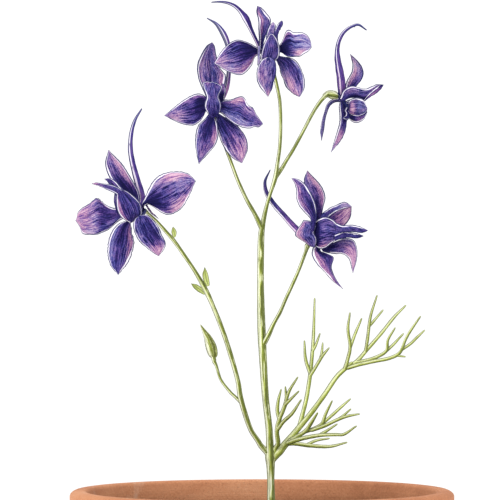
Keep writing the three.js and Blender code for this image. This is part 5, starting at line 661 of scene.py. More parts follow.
     [13.72, -13.13, 151.23, 13.7, -14.67, 154.49, 13.73, -13.13, 157.76],
     [14.22, -13.35, 150.94, 14.18, -15.21, 154.53, 14.2, -13.35, 158.13],
     [14.77, -13.55, 150.77, 14.7, -15.67, 154.59, 14.7, -13.55, 158.43],
     [15.35, -13.73, 150.7, 15.25, -16.05, 154.68, 15.25, -13.73, 158.67],
     [15.91, -13.89, 150.8, 15.82, -16.35, 154.8, 15.82, -13.89, 158.83],
     [16.44, -14.01, 151.03, 16.37, -16.57, 154.92, 16.41, -14.01, 158.84],
     [16.88, -14.1, 151.41, 16.88, -16.7, 155.03, 16.97, -14.1, 158.67],
     [17.32, -14.15, 151.79, 17.37, -16.74, 155.1, 17.52, -14.15, 158.44],
     [17.81, -14.16, 152.11, 17.87, -16.69, 155.11, 18.03, -14.16, 158.14],
     [18.3, -14.14, 152.41, 18.35, -16.55, 155.07, 18.5, -14.14, 157.76],
     [18.81, -14.08, 152.7, 18.83, -16.32, 155.03, 18.95, -14.08, 157.37],
     [19.33, -13.98, 152.95, 19.32, -16.01, 154.96, 19.4, -13.98, 156.98],
     [19.88, -13.86, 153.17, 19.84, -15.61, 154.89, 19.88, -13.86, 156.63],
     [20.44, -13.72, 153.3, 20.4, -15.11, 154.83, 20.42, -13.72, 156.37],
     [21.03, -13.56, 153.37, 21, -14.49, 154.82, 21.01, -13.56, 156.29],
     [21.61, -13.4, 153.43, 21.61, -13.4, 154.84, 21.61, -13.4, 156.25],
    ],
    "e_fork_u": [
     [18.72, -16.3, 154.34, 18.9, -16.47, 155.82, 19.08, -16.3, 157.31],
     [19.31, -16.25, 154.53, 19.46, -16.5, 155.79, 19.62, -16.25, 157.05],
     [19.89, -16.2, 154.71, 20.02, -16.5, 155.75, 20.16, -16.2, 156.8],
     [20.49, -16.15, 154.83, 20.61, -16.49, 155.76, 20.75, -16.15, 156.68],
     [21.1, -16.1, 154.91, 21.21, -16.47, 155.83, 21.34, -16.1, 156.75],
     [21.71, -16.05, 154.95, 21.81, -16.44, 155.88, 21.94, -16.05, 156.81],
     [22.33, -16, 154.99, 22.42, -16.4, 155.91, 22.53, -16, 156.84],
     [22.94, -15.95, 155, 23.03, -16.35, 155.91, 23.13, -15.95, 156.83],
     [23.55, -15.9, 154.98, 23.63, -16.29, 155.86, 23.73, -15.9, 156.75],
     [24.16, -15.85, 154.88, 24.23, -16.21, 155.75, 24.31, -15.85, 156.63],
     [24.77, -15.8, 154.79, 24.82, -16.13, 155.62, 24.88, -15.8, 156.45],
     [25.38, -15.75, 154.79, 25.4, -16.04, 155.5, 25.44, -15.75, 156.22],
     [25.99, -15.7, 154.86, 25.98, -15.93, 155.41, 25.98, -15.7, 155.96],
     [26.56, -15.65, 155.08, 26.53, -15.8, 155.39, 26.52, -15.65, 155.71],
     [27.06, -15.6, 155.41, 27.06, -15.6, 155.44, 27.05, -15.6, 155.47],
    ],
    "e_fork_d": [
     [18.62, -16.1, 152.65, 18.57, -16.27, 153.55, 18.52, -16.1, 154.44],
     [19.12, -15.98, 152.88, 19.08, -16.22, 153.74, 19.05, -15.98, 154.6],
     [19.62, -15.86, 153.11, 19.59, -16.16, 153.94, 19.58, -15.86, 154.76],
     [20.13, -15.74, 153.31, 20.12, -16.08, 154.1, 20.11, -15.74, 154.89],
     [20.66, -15.61, 153.45, 20.65, -15.98, 154.22, 20.66, -15.61, 154.99],
     [21.2, -15.49, 153.55, 21.19, -15.88, 154.3, 21.21, -15.49, 155.05],
     [21.75, -15.37, 153.6, 21.74, -15.77, 154.33, 21.76, -15.37, 155.06],
     [22.3, -15.25, 153.56, 22.29, -15.65, 154.28, 22.31, -15.25, 155],
     [22.84, -15.13, 153.47, 22.83, -15.52, 154.19, 22.85, -15.13, 154.91],
     [23.39, -15.01, 153.41, 23.38, -15.37, 154.11, 23.39, -15.01, 154.81],
     [23.94, -14.89, 153.39, 23.93, -15.22, 154.05, 23.94, -14.89, 154.71],
     [24.49, -14.76, 153.4, 24.47, -15.05, 153.99, 24.48, -14.76, 154.59],
     [25.02, -14.64, 153.51, 25.01, -14.87, 153.97, 25, -14.64, 154.43],
     [25.52, -14.52, 153.74, 25.51, -14.68, 153.98, 25.51, -14.52, 154.21],
     [26.02, -14.4, 153.96, 26.02, -14.4, 153.99, 26.02, -14.4, 154.02],
    ],
    "bract_top": [
     [-22.74, -14.8, 153.58, -22.44, -14.67, 153.73, -22.13, -14.8, 153.88],
     [-22.82, -14.87, 153.77, -22.45, -14.69, 153.93, -22.08, -14.87, 154.08],
     [-22.91, -14.94, 153.96, -22.47, -14.72, 154.12, -22.02, -14.94, 154.27],
     [-23, -15.01, 154.15, -22.49, -14.76, 154.31, -21.97, -15.01, 154.46],
     [-23.08, -15.09, 154.35, -22.51, -14.81, 154.51, -21.93, -15.09, 154.66],
     [-23.15, -15.16, 154.55, -22.54, -14.86, 154.71, -21.91, -15.16, 154.86],
     [-23.19, -15.23, 154.76, -22.57, -14.93, 154.91, -21.94, -15.23, 155.06],
     [-23.21, -15.3, 154.97, -22.61, -15, 155.11, -21.99, -15.3, 155.25],
     [-23.21, -15.37, 155.18, -22.64, -15.08, 155.31, -22.06, -15.37, 155.43],
     [-23.19, -15.44, 155.39, -22.68, -15.17, 155.5, -22.15, -15.44, 155.61],
     [-23.16, -15.51, 155.6, -22.71, -15.26, 155.69, -22.25, -15.51, 155.78],
     [-23.09, -15.59, 155.8, -22.74, -15.37, 155.87, -22.38, -15.59, 155.94],
     [-23, -15.66, 155.99, -22.76, -15.48, 156.04, -22.52, -15.66, 156.08],
     [-22.9, -15.73, 156.18, -22.78, -15.61, 156.2, -22.66, -15.73, 156.22],
     [-22.83, -15.8, 156.36, -22.8, -15.8, 156.36, -22.77, -15.8, 156.37],
    ],
    "bract_right": [
     [-14.28, -10.6, 141.14, -13.9, -10.38, 141.21, -13.51, -10.6, 141.29],
     [-14.49, -10.7, 141.45, -14.01, -10.39, 141.55, -13.53, -10.7, 141.65],
     [-14.69, -10.8, 141.76, -14.13, -10.43, 141.88, -13.55, -10.8, 142],
     [-14.89, -10.9, 142.08, -14.24, -10.47, 142.21, -13.57, -10.9, 142.35],
     [-15.06, -11, 142.42, -14.34, -10.54, 142.56, -13.61, -11, 142.71],
     [-15.17, -11.1, 142.77, -14.43, -10.61, 142.91, -13.67, -11.1, 143.06],
     [-15.25, -11.2, 143.14, -14.5, -10.7, 143.27, -13.73, -11.2, 143.4],
     [-15.3, -11.3, 143.51, -14.56, -10.8, 143.63, -13.8, -11.3, 143.75],
     [-15.32, -11.4, 143.88, -14.61, -10.92, 143.98, -13.89, -11.4, 144.09],
     [-15.3, -11.5, 144.26, -14.65, -11.04, 144.34, -14, -11.5, 144.43],
     [-15.23, -11.6, 144.62, -14.68, -11.18, 144.69, -14.13, -11.6, 144.76],
     [-15.12, -11.7, 144.98, -14.7, -11.34, 145.03, -14.27, -11.7, 145.08],
     [-14.99, -11.8, 145.33, -14.71, -11.51, 145.36, -14.43, -11.8, 145.4],
     [-14.86, -11.9, 145.68, -14.72, -11.71, 145.7, -14.58, -11.9, 145.71],
     [-14.76, -12, 146.03, -14.73, -12, 146.03, -14.7, -12, 146.04],
    ],
    "bract_left": [
     [-15.09, -7.6, 138.89, -14.99, -7.38, 139.41, -14.89, -7.6, 139.92],
     [-15.38, -7.56, 139.03, -15.24, -7.25, 139.58, -15.09, -7.56, 140.13],
     [-15.66, -7.51, 139.17, -15.48, -7.14, 139.75, -15.28, -7.51, 140.35],
     [-15.95, -7.47, 139.31, -15.72, -7.05, 139.93, -15.48, -7.47, 140.55],
     [-16.23, -7.43, 139.46, -15.97, -6.97, 140.1, -15.7, -7.43, 140.75],
     [-16.49, -7.39, 139.63, -16.22, -6.9, 140.28, -15.92, -7.39, 140.93],
     [-16.75, -7.34, 139.82, -16.46, -6.84, 140.45, -16.16, -7.34, 141.1],
     [-17.01, -7.3, 140.01, -16.71, -6.8, 140.63, -16.4, -7.3, 141.25],
     [-17.25, -7.26, 140.21, -16.96, -6.77, 140.8, -16.66, -7.26, 141.39],
     [-17.48, -7.21, 140.43, -17.21, -6.76, 140.97, -16.93, -7.21, 141.51],
     [-17.69, -7.17, 140.67, -17.45, -6.76, 141.13, -17.2, -7.17, 141.59],
     [-17.87, -7.13, 140.93, -17.69, -6.77, 141.28, -17.49, -7.13, 141.65],
     [-18.04, -7.09, 141.2, -17.91, -6.8, 141.44, -17.78, -7.09, 141.68],
     [-18.19, -7.04, 141.48, -18.13, -6.85, 141.59, -18.06, -7.04, 141.71],
     [-18.37, -7, 141.72, -18.35, -7, 141.75, -18.34, -7, 141.78],
    ],
    "a_strip": [
     [-30.4, -14, 162.5, -30.04, -14, 162.5, -29.68, -14, 162.5],
     [-30.02, -13.95, 161.9, -29.71, -13.95, 161.91, -29.4, -13.95, 161.91],
     [-29.64, -13.9, 161.29, -29.36, -13.9, 161.32, -29.08, -13.9, 161.35],
     [-29.26, -13.85, 160.68, -28.98, -13.85, 160.75, -28.7, -13.85, 160.82],
     [-28.82, -13.8, 160.12, -28.57, -13.8, 160.21, -28.31, -13.8, 160.3],
     [-28.32, -13.75, 159.61, -28.1, -13.75, 159.72, -27.87, -13.75, 159.82],
     [-27.77, -13.7, 159.17, -27.57, -13.7, 159.29, -27.37, -13.7, 159.41],
     [-27.17, -13.65, 158.77, -27.06, -13.65, 158.85, -26.94, -13.65, 158.93],
     [-26.59, -13.6, 158.38, -26.56, -13.6, 158.4, -26.53, -13.6, 158.42],
    ],
    "b_side": [
     [-11.29, -5.7, 188.14, -10.57, -5.7, 188.14, -9.84, -5.7, 188.14],
     [-11.29, -5.65, 189.06, -10.52, -5.65, 189.03, -9.75, -5.65, 188.99],
     [-11.23, -5.6, 189.98, -10.42, -5.6, 189.91, -9.61, -5.6, 189.84],
     [-11.11, -5.55, 190.9, -10.27, -5.55, 190.79, -9.44, -5.55, 190.68],
     [-10.9, -5.5, 191.79, -10.11, -5.5, 191.66, -9.32, -5.5, 191.52],
     [-10.68, -5.45, 192.69, -10.07, -5.45, 192.53, -9.46, -5.45, 192.36],
     [-10.46, -5.4, 193.59, -10.1, -5.4, 193.38, -9.74, -5.4, 193.17],
    ],
    "a_side": [
     [-37.18, -18.1, 159.85, -36.87, -18.1, 159.85, -36.56, -18.1, 159.85],
     [-37.39, -18.02, 160.68, -37.06, -18.02, 160.68, -36.73, -18.02, 160.69],
     [-37.62, -17.93, 161.51, -37.25, -17.93, 161.52, -36.88, -17.93, 161.54],
     [-37.84, -17.85, 162.34, -37.41, -17.85, 162.37, -36.98, -17.85, 162.39],
     [-37.91, -17.77, 163.2, -37.44, -17.77, 163.23, -36.97, -17.77, 163.25],
     [-37.87, -17.68, 164.06, -37.38, -17.68, 164.08, -36.88, -17.68, 164.11],
     [-37.76, -17.6, 164.91, -37.24, -17.6, 164.93, -36.73, -17.6, 164.96],
    ],
    "c_strip": [
     [-1.05, -2.6, 203.3, -0.71, -2.6, 203.3, -0.37, -2.6, 203.3],
     [-1.12, -2.68, 202.29, -0.78, -2.68, 202.33, -0.44, -2.68, 202.37],
     [-1.17, -2.76, 201.27, -0.82, -2.76, 201.35, -0.48, -2.76, 201.43],
     [-1.2, -2.84, 200.26, -0.82, -2.84, 200.37, -0.44, -2.84, 200.49],
     [-1.23, -2.92, 199.24, -0.81, -2.92, 199.4, -0.39, -2.92, 199.55],
     [-1.25, -3, 198.23, -0.79, -3, 198.42, -0.32, -3, 198.61],
    ],
    "e_fold": [
     [14.87, -11.8, 158.98, 15.38, -12.02, 158.49, 15.89, -11.8, 158.01],
     [15.34, -11.23, 159.66, 15.89, -11.55, 159.02, 16.45, -11.23, 158.39],
     [15.92, -10.67, 160.23, 16.46, -11.06, 159.5, 17.01, -10.67, 158.78],
     [16.61, -10.11, 160.69, 17.08, -10.55, 159.93, 17.56, -10.11, 159.18],
     [17.28, -9.56, 161.18, 17.69, -10.04, 160.38, 18.11, -9.56, 159.58],
     [17.99, -9.02, 161.59, 18.32, -9.52, 160.78, 18.68, -9.02, 159.97],
     [18.78, -8.5, 161.85, 19.02, -9, 161.07, 19.27, -8.5, 160.3],
     [19.54, -7.99, 162.18, 19.71, -8.47, 161.38, 19.89, -7.99, 160.59],
     [20.29, -7.49, 162.53, 20.4, -7.94, 161.67, 20.54, -7.49, 160.82],
     [21.07, -7.01, 162.83, 21.12, -7.4, 161.92, 21.19, -7.01, 161.02],
     [21.85, -6.53, 162.66, 21.84, -6.85, 161.94, 21.85, -6.53, 161.22],
     [22.51, -6.06, 162.17, 22.5, -6.28, 161.8, 22.5, -6.06, 161.43],
     [23.15, -5.6, 161.68, 23.15, -5.6, 161.65, 23.15, -5.6, 161.61],
    ],
    "d_roll": [
     [26.87, 15.6, 190, 27.09, 15.6, 189.85, 27.31, 15.6, 189.7],
     [27.34, 16.02, 190.53, 27.56, 16.02, 190.34, 27.79, 16.02, 190.16],
     [27.76, 16.44, 191.1, 28.04, 16.44, 190.83, 28.33, 16.44, 190.57],
     [28.2, 16.86, 191.65, 28.54, 16.86, 191.31, 28.88, 16.86, 190.96],
     [28.66, 17.28, 192.18, 29.07, 17.28, 191.74, 29.48, 17.28, 191.3],
     [29.18, 17.7, 192.67, 29.62, 17.7, 192.15, 30.07, 17.7, 191.63],
     [29.73, 18.12, 193.1, 30.17, 18.12, 192.57, 30.61, 18.12, 192.04],
     [30.31, 18.54, 193.5, 30.71, 18.54, 193.01, 31.11, 18.54, 192.51],
     [30.9, 18.96, 193.9, 31.24, 18.96, 193.45, 31.58, 18.96, 193.01],
     [31.55, 19.38, 194.16, 31.78, 19.38, 193.85, 32.01, 19.38, 193.54],
     [32.23, 19.8, 194.2, 32.25, 19.8, 194.18, 32.27, 19.8, 194.15],
    ],
}

TUBES = {
    "c_spur": [
     [-0.1, 1.2, 201.94, 0.75],
     [-0.68, 1.72, 203.24, 0.58],
     [-1.27, 2.28, 204.53, 0.5],
     [-1.87, 2.89, 205.8, 0.5],
     [-2.47, 3.47, 207.08, 0.55],
     [-3.06, 4, 208.38, 0.61],
     [-3.6, 4.52, 209.7, 0.81],
     [-4.25, 4.99, 210.98, 0.89],
     [-5.07, 5.42, 212.18, 0.7],
     [-6.01, 5.88, 213.28, 0.54],
     [-7.12, 6.33, 214.23, 0.49],
     [-8.44, 6.68, 214.89, 0.41],
     [-9.9, 6.93, 215.26, 0.33],
     [-11.4, 7.14, 215.37, 0.24],
     [-12.91, 7.3, 215.3, 0.16],
    ],
    "c_stamens": [
     [2.23, -0.3, 201.97, 0.45],
     [2.18, -1.2, 201.87, 0.5],
     [2.12, -2.2, 201.77, 0.7],
     [2.06, -2.9, 201.63, 0.5],
    ],
    "b_spur": [
     [-11.76, -4.8, 189.08, 0.85],
     [-10.26, -3.27, 189.91, 0.65],
     [-9.45, -1.93, 191.62, 0.62],
     [-8.97, -0.57, 193.45, 0.61],
     [-8.76, 0.73, 195.36, 0.6],
     [-8.58, 1.87, 197.39, 0.6],
     [-8.42, 2.81, 199.51, 0.6],
     [-8.5, 3.65, 201.68, 0.63],
     [-8.88, 4.39, 203.85, 0.69],
     [-9.61, 4.91, 206, 0.8],
     [-10.71, 5.37, 207.99, 0.68],
     [-12.16, 5.9, 209.71, 0.4],
     [-14.11, 6.2, 210.91, 0.16],
    ],
    "b_stamens": [
     [-12.55, -6.1, 186.19, 0.5],
     [-12.54, -7.1, 186.54, 0.55],
     [-12.56, -8, 186.92, 0.7],
     [-12.55, -8.6, 187.26, 0.55],
    ],
    "a_spur": [
     [-31.48, -17.4, 160.87, 1],
     [-30.79, -15.58, 162.95, 1],
     [-31.22, -14.13, 165.33, 0.95],
     [-31.98, -12.97, 167.81, 0.87],
     [-32.72, -12.06, 170.4, 0.8],
     [-33.38, -11.25, 173.05, 0.74],
     [-33.85, -10.56, 175.77, 0.68],
     [-33.89, -10.03, 178.56, 0.6],
     [-33.52, -9.63, 181.35, 0.52],
     [-32.66, -9.36, 184.04, 0.39],
     [-31.2, -9.2, 186.47, 0.2],
    ],
    "a_stamens": [
     [-32.35, -18.3, 160.1, 0.55],
     [-32.82, -19.4, 160.34, 0.6],
     [-33.33, -20.3, 160.59, 0.75],
     [-33.83, -20.7, 160.84, 0.6],
    ],
    "d_spur": [
     [21.23, 15.7, 191.44, 1],
     [21.03, 15.69, 193.87, 1.13],
     [20.77, 15.82, 196.29, 1.08],
     [20.37, 16.05, 198.68, 0.96],
     [20.01, 16.38, 201.06, 0.81],
     [19.97, 16.86, 203.44, 0.61],
     [20.46, 17.38, 205.76, 0.52],
     [21.57, 17.98, 207.83, 0.48],
     [23.35, 18.65, 209.34, 0.41],
     [25.55, 19.24, 210.09, 0.33],
     [27.53, 19.7, 208.89, 0.18],
    ],
    "d_stamens": [
     [24.52, 14.4, 187.96, 0.42],
     [25, 14.4, 187.69, 0.5],
     [25.68, 14.4, 187.32, 0.6],
     [26.32, 14.5, 187.01, 0.42],
    ],
    "e_spur": [
     [10.56, -15.05, 154.04, 0.98],
     [8.93, -12.83, 155.6, 0.87],
     [7.67, -10.27, 156.95, 0.8],
     [6.63, -7.55, 158.17, 0.77],
     [5.61, -4.82, 159.38, 0.74],
     [4.64, -2.02, 160.47, 0.72],
     [3.68, 0.78, 161.58, 0.71],
     [2.51, 3.2, 163.2, 0.67],
     [1.14, 4.84, 165.51, 0.58],
     [0.83, 6.07, 168.36, 0.4],
     [2.06, 6.8, 171.13, 0.16],
    ],
    "e_stamens": [
     [15.13, -11.2, 154, 0.5],
     [16.4, -12.1, 154.1, 0.6],
     [17.68, -12.5, 154.35, 0.75],
     [18.71, -12.3, 154.51, 0.55],
    ],
    "main_stem": [
     [2.5, 0, 70.32, 1.05],
     [2.5, 0, 75.78, 1.2],
     [2.44, 0, 80.2, 1.12],
     [2.39, 0, 85.4, 1.02],
     [2.29, 0.2, 90.59, 0.92],
     [2.24, 0.3, 94.22, 1.08],
     [2.13, 0.3, 96.56, 1.3],
     [2.06, 0.3, 98.9, 1.02],
     [1.87, 0.3, 103.59, 0.9],
     [0.89, 0.4, 112.32, 0.88],
     [0.21, 0.6, 123.27, 1],
     [-0.15, 0.8, 130.55, 1.05],
     [-0.36, 0.9, 141.5, 0.88],
     [-0.21, 0.9, 153.91, 0.84],
     [0.26, 0.9, 157.5, 0.66],
     [1.36, 0.9, 162.47, 0.5],
     [2.29, 1, 165.47, 0.48],
     [3.47, 1.2, 169.22, 0.6],
     [4.09, 1.3, 173.21, 0.5],
     [4.67, 1.5, 177.74, 0.47],
     [4.85, 1.4, 184.25, 0.46],
     [4.59, 1.5, 189.46, 0.46],
     [3.76, 1.8, 193.64, 0.46],
     [2.72, 1.9, 197.81, 0.55],
     [2.19, 1.9, 200.15, 0.9],
    ],
    "branch_b": [
     [-1.07, 0.1, 158.1, 0.58],
     [-2.03, -0.4, 160.02, 0.55],
     [-4.03, -1.6, 163.53, 0.5],
     [-6.39, -2.7, 168.71, 0.46],
     [-8.15, -3.4, 173.46, 0.44],
     [-9.44, -3.1, 176.94, 0.44],
     [-11, -3, 181.51, 0.46],
     [-11.98, -3.6, 184.18, 0.52],
     [-12.49, -4.3, 186.23, 0.8],
    ],
    "branch_a": [
     [-0.31, 0, 99.54, 0.7],
     [-1.04, -0.2, 100.75, 0.7],
     [-2.91, -0.9, 103.69, 0.68],
     [-4.78, -2, 109.14, 0.72],
     [-5.66, -2.7, 112.54, 0.72],
     [-6.26, -3.4, 116.46, 0.64],
     [-8.4, -4.9, 124.14, 0.64],
     [-10.33, -6.2, 129.99, 0.64],
     [-12.79, -7.8, 136.21, 0.62],
     [-14.51, -9, 139.99, 0.72],
     [-17.4, -10.4, 145.1, 0.54],
     [-20.53, -12.1, 149.78, 0.52],
     [-22.67, -13.2, 152.81, 0.56],
     [-24.78, -14.2, 155.22, 0.48],
     [-27.12, -14.9, 157.88, 0.4],
     [-28.91, -15, 159.49, 0.4],
     [-30.06, -15, 160.49, 0.62],
    ],
    "branch_d": [
     [5.17, 3, 171.68, 0.5],
     [6.36, 4, 173.74, 0.48],
     [8.12, 5.6, 176.55, 0.46],
     [10.78, 8.6, 181.47, 0.45],
     [12.91, 11, 185.57, 0.46],
     [14.84, 13, 188.75, 0.5],
     [16.56, 14.4, 190.81, 0.56],
     [18, 15.2, 191.68, 0.66],
     [19.22, 15.5, 191.64, 0.8],
    ],
    "branch_e": [
     [1.61, -0.6, 128.16, 0.6],
     [3.06, -1.4, 131.32, 0.52],
     [4.66, -2.4, 134.24, 0.48],
     [6.1, -3.6, 137.6, 0.46],
     [8.97, -6.4, 143.99, 0.45],
     [10.61, -9.2, 148.26, 0.45],
     [11.33, -11.2, 150.35, 0.5],
     [11.65, -12.3, 151.53, 0.72],
    ],
    "bud_stalk": [
     [-6.81, -1.6, 112.14, 0.42],
     [-8.24, -0.8, 113.46, 0.4],
     [-10.7, 1.2, 116.66, 0.38],
     [-11.91, 3, 120.25, 0.42],
     [-12.41, 3.5, 121.23, 0.55],
    ],
    "bud": [
     [-12.62, 4, 122.21, 0.55],
     [-12.68, 4.2, 122.83, 1.1],
     [-12.99, 4.5, 124.13, 1.38],
     [-13.47, 4.9, 125.68, 1.36],
     [-14.2, 5.3, 127.5, 0.98],
     [-15.1, 5.7, 129.12, 0.55],
     [-15.96, 6, 130.63, 0.18],
    ],
}

LEAF = [
    [
     [4.79, 0.2, 98.39, 0.56],
     [4.15, -1.2, 100.12, 0.56],
     [3.86, -2.6, 103.25, 0.56],
     [4.59, -4.6, 106.92, 0.51],
     [5.46, -6, 109.05, 0.47],
     [6.22, -7.6, 111.64, 0.43],
     [6.03, -9.2, 114.59, 0.18],
    ],
    [
     [4.54, -4.4, 106.5, 0.46],
     [3.97, -4.6, 108.63, 0.41],
     [4.18, -5, 111.34, 0.33],
     [4.77, -5.2, 113.75, 0.16],
    ],
    [
     [6.02, -7.2, 110.91, 0.37],
     [6.97, -9.6, 114.09, 0.33],
     [8.88, -12, 117.31, 0.16],
    ],
    [
     [5.92, -7, 110.38, 0.37],
     [6.93, -8.8, 111.54, 0.33],
     [9.11, -11.6, 113.81, 0.16],
    ],
    [
     [4.03, -3, 103.84, 0.43],
     [5.52, -5.4, 106.02, 0.43],
     [7.71, -8.4, 108.25, 0.37],
     [9.78, -11.4, 111.51, 0.16],
    ],
    [
     [4.79, 0.5, 98.27, 0.97],
     [5.73, 0.6, 99.51, 0.92],
     [7.29, 0.9, 101.32, 0.82],
     [9.54, 1.6, 104.05, 0.69],
     [12.57, 2.6, 107.6, 0.61],
     [16.24, 3.4, 112.55, 0.56],
     [19.59, 4, 117.4, 0.53],
     [22.32, 4.4, 119.95, 0.51],
    ],
    [
     [9.54, 1.6, 103.94, 0.51],
     [10.29, 3.4, 106.41, 0.49],
     [11.59, 6.6, 111.33, 0.47],
     [12.64, 10.2, 117.31, 0.45],
     [13.19, 13.4, 122.15, 0.41],
     [13.64, 16.6, 127.64, 0.35],
     [14.04, 21.4, 137.04, 0.16],
    ],
    [
     [12.7, 10.6, 117.82, 0.39],
     [11.5, 11.4, 121.68, 0.35],
     [11.23, 12.6, 125.89, 0.16],
    ],
    [
     [13.39, 14.2, 123.77, 0.31],
     [14.2, 15.6, 125.21, 0.29],
     [15.21, 17.4, 127.81, 0.16],
    ],
    [
     [12.69, 10.2, 117.46, 0.41],
     [14.2, 9.6, 119.85, 0.37],
     [15.87, 8.6, 122.66, 0.33],
     [17.24, 7.8, 124.33, 0.16],
    ],
    [
     [15.3, 9, 121.7, 0.31],
     [15.72, 9.4, 123.53, 0.27],
     [15.92, 9.9, 125.4, 0.16],
    ],
    [
     [21.63, 4.2, 119.43, 0.43],
     [22.23, 3, 121.45, 0.41],
     [22.93, 0.8, 125.08, 0.37],
     [22.31, -1.8, 129.9, 0.31],
     [22.7, -4, 133.62, 0.16],
    ],
    [
     [22.81, 1.2, 124.52, 0.33],
     [24.18, 1.8, 128.36, 0.31],
     [25.74, 2.6, 131.97, 0.16],
    ],
    [
     [22.16, 4.4, 119.79, 0.47],
     [24.73, 5.6, 121.27, 0.45],
     [27.34, 7.4, 124.1, 0.43],
     [31.1, 10.2, 128.23, 0.39],
     [34.91, 13.6, 132.77, 0.33],
     [37.67, 16, 135.42, 0.16],
    ],
    [
     [27.15, 7.2, 123.85, 0.37],
     [27.59, 5.2, 127.17, 0.35],
     [28.29, 2.4, 133.07, 0.29],
     [29.74, 0, 138.05, 0.16],
    ],
    [
     [28.04, 3.6, 130.57, 0.29],
     [29.1, 4.2, 131.76, 0.27],
     [31.33, 6, 134.29, 0.16],
    ],
    [
     [24.54, 5.6, 121.01, 0.41],
     [27.25, 4.4, 121.57, 0.39],
     [30.25, 2.6, 122.66, 0.37],
     [32.44, 1.2, 124.26, 0.35],
     [32.75, 0.4, 126.91, 0.29],
     [34.27, -0.6, 129.66, 0.16],
    ],
    [
     [32.19, 1.4, 123.95, 0.33],
     [34.22, 1.4, 125.82, 0.29],
     [36.42, 1.8, 128.16, 0.16],
    ],
    [
     [22.36, 4.2, 119.59, 0.45],
     [25.27, 1.8, 120.55, 0.43],
     [28.89, -1.6, 121.48, 0.41],
     [33.08, -5.4, 122.47, 0.39],
     [35.57, -8, 123.99, 0.36],
     [36.92, -10.2, 127.34, 0.31],
     [38.08, -12, 129.59, 0.29],
     [40.24, -14.4, 132.92, 0.16],
    ],
    [
     [36.06, -8.6, 124.73, 0.31],
     [38.24, -9.4, 126.29, 0.29],
     [39.82, -9.8, 127.85, 0.27],
     [41.35, -10.2, 129.32, 0.16],
    ],
    [
     [34.57, -7, 123.19, 0.27],
     [36.46, -8.2, 122.94, 0.14],
    ],
    [
     [7.13, 0.4, 100.82, 0.51],
     [9.08, -2, 101.98, 0.49],
     [11.34, -4.8, 103.67, 0.46],
     [12.78, -7, 105.89, 0.41],
     [14.01, -9, 107.96, 0.2],
    ],
    [
     [11.17, -4.4, 103.39, 0.43],
     [13.17, -5.2, 104.1, 0.43],
     [15.43, -6.2, 105.44, 0.41],
     [16.34, -7.2, 107.89, 0.35],
     [17.81, -8.6, 111.01, 0.16],
    ],
    [
     [15.13, -6, 105.17, 0.35],
     [18.26, -4.6, 107.77, 0.33],
     [20.3, -3.6, 109.57, 0.29],
     [22.48, -2.6, 111.4, 0.16],
    ],
    [
     [12.76, -5.2, 103.74, 0.39],
     [15.96, -8.4, 105.02, 0.39],
     [19.54, -11.8, 106.88, 0.35],
     [22, -14, 107.84, 0.29],
     [24.41, -16, 108.37, 0.16],
    ],
    [
     [18.99, -11.2, 106.59, 0.29],
     [20.53, -11.4, 107.58, 0.27],
     [22.32, -11.8, 109.14, 0.16],
    ],
    [
     [6.61, 0.2, 100.16, 0.53],
     [8.83, -2.8, 101.09, 0.51],
     [11.6, -6.8, 102.01, 0.47],
     [15.38, -11.8, 102.87, 0.43],
     [18.88, -16.2, 103.18, 0.37],
     [20.81, -18.6, 103.37, 0.31],
     [23.58, -22, 105.39, 0.16],
    ],
    [
     [14.62, -11, 102.78, 0.33],
     [16.4, -12.2, 103.86, 0.31],
     [18.78, -13.8, 105.48, 0.16],
    ],
    [
     [6.09, 0.6, 99.88, 0.51],
     [8.09, 3, 99.97, 0.49],
     [12.67, 8.6, 99.11, 0.45],
     [17.93, 14.6, 98.59, 0.35],
     [22.19, 19.4, 99.3, 0.16],
    ],
    [
     [11.55, 7.4, 99.32, 0.33],
     [14.23, 11, 100.3, 0.29],
     [17.47, 15.2, 100.62, 0.16],
    ],
]


# ------------------------------------------------------------------ numeric helpers
def unit(v):
    return v / np.maximum(np.linalg.norm(v, axis=-1, keepdims=True), 1e-12)


def smooth01(x):
    x = np.clip(x, 0, 1)
    return x * x * (3 - 2 * x)


def along(rows, n, power=1.0):
    """Catmull-Rom through rows (k, d), n samples; more of them near the end if power is over 1."""
    p = np.asarray(rows, float)
    k = len(p)
    d = np.linalg.norm(np.diff(p[:, :3], axis=0), axis=1)
    s = np.concatenate([[0], np.cumsum(np.maximum(d, 1e-6))])
    m = np.zeros_like(p)
    m[1:-1] = (p[2:] - p[:-2]) / (s[2:] - s[:-2])[:, None]
    m[0] = (p[1] - p[0]) / (s[1] - s[0])
    m[-1] = (p[-1] - p[-2]) / (s[-1] - s[-2])
    q = s[-1] * (1 - (1 - np.linspace(0, 1, n)) ** power)
    i = np.clip(np.searchsorted(s, q, side="right") - 1, 0, k - 2)
    h = (s[i + 1] - s[i])[:, None]
    t = ((q - s[i]) / (s[i + 1] - s[i]))[:, None]
    return (
        (2 * t**3 - 3 * t**2 + 1) * p[i]
        + (t**3 - 2 * t**2 + t) * h * m[i]
        + (-2 * t**3 + 3 * t**2) * p[i + 1]
        + (t**3 - t**2) * h * m[i + 1]
    )


def wobble(seed, n_terms=4):
    """A smooth seeded wave, a function of one number, about -1 to 1."""
    r = np.random.default_rng(seed)
    f, ph, am = r.uniform(0.6, 3.2, n_terms), r.uniform(0, 6.28, n_terms), r.uniform(0.4, 1, n_terms)
    am /= am.sum()
    return lambda x: sum(a * np.sin(6.283 * k * np.asarray(x) + p) for a, k, p in zip(am, f, ph))


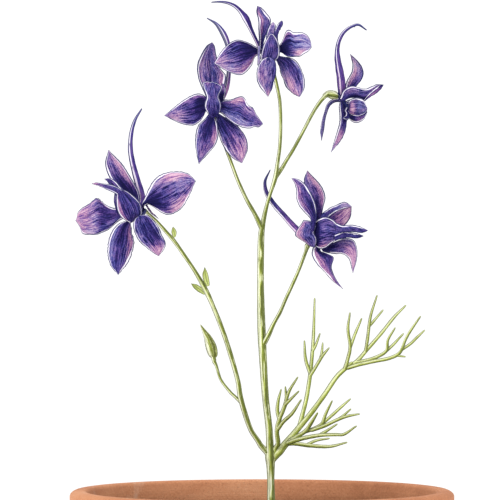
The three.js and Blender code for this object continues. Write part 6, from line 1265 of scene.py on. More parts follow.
class Mesh:
    """Collects vertices, faces, a UV per corner and point attributes."""

    def __init__(self):
        self.v, self.f, self.uv, self.n = [], [], [], 0
        self.att = {}

    def add(self, verts, faces, uv, **att):
        verts = np.asarray(verts, float).reshape(-1, 3)
        self.v.append(verts)
        self.f += [tuple(int(i) + self.n for i in f) for f in faces]
        self.uv += uv
        for k in set(self.att) | set(att):
            self.att.setdefault(k, [np.zeros(self.n)] if self.n else [])
            a = np.asarray(att.get(k, 0.0), float)
            self.att[k].append(np.broadcast_to(a.reshape(-1) if a.ndim else a, (len(verts),)).copy())
        self.n += len(verts)

    def build(self, name, material, node=None, slot=None, smooth=True):
        co = np.concatenate(self.v) * MM
        me = bpy.data.meshes.new(name)
        me.from_pydata(co.tolist(), [], self.f)
        layer = me.uv_layers.new(name="P")
        flat = np.array([c for face in self.uv for c in face], np.float32).reshape(-1)
        layer.data.foreach_set("uv", flat)
        for k, parts in self.att.items():
            a = me.attributes.new(k, "FLOAT", "POINT")
            a.data.foreach_set("value", np.concatenate(parts).astype(np.float32))
        me.polygons.foreach_set("use_smooth", [smooth] * len(me.polygons))
        me.materials.append(material)
        me.validate()
        me.update()
        o = bpy.data.objects.new(name, me)
        bpy.context.scene.collection.objects.link(o)
        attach(o, "root")
        if node:
            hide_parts(*([node] if isinstance(node, str) else node))
        return o


# ------------------------------------------------------------------ blades: sepals, petals, bracts
def blade_grid(rows, nt, nu, claw=None, claw_w=0.5, power=1.0):
    """Points (nt, nu, 3) on the blade's middle surface."""
    r = np.asarray(rows, float).reshape(-1, 3, 3)
    if claw is not None:
        c = np.asarray(claw, float)
        side = unit(r[0, 2] - r[0, 0])
        mid0 = r[0, 1]
        w0 = np.linalg.norm(r[0, 2] - r[0, 0]) / 2
        extra = []
        for s in (0.0, 0.5):
            m = c + (mid0 - c) * s
            w = claw_w + (w0 * 0.9 - claw_w) * s
            extra.append([m - side * w, m, m + side * w])
        r = np.concatenate([np.array(extra), r])
    a = along(np.concatenate([r[:, 1], r[:, 0], r[:, 2]], axis=1), nt, power)
    M, L, R = a[:, None, 0:3], a[:, None, 3:6], a[:, None, 6:9]
    u = np.linspace(-1, 1, nu)
    u = np.sign(u) * (1 - (1 - np.abs(u)) ** 1.25)
    u = u[None, :, None]
    return L * (u * (u - 1) / 2) + M * (1 - u * u) + R * (u * (u + 1) / 2), u[0, :, 0]


def add_blade(
    mesh, rows, seed, nt=52, nu=29, claw=None, claw_w=0.5, thick=0.24, ruffle=0.25, waves=2.4, channel=0.14, rib=0.03, curl=0.0,
    band=(0.3, 0.3, 0.2), pink=(0.0, 0.0, 0.0), base=0.0, spots=(), face=(0, -1, 0), power=1.15, scallop=0.07, grain=1.7, crown=(), ribs=9,
    tip_line=True, foot=0.12, rosy=(), span=(0.25, 0.9), gain=0.34, skew=0.0, margin_highlight_spots=(),
):
    """One sepal or petal.
    band: width in mm of the pale margin at the left edge, the right edge and the tip; the margin is partly the blade's
    paler rim and partly painted edge highlight, mostly wider on the left, lit side. pink: how far the left margin, the
    right margin
    and the tip go towards pink. spots: (u, t, size in u, size in t, amount) patches of lighter (+) or darker (-) tone.
    rosy: patches like spots, but towards pink (+) or towards blue (-). span, gain, skew: where along the blade the dark
    foot gives way to the lighter end, by how much, and how much sooner on the right side. whites: (u, t, size in u,
    size in t, mm) places where the pale margin and its painted edge highlight are wider. scallop: how far the margin
    swings in mm, grain: mm from one swing
    to the next. crown: (u, width, mm) lobes on a broad end."""
    P, u = blade_grid(rows, nt, nu, claw, claw_w, power)
    t = np.linspace(0, 1, nt)
    t = (1 - (1 - t) ** power)[:, None]
    U = u[None, :]
    env = np.sin(np.pi * np.clip(t, 0, 1)) ** 0.7 * smooth01(t * 4)
    w2, w3, w4, w5, w6 = (wobble(seed + k) for k in (101, 202, 303, 404, 505))
    dt = np.gradient(P, axis=0)
    du = np.gradient(P, axis=1)
    n = unit(np.cross(dt, du))
    mean = n[nt // 4 : -4].reshape(-1, 3).sum(0)
    flip = np.dot(mean, np.asarray(face, float)) < 0
    if flip:
        n = -n
    # the margin swings in and out in the blade's own plane
    for side, col, wa, wb in ((-1, 0, w5, w6), (1, nu - 1, w6, w5)):
        e = P[:, col]
        s = np.concatenate([[0], np.cumsum(np.linalg.norm(np.diff(e, axis=0), axis=1))])
        out = unit(np.cross(np.gradient(e, axis=0), n[:, col]))
        if np.mean(np.sum(out * du[:, col], axis=1)) * side < 0:
            out = -out
        a = scallop * (0.75 * wa(s / (grain * 2.6)) + 0.8 * wb(s / grain + side)) * smooth01(t[:, 0] * 3.2) * (1 - smooth01((t[:, 0] - 0.95) / 0.05))
        P = P + out[:, None, :] * (a[:, None] * np.where(U * side > 0, np.abs(U) ** 4, 0))[:, :, None]
    if crown:
        far = smooth01((t - 0.7) / 0.3)
        lift = sum(h * np.exp(-(((U - c) / w) ** 2)) for c, w, h in crown)
        P = P + unit(P[-1:, nu // 2 : nu // 2 + 1] - P[-8:-7, nu // 2 : nu // 2 + 1]) * (lift * far)[:, :, None]
    half_w = np.linalg.norm(P[:, -1] - P[:, 0], axis=1)[:, None] / 2
    scale = np.clip(half_w / 3.0, 0.15, 1.2)
    off = ruffle * env * np.abs(U) ** 2.4 * np.where(U < 0, w3(t * waves * 0.5 + 0.3 * np.abs(U)), w4(t * waves * 0.5 - 0.3 * np.abs(U))) * scale
    off = off - channel * env * np.exp(-((U / 0.11) ** 2)) * scale
    off = off + rib * env * np.cos(np.pi * ribs * U * (1 + 0.06 * w2(t + 0.3))) * (1 - np.abs(U) ** 3) * scale
    off = off + curl * env * np.abs(U) ** 3
    # broad shallow dents that make the surface read as soft tissue
    off = off + 0.10 * env * scale * np.sin(2.2 * np.pi * (t * 1.3 + w2(U * 0.4 + 0.2))) * np.cos(1.6 * U + seed)
    P = P + n * off[:, :, None]
    dt = np.gradient(P, axis=0)
    du = np.gradient(P, axis=1)
    n2 = unit(np.cross(dt, du)) * (-1 if flip else 1)
    n = unit(n2 + 0.15 * n)
    th = thick * (0.32 + 0.68 * (1 - np.abs(U) ** 2.5)) * (0.55 + 0.45 * np.sin(np.pi * np.clip(1 - t, 0.02, 1)) ** 0.4) * np.ones_like(t)
    th = np.minimum(th, 0.9 * np.maximum(half_w, 0.04))
    top, bot = P + n * th[:, :, None] / 2, P - n * th[:, :, None] / 2
    # distance to the nearest margin, in mm
    side = (1 - np.abs(U)) * half_w
    length = np.linalg.norm(np.diff(P[:, nu // 2], axis=0), axis=1).sum()
    s_mid = np.concatenate([[0], np.cumsum(np.linalg.norm(np.diff(P[:, nu // 2], axis=0), axis=1))])[:, None]
    to_tip = (length - s_mid) * (1 - 0.35 * np.abs(U) ** 2) + 0 * U
    rim = np.minimum(side, to_tip) if tip_line else side + 0 * t
    # how wide the pale margin is here, partly paler rim and partly painted edge highlight: three widths blended round
    # the outline, none near the foot
    near_tip = smooth01((t - 0.72) / 0.2)
    lr = np.where(U < 0, band[0], band[1])
    wide = (lr * (1 - near_tip) + band[2] * near_tip) * smooth01((t - foot) / 0.14)
    wide = 0.62 * wide
    for us, ts, ru, rt, am in margin_highlight_spots:
        wide = wide + am * np.exp(-(((U - us) / ru) ** 2) - ((t - ts) / rt) ** 2)
    wide = np.minimum(wide, 0.6 * half_w)
    # narrow blades carry a thinner outline
    rim = rim * np.clip(0.95 / half_w, 1.0, 2.6)
    blush = (
        pink[0] * np.clip(-U, 0, 1) ** 1.5 * smooth01((t - 0.12) * 2.2)
        + pink[1] * np.clip(U, 0, 1) ** 1.5 * smooth01((t - 0.12) * 2.2)
        + pink[2] * smooth01((t - 0.45) / 0.5)
    )
    for us, ts, ru, rt, am in rosy:
        blush = blush + am * np.exp(-(((U - us) / ru) ** 2) - ((t - ts) / rt) ** 2)
    tone = base + gain * smooth01((t + skew * U - span[0]) / (span[1] - span[0]))
    for us, ts, ru, rt, am in spots:
        tone = tone + am * np.exp(-(((U - us) / ru) ** 2) - ((t - ts) / rt) ** 2)
    idx = lambda s, i, j: s * nt * nu + i * nu + j
    faces, uv = [], []
    uu = (u + 1) / 2
    tt = t[:, 0]
    for i in range(nt - 1):
        for j in range(nu - 1):
            q = [(i, j), (i, j + 1), (i + 1, j + 1), (i + 1, j)]
            c = [(uu[b], tt[a]) for a, b in q]
            fa = [idx(0, a, b) for a, b in q]
            fb = [idx(1, a, b) for a, b in q]
            if flip:
                faces.append(fa[::-1]); uv.append(c[::-1]); faces.append(fb); uv.append(c)
            else:
                faces.append(fa); uv.append(c); faces.append(fb[::-1]); uv.append(c[::-1])
    ring = [(0, j) for j in range(nu)] + [(i, nu - 1) for i in range(1, nt)] + [(nt - 1, j) for j in range(nu - 2, -1, -1)] + [(i, 0) for i in range(nt - 2, 0, -1)]
    for k2 in range(len(ring)):
        a, b = ring[k2], ring[(k2 + 1) % len(ring)]
        f = [idx(0, *a), idx(1, *a), idx(1, *b), idx(0, *b)]
        c = [(uu[a[1]], tt[a[0]]), (uu[a[1]], tt[a[0]]), (uu[b[1]], tt[b[0]]), (uu[b[1]], tt[b[0]])]
        if flip:
            f, c = f[::-1], c[::-1]
        faces.append(f); uv.append(c)
    both = lambda x: np.concatenate([np.broadcast_to(x, (nt, nu)).reshape(-1)] * 2)
    front = np.concatenate([np.ones(nt * nu), np.zeros(nt * nu)])
    mesh.add(
        np.concatenate([top.reshape(-1, 3), bot.reshape(-1, 3)]), faces, uv,
        rim=both(rim), front=front, band=both(wide), tone=both(tone), blush=both(blush), seed=(seed % 97) / 9.7,
    )
    return P


# ------------------------------------------------------------------ tubes: spurs, stems, leaf segments
def frames(c, ref=(0, -1, 0)):
    d = unit(np.gradient(c, axis=0))
    up = np.asarray(ref, float)
    ups = []
    for i in range(len(c)):
        up = up - d[i] * np.dot(up, d[i])
        if np.linalg.norm(up) < 1e-4:
            up = np.array([1.0, 0, 0]) - d[i] * d[i][0]
        up = up / np.linalg.norm(up)
        ups.append(up)
    ups = np.array(ups)
    return d, ups, np.cross(d, ups)


def add_tube(mesh, rows, seed, rings=60, sides=16, ridges=0, ridge=0.0, flat=1.0, lump=0.03, tip=0.0, line=0.16, ref=(0, -1, 0), marks=(), **att):
    """tip: how far the end is drawn out, in radii. flat squeezes the section along its reference direction. marks: (place across from
    -1 to 1, height, size across, size in height, amount) shifts of the tone."""
    a = along(rows, rings)
    c, r = a[:, :3], np.maximum(a[:, 3], 0.03)
    s = np.concatenate([[0], np.cumsum(np.linalg.norm(np.diff(c, axis=0), axis=1))])
    w = wobble(seed)
    d, up, rt = frames(c, ref)
    ang = np.linspace(0, 2 * np.pi, sides, endpoint=False)
    A = ang[None, :]
    R = r[:, None] * (1 + lump * w(s / 9.0)[:, None]) * (1 + ridge * np.cos(ridges * A + 0.4 * w(s / 30.0)[:, None]))
    R = R * (1 + 0.02 * wobble(seed + 7)(s[:, None] / 3.0 + A / 6.283))
    V = c[:, None] + up[:, None] * (R * np.cos(A) * flat)[:, :, None] + rt[:, None] * (R * np.sin(A))[:, :, None]
    # rounded ends
    def cap(k, sign, reach):
        out = []
        for z in (0.45, 0.8, 0.96):
            out.append(c[k] + d[k] * sign * r[k] * z * reach + (V[k] - c[k]) * math.sqrt(1 - z * z))
        return out, c[k] + d[k] * sign * r[k] * reach
    head, tip_pt = cap(-1, 1, 1.0 + tip)
    foot_r, foot_pt = cap(0, -1, 0.6)
    rings_all = [x for x in foot_r[::-1]] + [V[i] for i in range(rings)] + head
    ss = np.concatenate([[s[0]] * 3, s, [s[-1]] * 3])
    rr = np.concatenate([[r[0]] * 3, r, [r[-1]] * 3])
    allv = np.concatenate([np.array(rings_all).reshape(-1, 3), [foot_pt], [tip_pt]])
    nr = len(rings_all)
    faces, uv = [], []
    L = s[-1]
    for i in range(nr - 1):
        for j in range(sides):
            k = (j + 1) % sides
            faces.append((i * sides + j, i * sides + k, (i + 1) * sides + k, (i + 1) * sides + j))
            u0, u1 = j / sides, (j + 1) / sides
            uv.append([(u0, ss[i] / L), (u1, ss[i] / L), (u1, ss[i + 1] / L), (u0, ss[i + 1] / L)])
    F, T2 = nr * sides, nr * sides + 1
    for j in range(sides):
        k = (j + 1) % sides
        faces.append((F, k, j)); uv.append([((j + 0.5) / sides, 0), ((j + 1) / sides, 0), (j / sides, 0)])
        faces.append((T2, (nr - 1) * sides + j, (nr - 1) * sides + k)); uv.append([((j + 0.5) / sides, 1), (j / sides, 1), ((j + 1) / sides, 1)])
    mm = np.concatenate([np.repeat(ss, sides), [ss[0], ss[-1]]])
    # a flank of even width: the share of a turn between the flank's middle and where it ends
    share = 0.25 - np.arcsin(np.clip(1 - line / rr, 0.0, 1)) / (2 * np.pi)
    flank = np.concatenate([np.repeat(share, sides), [share[0], share[-1]]])
    if marks:
        side = np.concatenate([np.tile(np.sin(ang), nr), [0.0, 0.0]])
        shift = np.full(len(allv), float(att.get("tone", 0.0)))
        for q, z, rq, rz, am in marks:
            shift += am * np.exp(-(((side - q) / rq) ** 2) - ((allv[:, 2] - z) / rz) ** 2)
        att["tone"] = shift
    mesh.add(allv, faces, uv, mm=mm, flank=flank, seed=(seed % 97) / 9.7, **att)
    return c


# ------------------------------------------------------------------ node materials
class Nodes:
    """Short hand for building a node tree."""

    def __init__(self, name):
        self.m = bpy.data.materials.new(name)
        self.m.use_nodes = True
        self.t = self.m.node_tree
        self.t.nodes.clear()
        self.out = self.t.nodes.new("ShaderNodeOutputMaterial")
        self.b = self.t.nodes.new("ShaderNodeBsdfPrincipled")
        self.t.links.new(self.b.outputs[0], self.out.inputs[0])

    def link(self, value, socket):
        if hasattr(value, "is_output"):
            self.t.links.new(value, socket)
        else:
            socket.default_value = value

    def math(self, op, a, b=0.0, c=0.0, clamp=False):
        n = self.t.nodes.new("ShaderNodeMath")
        n.operation, n.use_clamp = op, clamp
        for v, s in zip((a, b, c), n.inputs):
            self.link(v, s)
        return n.outputs[0]

    def att(self, name):
        n = self.t.nodes.new("ShaderNodeAttribute")
        n.attribute_name = name
        return n.outputs["Fac"]

    def uv(self):
        n = self.t.nodes.new("ShaderNodeUVMap")
        n.uv_map = "P"
        s = self.t.nodes.new("ShaderNodeSeparateXYZ")
        self.t.links.new(n.outputs[0], s.inputs[0])
        return s.outputs[0], s.outputs[1]

    def xyz(self, x, y, z=0.0):
        n = self.t.nodes.new("ShaderNodeCombineXYZ")
        for v, s in zip((x, y, z), n.inputs):
            self.link(v, s)
        return n.outputs[0]

    def noise(self, vec, scale=1.0, detail=2.0, rough=0.5, distort=0.0):
        n = self.t.nodes.new("ShaderNodeTexNoise")
        self.link(vec, n.inputs["Vector"])
        n.inputs["Scale"].default_value = scale
        n.inputs["Detail"].default_value = detail
        n.inputs["Roughness"].default_value = rough
        n.inputs["Distortion"].default_value = distort
        return n.outputs["Fac"]

    def ramp(self, fac, stops, mode="LINEAR"):
        n = self.t.nodes.new("ShaderNodeValToRGB")
        n.color_ramp.interpolation = mode
        e = n.color_ramp.elements
        while len(e) > 1:
            e.remove(e[-1])
        for k, (pos, col) in enumerate(stops):
            x = e[0] if k == 0 else e.new(pos)
            x.position = pos
            x.color = (*col, 1) if len(col) == 3 else col
        self.link(fac, n.inputs[0])
        return n.outputs[0]

    def step(self, x, lo, hi):
        """0 at lo, 1 at hi, smooth between."""
        n = self.t.nodes.new("ShaderNodeMapRange")
        n.interpolation_type = "SMOOTHSTEP"
        self.link(x, n.inputs[0])
        n.inputs[1].default_value, n.inputs[2].default_value = lo, hi
        return n.outputs[0]

    def mix(self, fac, a, b, mode="MIX"):
        n = self.t.nodes.new("ShaderNodeMix")
        n.data_type, n.blend_type = "RGBA", mode
        n.clamp_result = False
        self.link(fac, n.inputs[0])
        for v, s in ((a, n.inputs[6]), (b, n.inputs[7])):
            self.link((*v, 1) if isinstance(v, tuple) and len(v) == 3 else v, s)
        return n.outputs[2]

    def shade(self, colour, factor):
        """colour times a number."""
        n = self.t.nodes.new("ShaderNodeVectorMath")
        n.operation = "SCALE"
        self.link(colour, n.inputs[0])
        self.link(factor, n.inputs["Scale"])
        return n.outputs[0]

    def bump(self, height, strength=0.3, distance=0.0001):
        n = self.t.nodes.new("ShaderNodeBump")
        n.inputs["Strength"].default_value = strength
        n.inputs["Distance"].default_value = distance
        self.link(height, n.inputs["Height"])
        return n.outputs[0]

    def obj(self, scale=1000.0):
        """Position in the object, in millimetres."""
        n = self.t.nodes.new("ShaderNodeTexCoord")
        v = self.t.nodes.new("ShaderNodeVectorMath")
        v.operation = "SCALE"
        self.t.links.new(n.outputs["Object"], v.inputs[0])
        v.inputs["Scale"].default_value = scale
        return v.outputs[0]

    def finish(self, colour, rough, normal=None, **fixed):
        self.link(colour, self.b.inputs["Base Color"])
        self.link(rough, self.b.inputs["Roughness"])
        if normal is not None:
            self.t.links.new(normal, self.b.inputs["Normal"])
        for k, v in fixed.items():
            self.b.inputs[k.replace("_", " ")].default_value = v
        return self.m


def srgb(r, g, b):
    """Linear values of a colour given in 0 to 255."""
    f = lambda c: c / 12.92 if c <= 0.04045 else ((c + 0.055) / 1.055) ** 2.4
    return tuple(round(f(c / 255), 4) for c in (r, g, b))


INK = srgb(34, 38, 88)  # the thin dark line along a margin
BLUE_STOPS = [
    (0.0, srgb(18, 16, 60)), (0.16, srgb(30, 28, 86)), (0.32, srgb(47, 44, 113)), (0.48, srgb(69, 67, 136)), (0.64, srgb(94, 93, 155)),
    (0.8, srgb(127, 124, 174)), (1.0, srgb(170, 167, 200)),
]
ROSE_STOPS = [
    (0.0, srgb(29, 16, 68)), (0.16, srgb(53, 30, 95)), (0.32, srgb(82, 50, 119)), (0.48, srgb(116, 75, 137)), (0.64, srgb(149, 103, 148)),
    (0.8, srgb(176, 131, 161)), (1.0, srgb(205, 168, 187)),
]


def petal_material(name, offset=0.0, lines=17.0, dark_line=0.38, light_line=0.2, margin_highlight_white=srgb(238, 233, 243), back_shift=0.05, x_gain=0.1, rows=0.0):
    k = Nodes(name)
    u, t = k.uv()
    seed = k.att("seed")
    x = k.math("MULTIPLY", k.math("ABSOLUTE", k.math("SUBTRACT", u, 0.5)), 2.0)
    # streaks run along the blade and fan with it, because u is a share of the width
    broad = k.noise(k.xyz(k.math("MULTIPLY_ADD", u, 4.2, seed), k.math("MULTIPLY", t, 1.6), seed), 1.0, 3.0, 0.55, 0.3)
    fine = k.noise(k.xyz(k.math("MULTIPLY", u, 12.0), k.math("MULTIPLY", t, 2.4), seed), 1.0, 2.0, 0.5, 0.3)
    hatch = k.noise(k.xyz(k.math("MULTIPLY", u, 36.0), k.math("MULTIPLY", t, 5.0), seed), 1.0, 2.0, 0.55, 0.15)
    patch = k.noise(k.obj(), 0.75, 2.0, 0.5)
    tooth = k.noise(k.obj(), 3.0, 2.0, 0.6)
    blush = k.att("blush")
    s = k.math("MULTIPLY", k.math("POWER", x, 2.0), x_gain)
    s = k.math("ADD", s, k.att("tone"))
    s = k.math("ADD", s, offset)
    s = k.math("ADD", s, k.math("MULTIPLY", blush, 0.36))
    # strokes are fainter in the deep foot of the blade
    lively = k.math("MULTIPLY_ADD", k.step(s, 0.12, 0.5), 0.7, 0.4)
    stroke = k.math("MULTIPLY", k.math("SUBTRACT", broad, 0.5), 0.1)
    stroke = k.math("ADD", stroke, k.math("MULTIPLY", k.math("SUBTRACT", k.step(fine, 0.3, 0.7), 0.5), 0.09))
    stroke = k.math("ADD", stroke, k.math("MULTIPLY", k.math("SUBTRACT", k.step(hatch, 0.39, 0.61), 0.5), 0.44))
    stroke = k.math("ADD", stroke, k.math("MULTIPLY", k.math("SUBTRACT", k.step(tooth, 0.34, 0.66), 0.5), 0.2))
    stroke = k.math("ADD", stroke, k.math("MULTIPLY", k.math("SUBTRACT", patch, 0.5), 0.1))
    s = k.math("ADD", s, k.math("MULTIPLY", stroke, lively))
    # deeper darks and lighter middle tones
    s = k.math("ADD", s, k.math("MULTIPLY_ADD", k.step(s, 0.14, 0.4), 0.17, -0.1))
    s = k.math("ADD", s, k.math("MULTIPLY", k.math("SUBTRACT", 1.0, k.att("front")), back_shift), clamp=True)
    rose = k.math("ADD", k.math("MULTIPLY", blush, 1.5), k.math("MULTIPLY", k.math("SUBTRACT", broad, 0.5), -0.9))
    rose = k.math("ADD", rose, k.math("MULTIPLY", k.math("SUBTRACT", patch, 0.5), 0.9))
    rose = k.math("ADD", rose, k.math("MULTIPLY_ADD", k.math("SUBTRACT", hatch, 0.5), 1.0, 0.1), clamp=True)
    colour = k.mix(rose, k.ramp(s, BLUE_STOPS), k.ramp(s, ROSE_STOPS))
    # veins: dark strokes at even shares of the width with pale strokes between them, a little wavy and broken
    wave = k.noise(k.xyz(k.math("MULTIPLY", u, 2.0), k.math("MULTIPLY", t, 1.6), seed), 1.0, 1.0)
    f = k.math("FRACT", k.math("MULTIPLY_ADD", u, lines, k.math("MULTIPLY", wave, 1.1)))
    d = k.math("ABSOLUTE", k.math("SUBTRACT", f, 0.5))
    gap = k.noise(k.xyz(k.math("MULTIPLY", u, 9.0), k.math("MULTIPLY", t, 6.0), k.math("ADD", seed, 7.7)), 1.0, 2.0)
    fade = k.math("MULTIPLY", k.step(t, 0.02, 0.2), k.math("SUBTRACT", 1.0, k.math("MULTIPLY", k.step(t, 0.5, 0.92), 0.72)))
    fade = k.math("MULTIPLY", fade, k.math("SUBTRACT", 1.0, k.math("MULTIPLY", k.step(x, 0.7, 1.0), 0.5)))
    veins = k.math("SUBTRACT", 1.0, k.step(d, 0.08, 0.2))
    veins = k.math("MULTIPLY", k.math("MULTIPLY", veins, k.step(gap, 0.3, 0.6)), fade)
    glow = k.math("MULTIPLY", k.step(d, 0.3, 0.42), k.math("MULTIPLY", k.step(gap, 0.5, 0.4), k.math("MULTIPLY", fade, k.step(s, 0.24, 0.44))))
    if rows:
        # fine upright strokes over the rounded hood, and light hoops near its far side
        up = k.noise(k.xyz(k.math("MULTIPLY", u, 1.6), k.math("MULTIPLY", t, rows), seed), 1.0, 2.0, 0.6, 0.2)
        veins = k.math("MAXIMUM", k.math("MULTIPLY", veins, 0.25), k.math("MULTIPLY", k.step(up, 0.52, 0.64), 0.8))
        hoop = k.math("MULTIPLY", k.step(d, 0.3, 0.42), k.math("MULTIPLY", k.step(t, 0.5, 0.72), k.step(u, 0.62, 0.5)))
        glow = k.math("MAXIMUM", k.math("MULTIPLY", k.step(up, 0.46, 0.34), 0.7), hoop)
    colour = k.mix(k.math("MULTIPLY", glow, light_line), colour, k.mix(rose, srgb(164, 164, 206), srgb(206, 170, 204)))
    colour = k.mix(k.math("MULTIPLY", veins, dark_line), colour, srgb(30, 27, 76))
    # pale margin, partly the blade's paler rim and partly painted edge highlight, uneven in width, then a thin dark
    # line at the very edge
    rim = k.att("rim")
    gate = k.noise(k.xyz(k.math("MULTIPLY", u, 1.6), k.math("MULTIPLY", t, 5.0), k.math("ADD", seed, 3.3)), 1.0, 2.0)
    width = k.math("MULTIPLY", k.att("band"), k.math("MULTIPLY_ADD", gate, 2.6, -0.35))
    inner = k.math("SUBTRACT", rim, k.math("ADD", width, 0.25))
    pale = k.math("SUBTRACT", 1.0, k.step(inner, -0.03, 0.05))
    pale = k.math("MULTIPLY", pale, k.step(width, 0.02, 0.07))
    colour = k.mix(k.math("MULTIPLY", pale, 0.96), colour, margin_highlight_white)
    edge = k.math("SUBTRACT", 1.0, k.step(rim, 0.23, 0.29))
    ink = k.math("MULTIPLY", edge, 0.94)
    colour = k.mix(ink, colour, INK)
    height = k.math("SUBTRACT", k.math("MULTIPLY", hatch, 0.6), veins)
    height = k.math("ADD", height, k.math("MULTIPLY", tooth, 0.4))
    rough = k.math("MULTIPLY_ADD", hatch, 0.2, 0.5)
    return k.finish(colour, rough, k.bump(height, 0.35, 0.00006), Sheen_Weight=0.01, Sheen_Roughness=0.4, Specular_IOR_Level=0.05)


sepal_mat = petal_material("sepal_violet", offset=0.182)
hood_mat = petal_material("petal_indigo", offset=0.25, x_gain=0.06, lines=12.0)
boss_mat = petal_material("petal_hooped", offset=0.32, x_gain=0.0, lines=9.0, rows=40.0, dark_line=0.36, light_line=0.4)


def spur_material():
    """Dark violet with one long painted highlight down one side, thin dark flanks and a greyed tip."""
    k = Nodes("spur_violet")
    a, t = k.uv()
    seed = k.att("seed")
    mm = k.att("mm")
    fine = k.noise(k.xyz(k.math("MULTIPLY", a, 16.0), k.math("MULTIPLY", mm, 0.35), seed), 1.0, 3.0)
    broad = k.noise(k.xyz(k.math("MULTIPLY", a, 5.0), k.math("MULTIPLY", mm, 0.2), seed), 1.0, 2.0)
    s = k.math("ADD", k.math("MULTIPLY", k.math("SUBTRACT", k.step(fine, 0.36, 0.64), 0.5), 0.24), k.math("MULTIPLY", k.math("SUBTRACT", broad, 0.5), 0.4))
    s = k.math("ADD", s, k.math("MULTIPLY_ADD", t, 0.14, 0.24))
    foot = k.math("MULTIPLY", k.att("rosy"), k.math("SUBTRACT", 1.0, k.step(t, 0.12, 0.42)))
    s = k.math("ADD", s, k.math("MULTIPLY", foot, 0.25))
    s = k.math("ADD", s, k.att("tone"), clamp=True)
    rose = k.math("ADD", foot, k.math("MULTIPLY_ADD", k.math("SUBTRACT", broad, 0.5), 1.6, 0.3), clamp=True)
    colour = k.mix(rose, k.ramp(s, BLUE_STOPS), k.ramp(s, ROSE_STOPS))
    # the painted highlight lies at one angle round the spur, on the side where light would catch it
    d = k.math("ABSOLUTE", k.math("SUBTRACT", a, k.att("streak")))
    d = k.math("ADD", d, k.math("MULTIPLY", k.math("SUBTRACT", broad, 0.5), 0.05))
    pale = k.math("SUBTRACT", 1.0, k.step(k.math("SUBTRACT", d, k.att("streak_w")), -0.012, 0.012))
    pale = k.math("MULTIPLY", pale, k.step(k.math("ADD", fine, k.att("streak_w")), 0.36, 0.44))
    colour = k.mix(k.math("MULTIPLY", pale, 0.93), colour, k.mix(k.step(t, 0.0, 0.5), srgb(214, 186, 214), srgb(230, 225, 237)))
    colour = k.mix(k.math("MULTIPLY", k.step(t, 0.75, 1.0), 0.55), colour, srgb(84, 94, 140))
    f = k.math("ABSOLUTE", k.math("SUBTRACT", k.math("MODULO", a, 0.5), 0.25))
    dark = k.math("SUBTRACT", 1.0, k.step(k.math("SUBTRACT", f, k.att("flank")), -0.01, 0.01))
    colour = k.mix(k.math("MULTIPLY", dark, 0.85), colour, INK)
    return k.finish(colour, k.math("MULTIPLY_ADD", fine, 0.2, 0.5), k.bump(fine, 0.3, 0.00008), Sheen_Weight=0.01, Specular_IOR_Level=0.06)


spur_mat = spur_material()


def green_material(name, stops, wander=0.16, stroke=0.34, edge=0.8, ink=srgb(112, 118, 84), cells=14.0, length=0.12):
    """Long strokes along the stem. The stops run across it from its left side to its right: a greyed margin, a pale
    strip of painted light, bright green, then olive that is painted shade on the right side, as if lit from the left."""
    k = Nodes(name)
    a, t = k.uv()
    seed = k.att("seed")
    mm = k.att("mm")
    fine = k.noise(k.xyz(k.math("MULTIPLY", a, cells), k.math("MULTIPLY", mm, length), seed), 1.0, 3.0, 0.6, 0.2)
    drift = k.noise(k.xyz(k.math("MULTIPLY", mm, 0.11), seed, 0.3), 1.0, 2.0, 0.5, 0.3)
    short = k.noise(k.xyz(k.math("MULTIPLY", a, cells * 0.7), k.math("MULTIPLY", mm, length * 2.0), seed), 1.0, 2.0, 0.6, 0.2)
    # painted light and shade: the left side of every tube is painted pale as if lit, the right side olive as if shaded
    across = k.math("SINE", k.math("MULTIPLY", a, 6.2832))
    p = k.math("MULTIPLY_ADD", across, 0.5, 0.5)
    p = k.math("ADD", p, k.math("MULTIPLY", k.math("SUBTRACT", drift, 0.5), wander * 2.0))
    p = k.math("ADD", p, k.math("MULTIPLY", k.math("SUBTRACT", fine, 0.5), 0.5))
    p = k.math("ADD", p, k.att("tone"), clamp=True)
    colour = k.ramp(p, stops)
    dark = k.step(fine, 0.5, 0.6)
    colour = k.mix(k.math("MULTIPLY", dark, stroke), colour, srgb(88, 96, 40))
    light = k.math("SUBTRACT", 1.0, k.step(short, 0.36, 0.45))
    colour = k.mix(k.math("MULTIPLY", light, stroke * 0.8), colour, srgb(222, 226, 178))
    f = k.math("ABSOLUTE", k.math("SUBTRACT", k.math("MODULO", a, 0.5), 0.25))
    rim = k.math("SUBTRACT", 1.0, k.step(k.math("SUBTRACT", f, k.att("flank")), -0.015, 0.015))
    rim = k.math("MULTIPLY", rim, k.math("MULTIPLY_ADD", short, 0.6, 0.6), clamp=True)
    colour = k.mix(k.math("MULTIPLY", rim, edge), colour, ink)
    colour = k.mix(k.att("darkness"), colour, srgb(66, 72, 34))
    cells = k.noise(k.obj(), 5.0, 2.0)
    height = k.math("ADD", fine, k.math("MULTIPLY", cells, 0.3))
    return k.finish(colour, k.math("MULTIPLY_ADD", fine, 0.25, 0.48), k.bump(height, 0.4, 0.0001), Specular_IOR_Level=0.15, Sheen_Weight=0.02)


